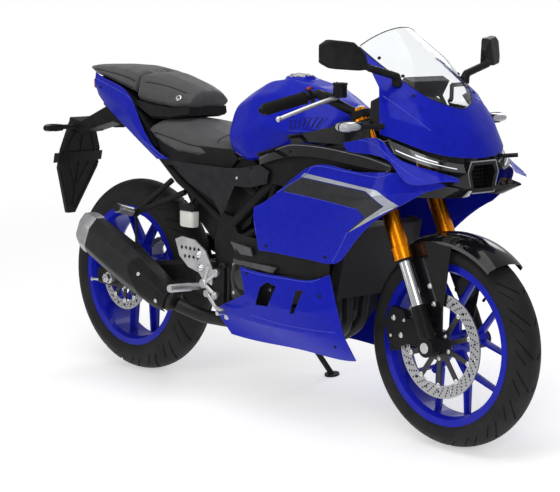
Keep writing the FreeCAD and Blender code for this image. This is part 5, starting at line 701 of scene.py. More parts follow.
def smooth_line(points: list, steps: int, closed: bool = False) -> list[Vector]:
    """A smooth line through points.

    Args:
        points: the points that it passes.
        steps: how many runs each span is divided into.
        closed: whether it comes back to its start.

    Returns:
        The points of the line.
    """
    spots = [Vector(point) for point in points]
    count = len(spots)
    line = []
    for place in range(count if closed else count - 1):
        if closed:
            before, start, end, after = (spots[(place + step) % count] for step in (-1, 0, 1, 2))
        else:
            start, end = spots[place], spots[place + 1]
            before = spots[place - 1] if place else start * 2 - end
            after = spots[place + 2] if place + 2 < count else end * 2 - start
        for step in range(steps):
            t = step / steps
            line.append(0.5 * (start * 2 + (end - before) * t
                               + (before * 2 - start * 5 + end * 4 - after) * t ** 2
                               + (start * 3 - before - end * 3 + after) * t ** 3))
    if not closed:
        line.append(spots[-1])
    return line


def square_to(heading: Vector) -> tuple[Vector, Vector]:
    """Two directions square to a heading and to each other."""
    helper = Vector((0, 0, 1)) if abs(heading.z) < 0.9 else Vector((1, 0, 0))
    side = heading.cross(helper).normalized()
    return side, heading.cross(side).normalized()


def circle(middle: Vector, side: Vector, up: Vector, radius: float, count: int) -> list[Vector]:
    """Evenly spaced points round a middle, in the plane of two directions."""
    return [middle + (side * math.cos(turn) + up * math.sin(turn)) * radius
            for turn in even_turns(count)]


class Draft:
    """Points and faces of one piece, or of many small ones joined."""

    def __init__(self) -> None:
        """Starts empty."""
        self.points: list[Vector] = []
        self.faces: list[tuple[int, ...]] = []

    def add(self, points: Iterable, faces: Iterable[Iterable[int]]) -> "Draft":
        """Adds points, and faces whose corners are counted from the first of them."""
        first = len(self.points)
        self.points += [Vector(point) for point in points]
        self.faces += [tuple(first + corner for corner in face) for face in faces]
        return self

    def rings(self, rows: list[list[Vector]], closed: bool = False) -> "Draft":
        """Skins closed rings into a body.

        Args:
            rows: the rings, each with as many points.
            closed: whether the last ring joins the first, as in a hoop.

        Returns:
            The draft itself.
        """
        size = len(rows[0])
        faces = []
        for row in range(len(rows) if closed else len(rows) - 1):
            after = (row + 1) % len(rows)
            for step in range(size):
                turn = (step + 1) % size
                faces.append((row * size + step, row * size + turn, after * size + turn,
                              after * size + step))
        if not closed:
            faces.append(tuple(reversed(range(size))))
            faces.append(tuple((len(rows) - 1) * size + step for step in range(size)))
        return self.add([point for row in rows for point in row], faces)

    def tube(self, path: list, radius: float, sides: int = 10, steps: int = 6) -> "Draft":
        """A round hose or wire along a smooth line.

        Args:
            path: the points that it passes.
            radius: its radius.
            sides: how many flats round it.
            steps: how many runs between two points.

        Returns:
            The draft itself.
        """
        line = smooth_line(path, steps)
        side, _ = square_to((line[1] - line[0]).normalized())
        rows = []
        for place, point in enumerate(line):
            ahead = line[min(place + 1, len(line) - 1)] - line[max(place - 1, 0)]
            ahead.normalize()
            side = (side - ahead * side.dot(ahead)).normalized()
            up = ahead.cross(side)
            rows.append(circle(point, side, up, radius, sides))
        return self.rings(rows)

    def lathe(self, start: Iterable[float], heading: Iterable[float],
              profile: Iterable[tuple[float, float]], sides: int = 24) -> "Draft":
        """A turned piece.

        Args:
            start: the foot of its axis.
            heading: the direction of its axis.
            profile: distances along the axis with their radii.
            sides: how many flats round it.

        Returns:
            The draft itself.
        """
        foot = Vector(start)
        ahead = Vector(heading).normalized()
        side, up = square_to(ahead)
        return self.rings(
            [circle(foot + ahead * along, side, up, radius, sides) for along, radius in profile])

    def bolt(self, point: Iterable[float], heading: Iterable[float], radius: float,
             sides: int = 6) -> "Draft":
        """A screw head with its washer and its driving socket.

        Args:
            point: where the head sits on the surface.
            heading: the way out of the surface.
            radius: the head's radius.
            sides: six for a hexagon, more for a button head.

        Returns:
            The draft itself.
        """
        self.lathe(point, heading, ((-0.5, radius * 1.3), (radius * 0.18, radius * 1.3),
                                    (radius * 0.24, radius * 1.22)), 20)
        head = ((0, radius), (radius * 0.55, radius), (radius * 0.75, radius * 0.8),
                (radius * 0.76, radius * 0.5), (radius * 0.35, radius * 0.44))
        return self.lathe(point, heading, head, sides)

    def plate(self, outline: list, depth: Iterable[float], chamfer: float = 0.12) -> "Draft":
        """A flat plate with eased rims.

        Args:
            outline: its outline on the far side, in order.
            depth: the way through it.
            chamfer: how far the rims ease in, as a share of the depth.

        Returns:
            The draft itself.
        """
        through = Vector(depth)
        middle = sum((Vector(point) for point in outline), Vector()) / len(outline)
        ease = through.length * chamfer
        rows = []
        for share, inset in ((0, ease), (chamfer, 0), (1 - chamfer, 0), (1, ease)):
            row = []
            for point in outline:
                inward = (middle - Vector(point))
                row.append(Vector(point) + inward.normalized() * inset + through * share)
            rows.append(row)
        return self.rings(rows)

    def grid(self, rows: list[list[Vector]]) -> "Draft":
        """An open sheet through rows of points."""
        size = len(rows[0])
        faces = [(row * size + step, row * size + step + 1, (row + 1) * size + step + 1,
                  (row + 1) * size + step)
                 for row in range(len(rows) - 1) for step in range(size - 1)]
        return self.add([point for row in rows for point in row], faces)

    def piece(self, name: str, finish: Finish, body: Body = Body.CHASSIS, smooth: float = 40,
              slot: str | None = None) -> bpy.types.Object:
        """Makes the draft into a piece of the bike, where the bike stands.

        Args:
            name: the piece's name.
            finish: its finish.
            body: what it moves with.
            smooth: the angle in degrees above which an edge stays sharp.
            slot: the record's material slot; not used.

        Returns:
            The new object.
        """
        mesh = bpy.data.meshes.new(name)
        mesh.from_pydata([placed(point) for point in self.points], [], self.faces)
        shaped = bmesh.new()
        shaped.from_mesh(mesh)
        bmesh.ops.remove_doubles(shaped, verts=shaped.verts, dist=1e-6)
        loose = [vertex for vertex in shaped.verts if not vertex.link_faces]
        bmesh.ops.delete(shaped, geom=loose, context="VERTS")
        bmesh.ops.recalc_face_normals(shaped, faces=shaped.faces)
        shaped.to_mesh(mesh)
        shaped.free()
        mesh.shade_smooth()
        mesh.set_sharp_from_angle(angle=math.radians(smooth))
        mesh.materials.append(finish.material())
        made = bpy.data.objects.new(name, mesh)
        bpy.context.scene.collection.objects.link(made)
        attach(made, body.value)
        log.info("%s on %s: %d faces", name, body.value, len(mesh.polygons))
        return made


VIEWPOINT = Vector((5045.3, -4080.8, 1356.5))
LONGEST_EDGE = 40
FILM_ROWS = 4
SKINS: dict[str, bpy.types.Object] = {}


class Surface:
    """The outer face of one or more CAD nodes, for pieces that are laid on it."""

    def __init__(self, *nodes: str) -> None:
        """Gathers the nodes' faces."""
        points = []
        faces = []
        for node in nodes:
            mesh = SKINS.get(node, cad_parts[node]).data
            first = len(points)
            points += [vertex.co.copy() for vertex in mesh.vertices]
            faces += [tuple(first + corner for corner in face.vertices) for face in mesh.polygons]
        self.tree = BVHTree.FromPolygons(points, faces)
        self.back = STAND.inverted()

    def hit(self, origin: Iterable[float], heading: Iterable[float]) -> tuple[Vector, Vector]:
        """Where a line from a point first meets the surface.

        Args:
            origin: the line's start on the upright bike.
            heading: its direction.

        Returns:
            The point met and the way out of the surface there, or the start if it misses.
        """
        start = placed(origin)
        ahead = STAND.to_3x3() @ Vector(heading)
        found, normal, _, _ = self.tree.ray_cast(start, ahead.normalized())
        if found is None:
            return Vector(origin), -Vector(heading).normalized()
        out = self.back.to_3x3() @ normal
        if out.dot(Vector(heading)) > 0:
            out.negate()
        return (self.back @ found) / MM, out.normalized()

    def side(self, along: float, up: float, side: int, lift: float = 0.4) -> tuple[Vector, Vector]:
        """A point just off the surface, seen from one side, and the way out there."""
        point, out = self.hit((along, side * 500, up), (0, -side, 0))
        return point + out * lift, out

    def sighted(self, along: float, up: float, side: int, depth: float, lift: float) -> Vector:
        """A point just off the surface that the photo shows at a place of an upright plane.

        Args:
            along: the place along the plane.
            up: the height on it.
            side: the side whose point is wanted; the left one mirrors the right.
            depth: where the plane stands across the bike.
            lift: how far off the surface.

        Returns:
            The point.
        """
        ahead = (Vector((along, depth, up)) - VIEWPOINT).normalized()
        found, out = self.hit(Vector((along, depth, up)) - ahead * 300, ahead)
        found += out * lift
        return Vector((found.x, found.y * -side, found.z))

    def strip(self, upper: Line, lower: Line, side: int, columns: int = 24, rows: int = 4,
              lift: float = 0.4, depth: float = 0) -> Draft:
        """A film laid on the surface between two lines drawn from the side.

        Args:
            upper: places and heights along its upper line.
            lower: as many along its lower line.
            side: the side it lies on.
            columns: how many runs along it.
            rows: how many runs across it.
            lift: how far off the surface it lies.
            depth: the plane of the two lines, if they are as the photo shows them.

        Returns:
            The draft of the film, without the faces that would hang past the surface.
        """
        sheet = []
        for row in range(rows + 1):
            line = []
            for column in range(columns + 1):
                share = column / columns
                along, up = between(on_line(upper, share), on_line(lower, share), row / rows)
                if depth:
                    line.append(self.sighted(along, up, side, depth, lift))
                else:
                    line.append(self.side(along, up, side, lift)[0])
            sheet.append(line)
        draft = Draft().grid(sheet)
        draft.faces = [face for face in draft.faces
                       if max((draft.points[a] - draft.points[b]).length
                              for a, b in zip(face, face[1:])) < LONGEST_EDGE]
        return draft

    def film(self, corner: Point, across: Point, up: Point, columns: int, heading: Point,
             lift: float) -> Draft:
        """A film laid on the surface by straight lines from a flat patch before it.

        Args:
            corner: the patch's first corner.
            across: the way to its next corner.
            up: the way to its upper edge.
            columns: how many runs across it.
            heading: the direction of the lines.
            lift: how far off the surface the film lies.

        Returns:
            The draft of the film.
        """
        rows = []
        for row in range(FILM_ROWS + 1):
            line = []
            for column in range(columns + 1):
                start = (Vector(corner) + Vector(across) * (column / columns)
                         + Vector(up) * (row / FILM_ROWS))
                spot, out = self.hit(start, heading)
                line.append(spot + out * lift)
            rows.append(line)
        return Draft().grid(rows)

    def bead(self, start: Iterable[float], end: Iterable[float], side: int, lift: float,
             runs: int = 4) -> list[Vector]:
        """The points of a straight bead laid on the surface, seen from the side."""
        return [
            self.side(*between(start, end, run / runs), side, lift)[0] for run in range(runs + 1)]


# Dressing the carried-over nodes


class EvenShading:
    """One modifier that welds a node's facets and keeps only its true edges sharp."""

    name = "even_shading"
    weld = 0.00001
    usual = 24

    def tree(self, limit: float) -> bpy.types.NodeTree:
        """The geometry nodes, built once for each angle.

        Args:
            limit: the angle in degrees above which an edge stays sharp.

        Returns:
            The node tree.
        """
        name = f"{self.name}_{limit:.0f}"
        found = bpy.data.node_groups.get(name)
        if found:
            return found
        tree = bpy.data.node_groups.new(name, "GeometryNodeTree")
        for way in ("INPUT", "OUTPUT"):
            tree.interface.new_socket("Geometry", in_out=way, socket_type="NodeSocketGeometry")
        start = tree.nodes.new("NodeGroupInput")
        end = tree.nodes.new("NodeGroupOutput")
        weld = tree.nodes.new("GeometryNodeMergeByDistance")
        weld.inputs["Distance"].default_value = self.weld
        plain = tree.nodes.new("GeometryNodeRemoveAttribute")
        plain.inputs["Name"].default_value = "custom_normal"
        faces = tree.nodes.new("GeometryNodeSetShadeSmooth")
        edges = tree.nodes.new("GeometryNodeSetShadeSmooth")
        edges.domain = "EDGE"
        edges.inputs["Shade Smooth"].default_value = False
        angle = tree.nodes.new("GeometryNodeInputMeshEdgeAngle")
        sharp = tree.nodes.new("FunctionNodeCompare")
        sharp.operation = "GREATER_THAN"
        sharp.inputs[1].default_value = math.radians(limit)
        join = tree.links.new
        join(start.outputs[0], weld.inputs["Geometry"])
        join(weld.outputs[0], plain.inputs["Geometry"])
        join(plain.outputs[0], faces.inputs["Geometry"])
        join(faces.outputs[0], edges.inputs["Geometry"])
        join(angle.outputs["Unsigned Angle"], sharp.inputs[0])
        join(sharp.outputs[0], edges.inputs["Selection"])
        join(edges.outputs[0], end.inputs[0])
        return tree

    def apply(self, node: bpy.types.Object, angle: float) -> None:
        """Puts the modifier on a node."""
        node.modifiers.new(self.name, "NODES").node_group = self.tree(angle)


def dress_nodes() -> None:
    """Gives every carried-over node its finish and even shading."""
    shading = EvenShading()
    for finish, nodes in CAD_FINISHES.items():
        for name in nodes:
            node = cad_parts[name]
            node.data.materials.clear()
            node.data.materials.append(finish.material())
            shading.apply(node, SMOOTHING.get(name, shading.usual))
            log.info("%s dressed in %s", name, finish.name)


# The studio


@dataclass(frozen=True)
class SoftBox:
    """One soft studio lamp."""

    name: str
    place: Point
    aim: Point
    size: float
    power: float

    def build(self) -> None:
        """Hangs the lamp."""
        light = bpy.data.lights.new(self.name, "AREA")
        light.shape = "RECTANGLE"
        light.size = self.size
        light.size_y = self.size
        light.energy = self.power
        lamp = bpy.data.objects.new(self.name, light)
        lamp.location = self.place
        lamp.rotation_mode = "QUATERNION"
        lamp.rotation_quaternion = (Vector(self.aim) - Vector(self.place)).to_track_quat("-Z", "Y")
        bpy.context.scene.collection.objects.link(lamp)


WHITE = (1, 1, 1, 1)


@dataclass
class Studio:
    """Floor, lamps, surroundings and the camera at the photograph's angle."""

    floor_radius: float = 3.6
    floor_fade: tuple[float, float] = (1.7, 3.4)
    floor_flats: int = 96
    paper: float = 0.8
    glow: float = 0.46
    seen: float = 1
    mirrored: float = 0.55
    fill: float = 0.3
    azimuth: float = math.radians(47.1)
    elevation: float = math.radians(8.3)
    roll: float = math.radians(0.9)
    distance: float = 6058.2
    target: Point = (653.9, 0, 481.9)
    lens: float = 127.58
    sensor: float = 36
    lamps: tuple[SoftBox, ...] = (
        SoftBox("top_box", (0.4, -0.4, 3.2), (0, 0, 0.4), 2.6, 50),
        SoftBox("front_box", (3.4, -2.2, 1.9), (0.3, 0, 0.5), 1.6, 36),
        SoftBox("side_box", (-1.6, -3.6, 1.7), (-0.2, 0, 0.5), 1.6, 26),
        SoftBox("rim_box", (-1.2, 3.2, 2.2), (0, 0, 0.5), 1.6, 28))

    def build_floor(self) -> None:
        """Lays a pale floor that fades into the background."""
        rim = self.floor_flats
        rows = [[Vector((math.cos(turn) * reach, math.sin(turn) * reach, 0))
                 for turn in even_turns(rim)]
                for reach in (0.001, 0.5, 1.2, 2, 2.8, self.floor_radius)]
        faces = [(ring * rim + step, ring * rim + (step + 1) % rim,
                  (ring + 1) * rim + (step + 1) % rim, (ring + 1) * rim + step)
                 for ring in range(len(rows) - 1) for step in range(rim)]
        mesh = bpy.data.meshes.new("studio_floor")
        mesh.from_pydata([point for row in rows for point in row], [], faces)
        floor = bpy.data.objects.new("studio_floor", mesh)
        floor.location = (0, 0, -0.0005)
        bpy.context.scene.collection.objects.link(floor)
        mesh.materials.append(self.floor_material())

    def floor_material(self) -> bpy.types.Material:
        """White paper: part of its white shows in shadow, and its rim is see-through."""
        made = bpy.data.materials.new("studio_paper")
        made.use_nodes = True
        wires = Wires(made.node_tree)
        made.node_tree.nodes.remove(made.node_tree.nodes["Principled BSDF"])
        out = made.node_tree.nodes["Material Output"]
        paper = wires.add("BsdfDiffuse", {"Color": (self.paper, self.paper, self.paper, 1)})
        glow = wires.add("Emission", {"Color": WHITE, "Strength": self.glow})
        lit = wires.add("AddShader")
        wires.join(paper.outputs[0], lit.inputs[0])
        wires.join(glow.outputs[0], lit.inputs[1])
        away = wires.add("VectorMath", operation="LENGTH")
        wires.join(wires.add("TexCoord").outputs["Object"], away.inputs[0])
        fade = wires.span(away.outputs["Value"], *self.floor_fade, 0, 1)
        mixed = wires.mix(fade, lit, wires.add("BsdfTransparent"))
        wires.join(mixed.outputs[0], out.inputs["Surface"])
        return made

    def build_surroundings(self) -> None:
        """A white background for the eye, for metal and for glass, and softer fill light."""
        world = bpy.data.worlds.new("studio")
        bpy.context.scene.world = world
        world.use_nodes = True
        wires = Wires(world.node_tree)
        out = world.node_tree.nodes["World Output"]
        world.node_tree.nodes.remove(world.node_tree.nodes["Background"])
        seen, mirrored, fill = (
            wires.add("Background", {"Color": WHITE, "Strength": strength})
            for strength in (self.seen, self.mirrored, self.fill))
        path = wires.add("LightPath")
        share = wires.maths(
            "MAXIMUM", path.outputs["Is Camera Ray"], path.outputs["Is Transmission Ray"])
        softer = wires.mix(path.outputs["Is Glossy Ray"], fill, mirrored)
        wires.join(wires.mix(share, softer, seen).outputs[0], out.inputs["Surface"])

    def build_camera(self) -> None:
        """Sets the camera where the photograph was taken, relative to the bike."""
        back = Vector((
            math.sin(self.azimuth) * math.cos(self.elevation),
            -math.cos(self.azimuth) * math.cos(self.elevation), math.sin(self.elevation)))
        right = Vector((math.cos(self.azimuth), math.sin(self.azimuth), 0))
        up = back.cross(right)
        rolled = right * math.cos(self.roll) + up * math.sin(self.roll)
        upward = up * math.cos(self.roll) - right * math.sin(self.roll)
        spot = Vector(self.target) + back * self.distance
        turn = Matrix((rolled, upward, back)).transposed()
        data = bpy.data.cameras.new("photo_camera")
        data.lens = self.lens
        data.sensor_width = self.sensor
        data.clip_end = 100
        camera = bpy.data.objects.new("photo_camera", data)
        camera.matrix_world = Matrix.Translation(placed(spot)) @ (STAND.to_3x3() @ turn).to_4x4()
        bpy.context.scene.collection.objects.link(camera)
        bpy.context.scene.camera = camera

    def build(self) -> None:
        """Sets up the whole studio."""
        bpy.context.scene.view_settings.view_transform = "Standard"
        self.build_camera()
        self.build_surroundings()
        self.build_floor()
        for lamp in self.lamps:
            lamp.build()
        log.info("studio ready with %d lamps", len(self.lamps))


# Wheels


@dataclass(frozen=True)
class Wheel:
    """One wheel: where it turns, how wide its tyre and rim are, and its disc."""

    name: str
    body: Body
    centre: Point
    width: float
    rim_width: float
    disc_place: float
    button_radius: float
    drilled: tuple[float, ...]
    drillings: int
    drill_radius: float
    disc_wall: float = 4.5

    def spot(self, reach: float, turn: float, across: float) -> Vector:
        """A point of the wheel at a radius and a turn."""
        return Vector(self.centre) + Vector(
            (math.sin(turn) * reach, across, math.cos(turn) * reach))


WHEELS = (
    Wheel("front", Body.FRONT_WHEEL, (1380, 0, 293), 112, 92, -62, 112.5,
          (120, 127, 134, 141), 40, 2.7),
    Wheel("rear", Body.REAR_WHEEL, (0, 0, 314), 142, 118, -82, 81.5,
          (89, 95.5, 102), 30, 2.4),
)


@dataclass
class TreadedTyre:
    """A road tyre with slanted grooves, in the form of the tyre it replaces."""

    wheel: Wheel
    cheek_radius: float = 260
    flange_radius: float = 231
    seat_radius: float = 216
    flange_wall: float = 5
    periods: int = 20
    depth: float = 5
    sweep: float = math.radians(17)
    long_reach: tuple[float, float] = (0.1, 0.78)
    short_reach: tuple[float, float] = (0.48, 0.9)
    crown_rows: int = 44

    def columns(self) -> list[tuple[float, str]]:
        """Where the columns of one period lie, as shares of it, with the groove each is in."""
        edge, floor = 0.012, 0.095
        return [(0, ""), (edge, "long"), (floor, "long"), (floor + edge, ""), (0.22, ""),
                (0.35, ""), (0.46, ""), (0.46 + edge, "short"), (0.51, "short"),
                (0.51 + edge, ""), (0.64, ""), (0.76, ""), (0.88, "")]

    def profile(self) -> list[tuple[float, float, float]]:
        """The section from cheek to cheek: place across, radius, and share of the crown."""
        half = self.wheel.width / 2
        radius = self.wheel.centre[2]
        drop = radius - self.cheek_radius
        bow = (half * half + drop * drop) / (2 * drop)
        limit = math.asin(half / bow)
        crown = []
        for row in range(self.crown_rows + 1):
            share = row / self.crown_rows * 2 - 1
            turn = share * limit
            crown.append((bow * math.sin(turn), radius - bow + bow * math.cos(turn), share))
        lip = self.wheel.rim_width / 2
        knee = ((half * 3 + lip) / 4, (self.cheek_radius + self.flange_radius) / 2)
        cheek = []
        for share in (0.2, 0.4, 0.6, 0.8, 1):
            bend = 4 * share * (1 - share)
            across = half + (lip - half) * share + (knee[0] - (half + lip) / 2) * bend
            rise = self.cheek_radius + (self.flange_radius - self.cheek_radius) * share
            ridge = 0.7 if share in (0.4, 0.8) else 0
            cheek.append((across + ridge, rise, 2))
        bead = lip - self.flange_wall
        cheek += [(bead, self.flange_radius, 2), (bead, self.seat_radius, 2)]
        left = [(-across, rise, share) for across, rise, share in reversed(cheek)]
        return left + crown + cheek

    def sunk(self, share: float, groove: str) -> bool:
        """Whether a point of the crown lies in a groove."""
        if not groove:
            return False
        low, high = self.long_reach if groove == "long" else self.short_reach
        return low <= abs(share) <= high

    def build(self) -> None:
        """Makes the tyre and lets it stand for the plain one."""
        rows = []
        span = math.tau / self.periods
        for period in range(self.periods):
            for part, groove in self.columns():
                row = []
                for across, rise, share in self.profile():
                    lean = self.sweep * min(abs(share), 1) ** 1.35 if share <= 1 else self.sweep
                    sunk = share <= 1 and self.sunk(share, groove)
                    reach = rise - (self.depth if sunk else 0)
                    row.append(self.wheel.spot(reach, span * (period + part) - lean, across))
                rows.append(row)
        node = self.wheel.name + "_tyre"
        made = Draft().rings(rows, closed=True).piece(
            node + "_treaded", RUBBER, self.wheel.body, smooth=28, slot="tyre")
        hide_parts(node)


@dataclass
class WheelTrim:
    """What is bolted to a wheel: disc buttons, disc bolts and the valve."""

    wheel: Wheel
    bolt_radius: float = 36
    buttons: int = 10
    bolts: int = 5
    valve_foot: float = 196
    valve_turn: float = math.radians(37)

    def build(self) -> None:
        """Makes the wheel's small parts."""
        wheel = self.wheel
        face = wheel.disc_place - wheel.disc_wall / 2
        out = Vector((0, -1, 0))
        buttons = Draft()
        for turn in even_turns(self.buttons):
            buttons.lathe(wheel.spot(wheel.button_radius, turn, face), out,
                          ((-0.5, 7.5), (1.2, 7.5), (1.9, 6.6), (1.9, 3.6), (0.6, 3)), 20)
        buttons.piece(wheel.name + "_disc_buttons", ZINC, wheel.body)
        heads = Draft()
        for step in range(self.bolts):
            turn = math.tau * (step + 0.5) / self.bolts
            heads.bolt(wheel.spot(self.bolt_radius, turn, face), out, 5, 16)
        heads.piece(wheel.name + "_disc_bolts", ZINC, wheel.body)
        foot = wheel.spot(self.valve_foot, self.valve_turn, 0)
        inward = (Vector(wheel.centre) - foot).normalized()
        valve = Draft().lathe(
            foot, inward,
            ((-4, 5.5), (4, 5), (6, 3.4), (22, 3.2), (22.5, 4.2), (30, 4.2), (31, 3.4)), 16)
        valve.piece(wheel.name + "_valve", PLASTIC_BLACK, wheel.body)


@dataclass
class AxleEnds:
    """Nuts, washers and chain adjusters at the axle's ends and the pivot."""

    rear: Point = (0, 0, 314)
    pivot: Point = (555, 0, 414)

    def build(self) -> None:
        """Makes the nuts that show at both sides."""
        rear = Draft()
        for side in SIDES:
            out = (0, side, 0)
            start = (self.rear[0], side * 160, self.rear[2])
            rear.lathe(start, out, ((-10, 19), (-7, 19), (-6, 18)), 28)
            rear.lathe(start, out, ((-7, 15.6), (5, 15.6), (7, 13.4), (7, 7)), 6)
            rear.lathe(start, out, ((0, 7.2), (11, 7.2), (12, 6.2), (12, 3), (8, 2.6)), 18)
        rear.piece("rear_axle_nuts", ZINC)
        adjusters = Draft()
        for side in SIDES:
            adjusters.lathe((-62, side * 142, 300), (-1, 0, -0.08),
                            ((0, 4), (30, 4), (30.5, 7), (36, 7), (36.5, 5)), 12)
        adjusters.piece("chain_adjusters", ZINC)
        surface = Surface("main_frame")
        pivots = Draft()
        for side in SIDES:
            spot, _ = surface.side(self.pivot[0], self.pivot[2], side, 0)
            pivots.lathe(spot, (0, side, 0), ((-1, 17), (3, 17), (4, 15.5), (4, 10), (1, 9)), 28)
        pivots.piece("pivot_caps", PLASTIC_GREY)


# Fork, bars and controls


@dataclass
class ForkTrim:
    """Seals, caps, gold bands and the clamps' pinch screws."""

    top: float = 706
    seal: float = 262
    clamps: tuple[float, ...] = (478, 656)

    def build(self) -> None:
        """Makes the fork's fittings."""
        up = FORK.up()
        caps, seals, bands, screws = Draft(), Draft(), Draft(), Draft()
        for side in SIDES:
            caps.lathe(FORK.leg(self.top, side), up, ((-6, 17.6), (3, 17.6), (4, 16.6)), 6)
            caps.lathe(
                FORK.leg(self.top, side), up, ((3, 8), (8, 8), (8.6, 7), (8.6, 3), (7, 2.5)), 20)
            seals.lathe(
                FORK.leg(self.seal - 12, side), up, ((0, 19.4), (0, 26.6), (5, 27.4), (6.5, 25)),
                40)
            for climb in (258, 289):
                bands.lathe(
                    FORK.leg(climb, side), up, ((0, 28.6), (0.6, 29.2), (3.2, 29.2), (3.8, 28.6)),
                    48)
            for climb in self.clamps:
                for step in (-7, 7):
                    spot = FORK.leg(climb + step, side, 34)
                    screws.lathe(spot - Vector((0, side * 14, 0)), (0, -side, 0),
                                 ((0, 4.6), (3.6, 4.6), (4, 4), (4, 2.4), (1.8, 2.2)), 16)
        caps.piece("fork_caps", ZINC, Body.STEERING)
        seals.piece("fork_seals", PLASTIC_BLACK, Body.STEERING)
        bands.piece("fork_bands", GOLD, Body.STEERING)
        screws.piece("clamp_screws", ZINC, Body.STEERING)


@dataclass
class HandTrim:
    """Ribbed grips, levers, switches and the front brake's fluid cup."""

    inner: Point = (1002, 186, 974)
    outer: Point = (940, 350, 928)
    start: float = 0.22
    end: float = 0.93
    radius: float = 16.7
    lever: tuple[Point, ...] = (
        (1050, 162, 962), (1062, 205, 960), (1045, 270, 940), (1018, 352, 910))
    cup: Point = (1056, -152, 1002)

    def bar(self, share: float, side: int) -> Vector:
        """A point on a bar's centre line."""
        return on_side(Vector(self.inner).lerp(Vector(self.outer), share), side)

    def grips(self) -> Draft:
        """The two ribbed grips with their end flanges."""
        draft = Draft()
        for side in SIDES:
            foot = self.bar(self.start, side)
            ahead = self.bar(self.end, side) - foot
            profile = [(0, 19.5), (3, 19.5), (3.6, self.radius)]
            ribs = 26
            length = ahead.length
            for rib in range(ribs):
                place = 6 + (length - 12) * rib / ribs
                step = (length - 12) / ribs
                profile += [
                    (place, self.radius), (place + step * 0.15, self.radius + 0.9),
                    (place + step * 0.6, self.radius + 0.9), (place + step * 0.75, self.radius)]
            profile += [
                (length - 3, self.radius), (length - 2, self.radius + 1.4), (length, self.radius)]
            draft.lathe(foot, ahead, profile, 28)
        return draft

    def switches(self) -> None:
        """Switch housings' seams, buttons and the red stop switch."""
        seams, buttons = Draft(), Draft()
        for side in SIDES:
            foot = self.bar(0.12, side)
            ahead = (self.bar(0.2, side) - foot).normalized()
            seams.lathe(foot, ahead, ((-1, 21.4), (0, 21.9), (1.4, 21.9), (2.4, 21.4)), 32)
            up = Vector((-0.35, 0, 0.94))
            for place, lift in ((-8, 20.5), (10, 20.5)):
                spot = foot + ahead * place + up * lift
                buttons.lathe(spot, up, ((-3, 4.4), (2.2, 4.4), (3, 3.6)), 16)
        seams.piece("switch_seams", PLASTIC_BLACK, Body.STEERING)
        buttons.piece("switch_buttons", PLASTIC_GREY, Body.STEERING)
        up = Vector((-0.25, 0, 0.97))
        red = Draft().lathe(
            self.bar(0.14, RIGHT) + up * 20, up, ((-2, 7), (4.5, 7), (5.6, 6), (5.6, 2)), 20)
        red.piece("stop_switch", RED_SWITCH, Body.STEERING)

    def build(self) -> None:
        """Makes what the hands touch."""
        self.grips().piece("ribbed_grips", GRIP_RUBBER, Body.STEERING)
        self.switches()
        for side, finish in ((RIGHT, SILVER), (LEFT, SATIN_BLACK)):
            path = [on_side(point, side) for point in self.lever]
            blade = Draft().tube(path, 6.5, 14, 5)
            blade.lathe(path[-1], path[-1] - path[-2], ((-7, 6.6), (-2, 8.6), (3, 8), (6, 4.5)), 16)
            blade.piece("brake_lever" if side == RIGHT else "clutch_lever", finish, Body.STEERING)
        lid = Draft().lathe(
            self.cup, (0, 0, 1),
            ((-1, 20.2), (0.4, 21.6), (4.4, 21.6), (5.4, 20.2), (5.4, 12), (4.6, 11)), 36)
        for side in SIDES:
            lid.bolt(Vector(self.cup) + Vector((side * 14, 0, 5)), (0, 0, 1), 2.6, 12)
        lid.piece("brake_cup_lid", SATIN_BLACK, Body.STEERING)


# Seats


def settle(piece: bpy.types.Object) -> None:
    """Makes a piece's modifiers part of its mesh."""
    bpy.context.view_layer.update()
    graph = bpy.context.evaluated_depsgraph_get()
    mesh = bpy.data.meshes.new_from_object(piece.evaluated_get(graph))
    piece.modifiers.clear()
    piece.data = mesh


def even_copy(node: str, name: str, voxel: float) -> bpy.types.Object:
    """A node's solid as an even mesh.

    Args:
        node: the carried-over node.
        name: the new piece's name.
        voxel: how fine the mesh is.

    Returns:
        The new piece.
    """
    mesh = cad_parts[node].data.copy()
    made = bpy.data.objects.new(name, mesh)
    bpy.context.scene.collection.objects.link(made)
    even = made.modifiers.new("even", "REMESH")
    even.mode = "VOXEL"
    even.voxel_size = voxel * MM
    settle(made)
    return made


def stand_in(piece: bpy.types.Object, node: str, body: Body, finish: Finish) -> None:
    """Dresses a piece and lets it stand for a node.

    Args:
        piece: the piece.
        node: the carried-over node that it replaces.
        body: what it moves with.
        finish: its finish.
    """
    piece.data.shade_smooth()
    piece.data.materials.clear()
    piece.data.materials.append(finish.material())
    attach(piece, body.value)
    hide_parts(node)
    log.info("%s on %s: %d faces", piece.name, body.value, len(piece.data.polygons))


@dataclass
class SmoothSkin:
    """A solid's skin with its facets run into each other, in the same form."""

    node: str
    body: Body
    finish: Finish
    slot: str
    voxel: float = 4
    passes: int = 40
    strength: float = 0.5
    kept: tuple[tuple[Point, float], ...] = ()

    def build(self) -> None:
        """Makes the skin and lets it stand for the plain solid."""
        piece = even_copy(self.node, self.node + "_skin", self.voxel)
        free = piece.vertex_groups.new(name="free")
        back = STAND.inverted()
        for vertex in piece.data.vertices:
            spot = (back @ vertex.co) / MM
            weight = 1
            for centre, reach in self.kept:
                away = (spot - Vector(centre)).length - reach
                weight = min(weight, max(0, min(1, away / 25)))
            if weight > 0:
                free.add([vertex.index], weight, "REPLACE")
        soft = piece.modifiers.new("soft", "SMOOTH")
        soft.iterations = self.passes
        soft.factor = self.strength
        soft.vertex_group = "free"
        settle(piece)
        stand_in(piece, self.node, self.body, self.finish)
        SKINS[self.node] = piece


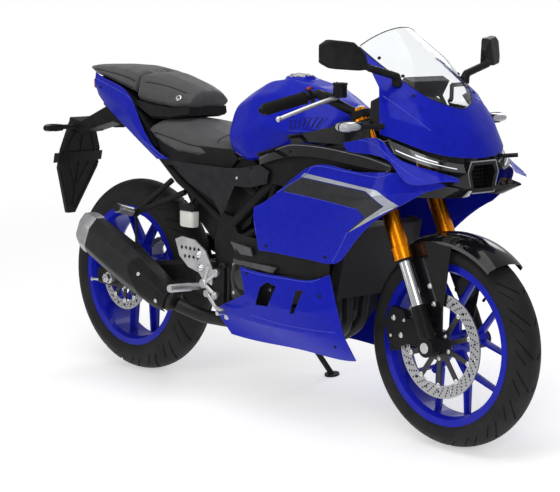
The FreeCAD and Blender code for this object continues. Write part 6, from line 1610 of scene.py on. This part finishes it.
SMOOTH_SKINS = (
    SmoothSkin("fuel_tank", Body.CHASSIS, PAINT, "tank_blue", voxel=4.5, passes=70,
               kept=(((735, 0, 1000), 58),)),
    SmoothSkin("mirrors", Body.CHASSIS, PLASTIC_BLACK, "trim_black", voxel=2.5, passes=14),
    SmoothSkin("silencer", Body.CHASSIS, SILENCER_COAT, "silencer_black", voxel=3, passes=24),
    SmoothSkin("silencer_cap", Body.CHASSIS, END_CAP, "cap_silver", voxel=2, passes=6),
)


@dataclass
class Cushion:
    """A padded seat: its plain solid, blown up as a stuffed cover and stitched."""

    node: str
    seams: tuple[tuple[Point, ...], ...]
    fill: float = 0.6
    voxel: float = 5
    shrink: float = 2.5
    pressure: float = 4
    most: float = 7
    frames: int = 20
    evenings: int = 6
    slot: str = "seat_vinyl"

    def remeshed(self) -> bpy.types.Object:
        """The solid as an even mesh, drawn in a little."""
        made = even_copy(self.node, self.node + "_cover", self.voxel)
        normals = [vertex.normal.copy() for vertex in made.data.vertices]
        for vertex, normal in zip(made.data.vertices, normals):
            vertex.co -= normal * self.shrink * MM
        return made

    def inflate(self, piece: bpy.types.Object) -> None:
        """Blows the cover up for a few frames and limits how far it moves."""
        before = [vertex.co.copy() for vertex in piece.data.vertices]
        cloth = piece.modifiers.new("cover", "CLOTH")
        cloth.settings.use_pressure = True
        cloth.settings.uniform_pressure_force = self.pressure
        cloth.settings.quality = 5
        cloth.settings.tension_stiffness = 30
        cloth.settings.compression_stiffness = 30
        cloth.settings.effector_weights.gravity = 0
        for step in range(1, self.frames + 1):
            bpy.context.scene.frame_set(step)
        graph = bpy.context.evaluated_depsgraph_get()
        after = piece.evaluated_get(graph).to_mesh()
        moved = [vertex.co.copy() for vertex in after.vertices]
        piece.evaluated_get(graph).to_mesh_clear()
        piece.modifiers.clear()
        bpy.context.scene.frame_set(1)
        for vertex, start, end in zip(piece.data.vertices, before, moved):
            step = end - start
            if step.length > self.most * MM:
                step = step.normalized() * self.most * MM
            vertex.co = start + step

    def soften(self, piece: bpy.types.Object) -> None:
        """Evens the cover and divides it once."""
        shaped = bmesh.new()
        shaped.from_mesh(piece.data)
        for _ in range(self.evenings):
            bmesh.ops.smooth_vert(
                shaped, verts=shaped.verts, factor=0.5, use_axis_x=True, use_axis_y=True,
                use_axis_z=True)
        shaped.to_mesh(piece.data)
        shaped.free()
        finer = piece.modifiers.new("finer", "SUBSURF")
        finer.levels = 1
        finer.render_levels = 1
        settle(piece)

    def build(self) -> None:
        """Makes the cushion with its stitched seams."""
        piece = self.remeshed()
        self.inflate(piece)
        self.soften(piece)
        stand_in(piece, self.node, Body.CHASSIS, VINYL)
        self.stitch(piece)

    def stitch(self, piece: bpy.types.Object) -> None:
        """Lays piping and a row of stitches along each seam, on the cover."""
        tree = BVHTree.FromPolygons(
            [vertex.co for vertex in piece.data.vertices],
            [tuple(face.vertices) for face in piece.data.polygons])
        back = STAND.inverted()
        piping, thread = Draft(), Draft()
        for seam in self.seams:
            line = []
            for point in smooth_line(list(seam), 14):
                found, normal, _, _ = tree.find_nearest(placed(point))
                line.append(((back @ found) / MM, (back.to_3x3() @ normal).normalized()))
            piping.tube([point - out * 0.5 for point, out in line], 1.7, 8, 1)
            for (point, out), (after, _) in zip(line[::2], line[1::2]):
                ahead = (after - point).normalized()
                aside = out.cross(ahead) * 5
                thread.tube(
                    [point + aside + out * 0.2, point + aside + ahead * 4.5 + out * 0.2], 0.5, 6, 1)
        piping.piece(self.node + "_piping", PLASTIC_BLACK)
        thread.piece(self.node + "_stitches", THREAD)


SEATS = (
    Cushion("rider_seat", (
        ((200, -130, 803), (300, -133, 790), (400, -130, 775),
         (500, -108, 772), (548, -78, 768)),
        ((200, 130, 803), (300, 133, 790), (400, 130, 775),
         (500, 108, 772), (548, 78, 768)),
        ((470, -98, 790), (462, -50, 810), (460, 0, 815),
         (462, 50, 810), (470, 98, 790)),
    ), most=8),
    Cushion("pillion_pad", (
        ((-240, -44, 981), (-120, -74, 977), (0, -96, 968),
         (74, -102, 955)),
        ((-240, 44, 981), (-120, 74, 977), (0, 96, 968), (74, 102, 955)),
    ), voxel=4, shrink=1.5, most=5),
    Cushion("pillion_hump", (
        ((120, -92, 950), (200, -82, 945), (290, -68, 925)),
        ((120, 92, 950), (200, 82, 945), (290, 68, 925)),
    ), voxel=4, shrink=1.5, most=5),
)


# Bodywork trim


@dataclass
class FairingStripes:
    """The silver and dark stripes that end in an arrow on each side panel."""

    silver: tuple[tuple[Line, Line], ...] = (
        (((991, 750), (1276, 728), (1321, 708), (1362, 694)),
         ((975, 738), (1234, 722), (1282, 697), (1306, 687))),
        (((1362, 694), (1270, 651), (1163, 596)),
         ((1306, 687), (1236, 645), (1162, 594))),
    )
    dark: tuple[tuple[Line, Line], ...] = (
        (((974, 736), (1232, 720), (1280, 695), (1304, 685)),
         ((882, 692), (1201, 670), (1222, 657), (1236, 647))),
        (((1304, 685), (1236, 644), (1162, 593)),
         ((1236, 652), (1210, 634), (1158, 592))),
    )

    def build(self) -> None:
        """Lays the stripes on both panels."""
        surface = Surface("side_fairings")
        for side, label in ((RIGHT, "right"), (LEFT, "left")):
            for bands, finish, name, lift in ((self.silver, STRIPE_SILVER, "silver", 0.9),
                                              (self.dark, STRIPE_DARK, "dark", 0.7)):
                for place, (upper, lower) in enumerate(bands):
                    strip = surface.strip(upper, lower, side, 60, 8, lift, -222)
                    strip.piece(f"stripe_{name}_{label}_{place}", finish, smooth=60)


@dataclass
class PanelEdges:
    """Light grey beads along the upper and lower edges of the dark knee panels, a painted highlight
    on those edges.
    """

    knee_top: tuple[Point, ...] = (
        (742, 167, 767), (818, 191, 796), (869, 191, 813), (921, 191, 823), (1030, 205, 826),
        (1138, 212, 822), (1240, 222, 814), (1328, 226, 799))
    knee_bottom: tuple[Point, ...] = (
        (877, 191, 782), (950, 208, 786), (1022, 215, 787), (1150, 220, 783), (1280, 225, 778),
        (1322, 226, 785))

    def build(self) -> None:
        """Lays the edge beads on the panels of both sides."""
        surface = Surface("knee_panels")
        for name, line in (("upper", self.knee_top), ("lower", self.knee_bottom)):
            edge = Draft()
            for side in SIDES:
                path = []
                for point in smooth_line(list(line), 8):
                    spot, _ = surface.hit((point.x, side * 400, point.z), (0, -side, 0))
                    if abs(spot.y) < 300:
                        path.append(spot)
                edge.tube(path, 0.9, 6, 1)
            # The beads are a painted highlight on the knee panels' edges.
            edge.piece(f"knee_panel_{name}_edge", EDGE_HIGHLIGHT_GREY)


@dataclass(frozen=True)
class ScrewSet:
    """Screw heads of one kind, found from the side on the nodes that they hold."""

    name: str
    finish: Finish
    spots: tuple[tuple[str, float, float, float], ...]
    corners: int = 18
    body: Body = Body.CHASSIS
    reach: float = 400
    places: tuple[int, ...] = SIDES
    level: bool = False

    def build(self) -> None:
        """Sets a screw at every spot that a line from the side meets."""
        screws = Draft()
        for nodes, along, up, radius in self.spots:
            surface = Surface(*nodes.split())
            for side in self.places:
                spot, out = surface.side(along, up, side, 0)
                if abs(spot.y) < self.reach:
                    screws.bolt(spot, (0, side, 0) if self.level else out, radius, self.corners)
        screws.piece(self.name, self.finish, self.body)


SCREWS = (
    ScrewSet("mudguard_screws", ZINC, (
        ("front_fender", 1345, 457, 6.5), ("front_fender", 1361, 408, 6.5),
    ), body=Body.STEERING, reach=140, level=True),
    ScrewSet("panel_screws_dark", PLASTIC_BLACK, (
        ("side_fairings", 820, 520, 4), ("side_fairings", 1060, 515, 4),
        ("lower_cowls", 720, 425, 4), ("lower_cowls", 1040, 400, 4),
        ("lower_cowls", 1060, 250, 4), ("side_covers", 345, 705, 4),
        ("side_covers", 700, 735, 4), ("knee_panels", 905, 803, 4),
        ("tail_panels", -120, 925, 4), ("nose_cowl", 1313, 985, 4),
    )),
    ScrewSet("panel_screws_bright", ZINC, (
        ("lower_cowls", 590, 270, 7), ("side_covers", 640, 700, 3.5),
    )),
    ScrewSet("screen_screws", SATIN_BLACK, (
        ("windscreen nose_cowl", 1180, 1082, 4),
        ("windscreen nose_cowl", 1262, 1036, 4),
    ), corners=16, reach=250),
    ScrewSet("caliper_screws", ZINC, (
        ("front_brake", 1222, 352, 6), ("front_brake", 1252, 306, 6),
        ("front_brake", 1212, 300, 3.5), ("front_brake", 1262, 350, 3.5),
    ), corners=6, body=Body.STEERING, reach=200, places=(RIGHT,)),
)


@dataclass
class TankTrim:
    """The filler ring's screws and the cap's lock."""

    centre: Point = (735, 0, 1000)
    ring: float = 39.5
    screws: int = 6

    def build(self) -> None:
        """Makes what shows on top of the tank."""
        tank = Surface("fuel_tank")
        heads = Draft()
        for step in range(self.screws):
            turn = math.tau * (step + 0.5) / self.screws
            start = (self.centre[0] + math.cos(turn) * self.ring, math.sin(turn) * self.ring, 1100)
            spot, out = tank.hit(start, (0, 0, -1))
            heads.lathe(spot, out, ((-0.4, 3.4), (1.6, 3.4), (2.2, 2.8), (2.2, 1.6), (1, 1.4)), 14)
        heads.piece("filler_ring_screws", ZINC)
        cap = Surface("fuel_cap")
        spot, out = cap.hit((self.centre[0] - 4, 0, 1100), (0, 0, -1))
        lock = Draft().lathe(
            spot, out, ((-0.4, 12), (1.6, 12), (2.4, 11), (2.4, 4), (1.2, 3.6)), 28)
        lock.plate([spot + out * 2.4 + Vector((x, y, 0)) for x, y in
                    ((-6, -1.2), (6, -1.2), (6, 1.2), (-6, 1.2))], out * 0.8)
        lock.piece("filler_lock", SILVER, Body.CAP)


@dataclass
class NoseTrim:
    """Light strips and backing of the lamps, the intake's rim and mesh, the screen's edge."""

    lamp_upper: Line = ((1302, 864), (1355, 846), (1415, 820), (1452, 806))
    lamp_lower: Line = ((1328, 836), (1380, 818), (1432, 801), (1464, 789))
    slit: tuple[Point, ...] = (
        (1300, 196, 858), (1368, 178, 836), (1425, 138, 814), (1462, 74, 800))
    duct: Line = ((50, 812), (62, 782), (46, 726))
    duct_face: float = 1466
    screen_edge: tuple[Point, ...] = (
        (1106, 125, 1113), (1116, 100, 1130), (1132, 68, 1148), (1146, 34, 1160), (1151, 0, 1164))
    screen_foot: tuple[Point, ...] = (
        (1111, 134, 1110), (1200, 130, 1060), (1292, 114, 1010), (1350, 74, 972), (1384, 0, 950))

    def band(self, start: float, end: float, first: float, last: float,
             runs: int = 12) -> list[Line]:
        """The part of a lamp between two heights of its slit and two places along it."""
        shares = [first + (last - first) * run / runs for run in range(runs + 1)]
        return [tuple(tuple(between(on_line(self.lamp_upper, share),
                                    on_line(self.lamp_lower, share), height))
                      for share in shares) for height in (start, end)]

    def lamps(self) -> None:
        """A thin light strip along each lamp and a short row of lights above it."""
        surface = Surface("headlamps")
        for side, label in ((RIGHT, "right"), (LEFT, "left")):
            for name, start, end, first, last in (("strip", 0.66, 0.8, 0.04, 0.97),
                                                  ("row", 0.26, 0.46, 0.42, 0.7)):
                upper, lower = self.band(start, end, first, last)
                film = surface.strip(upper, lower, side, 40, 2, 0.6)
                film.piece(f"light_{name}_{label}", LIGHT_STRIP, smooth=60)
        backing = Draft()
        for side in SIDES:
            backing.grid([[(x - 12, side * (y - 14), z + lift) for x, y, z in self.slit]
                          for lift in (26, -26)])
        backing.piece("lamp_backing", PLASTIC_BLACK, smooth=60)

    def intake(self) -> None:
        """A thin light grey rim round the intake, a painted highlight on its edge, and slats inside
        it.
        """
        left = [Vector((self.duct_face, y, z)) for y, z in self.duct]
        loop = left + [Vector((point.x, -point.y, point.z)) for point in reversed(left)]
        rim = Draft()
        for start, end in zip(loop, loop[1:] + loop[:1]):
            rim.tube([start, end], 1.8, 8, 1)
        rim.piece("intake_rim_highlight", EDGE_HIGHLIGHT_GREY)
        slats = Draft()
        for step in range(6):
            height = 742 + step * 11
            half = 36 + 10 * min(step, 4) / 4
            slats.tube([(1432, -half, height), (1432, half, height)], 1.5, 6, 1)
        for step in range(-3, 4):
            slats.tube([(1432, step * 11, 738), (1432, step * 11, 800)], 1.1, 6, 1)
        slats.piece("intake_mesh", PLASTIC_BLACK)

    def screen(self) -> None:
        """The screen's dark edge."""
        edge = Draft()
        for line in (self.screen_edge, self.screen_foot):
            path = list(line) + [(x, -y, z) for x, y, z in reversed(line[:-1])]
            edge.tube(path, 1.6, 8, 5)
        edge.piece("screen_edge", GLOSS_BLACK)

    def build(self) -> None:
        """Makes everything on the nose."""
        self.lamps()
        self.intake()
        self.screen()


@dataclass
class MirrorGlass:
    """The glass that faces the rider in each mirror."""

    near: float = 268
    width: float = 84
    low: float = 1072
    height: float = 50
    behind: float = 1000
    columns: int = 14
    lift: float = 0.6

    def build(self) -> None:
        """Lays the glass on the housings' rear faces."""
        surface = Surface("mirrors")
        for side, label in ((RIGHT, "right"), (LEFT, "left")):
            glass = surface.film(
                (self.behind, side * self.near, self.low), (0, side * self.width, 0),
                (0, 0, self.height), self.columns, (1, 0, 0), self.lift)
            glass.piece(f"mirror_glass_{label}", MIRROR_GLASS, smooth=60)


@dataclass
class Clocks:
    """The dial panel that the rider sees."""

    half: float = 62
    behind: float = 1100
    foot: float = 1060
    height: float = 40
    columns: int = 8
    heading: Point = (0.82, 0, -0.57)

    def build(self) -> None:
        """Lays a dark dial and its display on the clocks' rear face."""
        surface = Surface("clocks")
        for name, share, low, high, lift, finish in (
                ("dial_face", 1, 0.12, 0.88, 0.8, DIAL),
                ("dial_display", 0.55, 0.3, 0.72, 1.4, DIAL_PANEL)):
            half = self.half * share
            panel = surface.film(
                (self.behind, -half, self.foot + self.height * low), (0, half * 2, 0),
                (0, 0, self.height * (high - low)), self.columns, self.heading, lift)
            panel.piece(name, finish, smooth=60)


# Engine, exhaust and feet


@dataclass
class EngineTrim:
    """Cover screws, the clutch cover's rings and the oil filler."""

    clutch: Point = (680, -168, 400)
    cap_out: float = 176
    ring_radius: float = 62
    cover: Line = (
        (615, 345), (615, 438), (650, 474), (706, 480), (768, 442), (789, 378), (755, 316),
        (692, 291), (648, 300))

    def build(self) -> None:
        """Makes the engine covers' fittings."""
        out = (0, -1, 0)
        ring = self.ring_radius
        x, y, z = self.clutch
        rings = Draft().lathe(
            (x, -self.cap_out, z), out,
            ((-1, 30), (0.6, 30), (1.2, 29), (1.2, 25), (0.4, 24), (0.4, 10), (1.4, 9)), 44)
        rings.lathe(
            (x, y, z), out, ((-1, ring - 2), (1.6, ring - 3), (1.6, ring - 8), (0, ring - 9)), 52)
        rings.piece("clutch_cover_rings", CAST_GREY)
        surface = Surface("engine")
        screws = Draft()
        for along, up in self.cover:
            inward = Vector((x - along, 0, z - up)).normalized() * 7
            spot, way = surface.side(along + inward.x, up + inward.z, RIGHT, 0)
            if way.y < -0.9:
                screws.bolt(spot, way, 4.2, 6)
        for angle in even_turns(8):
            spot, way = surface.side(
                830 + math.cos(angle) * 58, 390 + math.sin(angle) * 58, LEFT, 0)
            if way.y > 0.9:
                screws.bolt(spot, way, 4.2, 6)
        screws.piece("engine_cover_screws", ZINC)
        spot, way = surface.side(800, 372, RIGHT, 0)
        filler = Draft().lathe(spot, way, ((-2, 15), (5, 15), (7, 13), (7, 5), (5, 4)), 12)
        filler.piece("oil_filler", PLASTIC_GREY)


@dataclass
class SilencerTrim:
    """The guard wrapped round the silencer's outer side, and its screws."""

    front: Point = (370, -176, 286)
    rear: Point = (-30, -180, 452)
    low: float = math.radians(-62)
    high: float = math.radians(66)
    start: float = 0.03
    reach: tuple[float, ...] = (0.16, 0.3, 0.4, 0.45, 0.47, 0.46, 0.42)
    lift: float = 5
    wall: float = 2.2
    columns: int = 24
    rows: int = 28

    def spot(self, surface: Surface, share: float, turn: float, lift: float) -> Vector:
        """A point off the silencer at a share of its length and a turn round it."""
        front = Vector(self.front)
        along = Vector(self.rear) - front
        middle = front + along * share
        rise = Vector((-along.z, 0, along.x)).normalized()
        rise *= 1 if rise.z > 0 else -1
        way = Vector((0, -math.cos(turn), 0)) + rise * math.sin(turn)
        found, _ = surface.hit(middle + way * 160, -way)
        return found + way * lift

    def build(self) -> None:
        """Makes the guard as a thin pressed plate."""
        surface = Surface("silencer")
        limits = smooth_line(
            [(reach, 0, 0) for reach in self.reach], self.rows // (len(self.reach) - 1) + 1)
        rows = []
        for row in range(self.rows + 1):
            turn = self.low + (self.high - self.low) * row / self.rows
            limit = limits[min(int(row * (len(limits) - 1) / self.rows), len(limits) - 1)].x
            shares = [self.start + (limit - self.start) * column / self.columns
                      for column in range(self.columns + 1)]
            outer = [self.spot(surface, share, turn, self.lift + self.wall) for share in shares]
            inner = [self.spot(surface, share, turn, self.lift) for share in reversed(shares)]
            rows.append(outer + inner)
        Draft().rings(rows).piece("silencer_guard", SATIN_BLACK, smooth=30)
        screws = Draft()
        for share, turn in ((0.1, -0.3), (0.34, 0.5)):
            foot = self.spot(surface, share, turn, self.lift + self.wall)
            above = self.spot(surface, share, turn, self.lift + self.wall + 1)
            screws.bolt(foot, above - foot, 5.5, 18)
        screws.piece("silencer_guard_screws", ZINC)


@dataclass
class FootTrim:
    """Ridges on the pegs, the hanger's screws, and the rear brake's white fluid cup."""

    peg: tuple[Point, Point] = ((476, 205, 353), (486, 298, 358))
    plate: Line = (
        (579.5, 421), (579.5, 313.5), (520, 308.5), (453.5, 329), (448.5, 379), (494, 406.5))
    cup: tuple[float, float] = (407, -154)
    levels: tuple[Point, ...] = (
        (526, 24, 12), (527.5, 30, 16), (532, 32, 17.5), (574, 32.5, 18), (577, 30, 16),
        (577.5, 24, 12))
    lid: tuple[Point, ...] = (
        (577, 26, 13), (578, 33.5, 19), (593, 33.5, 19), (597.5, 31, 17), (598.5, 22, 10))

    def build(self) -> None:
        """Makes the footrests' fittings."""
        ridges = Draft()
        for side in SIDES:
            start, end = (on_side(point, side) for point in self.peg)
            ahead = end - start
            for step in range(9):
                spot = start + ahead * (step / 9)
                ridges.lathe(spot, ahead, ((0, 11), (0.8, 12.6), (4.2, 12.6), (5, 11)), 20)
        ridges.piece("peg_ridges", SILVER)
        surface = Surface("footrests")
        studs = Draft()
        for along, up in ((468, 448), (478, 408)):
            for side in SIDES:
                spot, way = surface.side(along, up, side, 0)
                if abs(spot.y) > 300:
                    continue
                studs.lathe(spot, way, ((-1, 12.5), (2, 12.5), (5.5, 10.5), (7.5, 7), (8, 2)), 28)
        studs.piece("heel_plate_studs", CHROME)
        cup = Draft().rings([self.oval(*level) for level in self.levels])
        cup.piece("rear_fluid_cup", WHITE_CUP)
        lid = Draft().rings([self.oval(*level) for level in self.lid])
        lid.piece("rear_cup_lid", PLASTIC_BLACK)
        self.hangers()

    def oval(self, height: float, along: float, across: float) -> list[Vector]:
        """A rounded oblong round the fluid cup."""
        x, y = self.cup
        return [Vector((x + along * rounded(math.cos(turn), 0.5),
                        y + across * rounded(math.sin(turn), 0.5), height))
                for turn in even_turns(32)]

    def hangers(self) -> None:
        """The forked castings that hold the pegs, over blackened plates."""
        plates, arms = Draft(), Draft()
        for side in SIDES:
            shape = [Vector((x, side * 161.3, z)) for x, z in self.plate]
            plates.plate(shape, (0, -side * 14, 0), 0.06)
            hub = Vector((494, side * 165, 362))
            for tip in ((549, 401), (546, 331), (512, 418)):
                end = Vector((tip[0], side * 164, tip[1]))
                arms.tube([hub, hub.lerp(end, 0.5) + Vector((0, side * 2, 0)), end], 7.5, 14, 3)
                if tip[0] > 520:
                    arms.lathe(
                        end, (0, side, 0),
                        ((-3, 12.5), (7, 12.5), (8.5, 11), (8.5, 8), (6, 7), (6, 2)), 28)
            arms.lathe(hub, (0, side, 0), ((-4, 15), (8, 15), (11, 12.5), (11, 6)), 28)
        plates.piece("hanger_plates", SATIN_BLACK)
        arms.piece("hanger_castings", SILVER)
        pegs = Draft()
        for side in SIDES:
            start = Vector((185, side * 190, 550))
            end = Vector((224, side * 296, 578))
            pegs.lathe(
                start.lerp(end, 0.22), end - start,
                ((0, 13), (2, 15), (8, 14.2), (70, 14), (84, 14.6), (88, 13), (89, 6)), 24)
        pegs.piece("pillion_pegs", SILVER)


@dataclass
class TailTrim:
    """The seat lock and the rear reflector."""

    lock: Point = (271, 0, 913)

    def build(self) -> None:
        """Makes the tail's fittings."""
        hump = Surface("pillion_hump", "tail_core", "tail_panels")
        spot, out = hump.side(self.lock[0], self.lock[2], RIGHT, 0)
        lock = Draft().lathe(spot, out, ((-1, 10), (1.6, 10), (2.6, 8.8), (2.6, 6), (1.4, 5.4)), 28)
        lock.piece("seat_lock", CHROME)
        fender = Surface("rear_fender")
        spot, out = fender.hit((-700, 0, 600), (1, 0, 0))
        reflector = Draft().lathe(spot, out, ((-1, 22), (3, 22), (4, 20.5), (4.2, 8)), 36)
        reflector.piece("rear_reflector", RED_LENS, slot="tail_red")


@dataclass
class Indicators:
    """Pill-shaped lenses on the indicator housings, with their dark rims."""

    spots: tuple[tuple[Point, Point], ...] = (
        ((1240, 300, 902.5), (27, 36, 14)), ((-325, 143, 779), (16, 28, 11)))

    def pill(self, centre: Vector, half: Point) -> Draft:
        """A rounded body about a point."""
        rings = []
        for step in range(1, 16):
            share = -math.cos(math.pi * step / 16)
            width = (1 - abs(share) ** 3) ** (1 / 3)
            rings.append([centre + Vector((half[0] * width * math.cos(turn), half[1] * share,
                                           half[2] * width * math.sin(turn)))
                          for turn in even_turns(28)])
        return Draft().rings(rings)

    def build(self) -> None:
        """Makes the four lenses and their rims."""
        for place, (spot, half) in zip(("front", "rear"), self.spots):
            for side, label in ((RIGHT, "right"), (LEFT, "left")):
                centre = on_side(spot, side)
                lens = self.pill(centre, half)
                lens.piece(f"indicator_lens_{place}_{label}", PALE_LENS, smooth=50)
                ring = [centre + Vector((0, half[1] * 1.01 * rounded(math.cos(turn), 0.66),
                                         half[2] * 1.02 * rounded(math.sin(turn), 0.66)))
                        for turn in even_turns(24)]
                rim = Draft().tube(ring + [ring[0]], 1.6, 8, 1)
                rim.piece(f"indicator_rim_{place}_{label}", PLASTIC_BLACK)


@dataclass
class InnerPanels:
    """Thin dark panels behind the bodywork that close what lies behind it."""

    panels: tuple[tuple[float, Line], ...] = (
        (128, ((210, 800), (250, 700), (330, 712), (560, 712), (600, 752),
                 (560, 778), (400, 776), (300, 790))),
        (158, ((740, 775), (760, 700), (860, 690), (1000, 752),
                 (1100, 768), (1220, 764), (1300, 790), (1280, 846),
                 (1180, 862), (1110, 850), (1080, 812), (960, 806),
                 (850, 790))),
        (118, ((262, 705), (340, 640), (400, 556), (478, 492), (560, 498),
                 (650, 560), (672, 640), (700, 728), (640, 760),
                 (480, 722))),
        (88, ((560, 720), (575, 560), (650, 520), (760, 560), (800, 640),
                (790, 740), (700, 760))),
    )

    def build(self) -> None:
        """Makes the panels on both sides."""
        for place, (across, outline) in enumerate(self.panels):
            panel = Draft()
            for side in SIDES:
                panel.plate(
                    [Vector((x, side * across, z)) for x, z in outline], (0, -side * 2.5, 0), 0.02)
            panel.piece(f"inner_splash_panel_{place}", PLASTIC_BLACK)


@dataclass
class TankVents:
    """The ribbed insert in the tank's front recess."""

    top: Line = ((846, 886), (900, 898), (955, 900))
    foot: Line = ((862, 858), (905, 868), (955, 868))
    slots: int = 7
    margin: float = 0.1
    reach: float = 300

    def build(self) -> None:
        """Lays dark slots and a painted frame on both sides of the tank."""
        surface = Surface("fuel_tank")
        slots, rim = Draft(), Draft()
        corners = self.top + tuple(reversed(self.foot))
        for side in SIDES:
            for slot in range(self.slots):
                share = (slot + 0.5) / self.slots
                ends = on_line(self.top, share), on_line(self.foot, share)
                path = surface.bead(
                    between(*ends, self.margin), between(*ends, 1 - self.margin), side, 0)
                if all(abs(spot.y) < self.reach for spot in path):
                    slots.tube(path, 2, 8, 1)
            for start, end in zip(corners, corners[1:] + corners[:1]):
                path = surface.bead(start, end, side, 0.2)
                if all(abs(spot.y) < self.reach for spot in path):
                    rim.tube(path, 1.1, 6, 1)
        slots.piece("tank_vent_slots", PLASTIC_BLACK)
        rim.piece("tank_vent_frame", PAINT)


@dataclass
class DiscDrillings:
    """Rows of small holes drilled in a brake disc, shown as dark plugs in both faces."""

    wheel: Wheel
    proud: float = 0.08

    def build(self) -> None:
        """Sets the plugs."""
        wheel = self.wheel
        plugs = Draft()
        back = wheel.disc_place - wheel.disc_wall / 2 - self.proud
        through = wheel.disc_wall + self.proud * 2
        for row, reach in enumerate(wheel.drilled):
            for step in range(wheel.drillings):
                turn = math.tau * (step + row / len(wheel.drilled)) / wheel.drillings
                plugs.lathe(wheel.spot(reach, turn, back), (0, 1, 0),
                            ((0, wheel.drill_radius), (through, wheel.drill_radius)), 10)
        plugs.piece(wheel.name + "_disc_drillings", PLASTIC_BLACK, wheel.body)


@dataclass
class HolderRibs:
    """The shelf and the ribs of the plate holder."""

    half: float = 92
    shelf: tuple[float, float] = (652, 690)
    ribs: tuple[Line, ...] = (
        ((-60, 690), (-24, 780)), ((60, 690), (24, 780)), ((-80, 652), (-12, 490)),
        ((80, 652), (12, 490)), ((-40, 652), (0, 560)), ((40, 652), (0, 560)),
        ((0, 780), (0, 500)))

    def build(self) -> None:
        """Makes the shelf across the holder and the ribs on its front."""
        surface = Surface("rear_fender")
        ribs = Draft()
        for rib in self.ribs:
            path = []
            for step in range(9):
                spot, _ = surface.hit((-150, *between(*rib, step / 8)), (-1, 0, 0))
                if spot.x < -250:
                    path.append(spot)
            if len(path) > 1:
                ribs.tube(path, 4, 8, 1)
        ribs.piece("plate_holder_ribs", PLASTIC_BLACK)
        low, high = self.shelf
        section = ((-384, low), (-352, low + 6), (-346, high), (-378, high - 4))
        shelf = Draft().plate(
            [Vector((x, -self.half, z)) for x, z in section], (0, self.half * 2, 0), 0.02)
        shelf.piece("plate_holder_shelf", PLASTIC_BLACK)


@dataclass
class PanelCreases:
    """Raised folds and rolled edges of the painted panels, drawn as the photo shows them, in a
    lighter blue that is a painted highlight along them.
    """

    lines: tuple[tuple[str, float, float, Line], ...] = (
        ("side_fairings", -215, 1.5, (
            (783, 503), (780, 566), (769, 627), (884, 690), (986, 744), (1030, 773),
            (1171, 767), (1273, 764), (1340, 784))),
        ("side_fairings", -222, 1.2, ((885, 690), (1060, 680), (1201, 668))),
        ("side_fairings", -205, 1.5, ((1150, 596), (1110, 532), (1074, 480))),
        ("nose_cowl", -178, 1.6, ((1252, 982), (1300, 962), (1370, 930), (1432, 900))),
        ("lower_cowls", -205, 1.4, ((700, 436), (800, 431), (900, 433), (1000, 437), (1066, 462))),
        ("lower_cowls", -185, 1.4, ((735, 300), (860, 292), (1000, 294), (1090, 300))),
        ("tail_panels", -120, 1.3, ((-140, 905), (-64, 861), (37, 815), (150, 765), (240, 727))),
        ("tail_panels", -120, 1.3, (
            (-110, 955), (0, 925), (60, 905), (110, 868), (200, 785), (280, 727))),
        ("nose_strakes", -215, 1.3, (
            (1180, 862), (1260, 852), (1330, 812), (1400, 780), (1440, 768))),
    )

    def build(self) -> None:
        """Lays each crease on the right panel and its mirror image on the left one."""
        for place, (node, depth, radius, line) in enumerate(self.lines):
            surface = Surface(node)
            crease = Draft()
            for side in SIDES:
                runs: list[list[Vector]] = [[]]
                for point in smooth_line([(x, 0, z) for x, z in line], 8):
                    spot = surface.sighted(point.x, point.z, side, depth, 0)
                    if abs(spot.y) > abs(depth) + 120:
                        continue
                    if runs[-1] and (spot - runs[-1][-1]).length > 60:
                        runs.append([])
                    runs[-1].append(spot)
                for run in runs:
                    if len(run) > 3:
                        crease.tube(run, radius, 8, 1)
            # The creases take the lighter blue as a painted highlight.
            crease.piece(f"panel_crease_highlight_{place}", CREASE_HIGHLIGHT_BLUE)


@dataclass
class OutletFins:
    """The two fins in the air outlet above the lower cowl."""

    fins: tuple[tuple[Point, ...], ...] = (
        ((622, -176, 508), (742, -204, 504), (752, -204, 480), (650, -176, 474)),
        ((640, -180, 458), (860, -208, 460), (846, -208, 443), (645, -180, 444)))

    def build(self) -> None:
        """Makes the fins on both sides."""
        fins = Draft()
        for side in SIDES:
            for outline in self.fins:
                fins.plate([on_side(point, -side) for point in outline], (0, -side * 9, 0), 0.2)
        fins.piece("outlet_fins", FIN_GREY)


def main() -> None:
    """Builds the studio and dresses the bike, piece by piece."""
    logging.basicConfig(level=logging.INFO)
    Studio().build()
    dress_nodes()
    for skin in SMOOTH_SKINS:
        skin.build()
    for kind in (TreadedTyre, WheelTrim, DiscDrillings):
        for wheel in WHEELS:
            kind(wheel).build()
    for part in (HolderRibs(), AxleEnds(), ForkTrim(), HandTrim(), *SEATS, FairingStripes(),
                 PanelEdges(), PanelCreases(), OutletFins(), *SCREWS, TankTrim(), NoseTrim(),
                 MirrorGlass(), Indicators(), InnerPanels(), TankVents(), Clocks(), EngineTrim(),
                 SilencerTrim(), FootTrim(), TailTrim()):
        part.build()


if __name__ == "__main__":
    main()
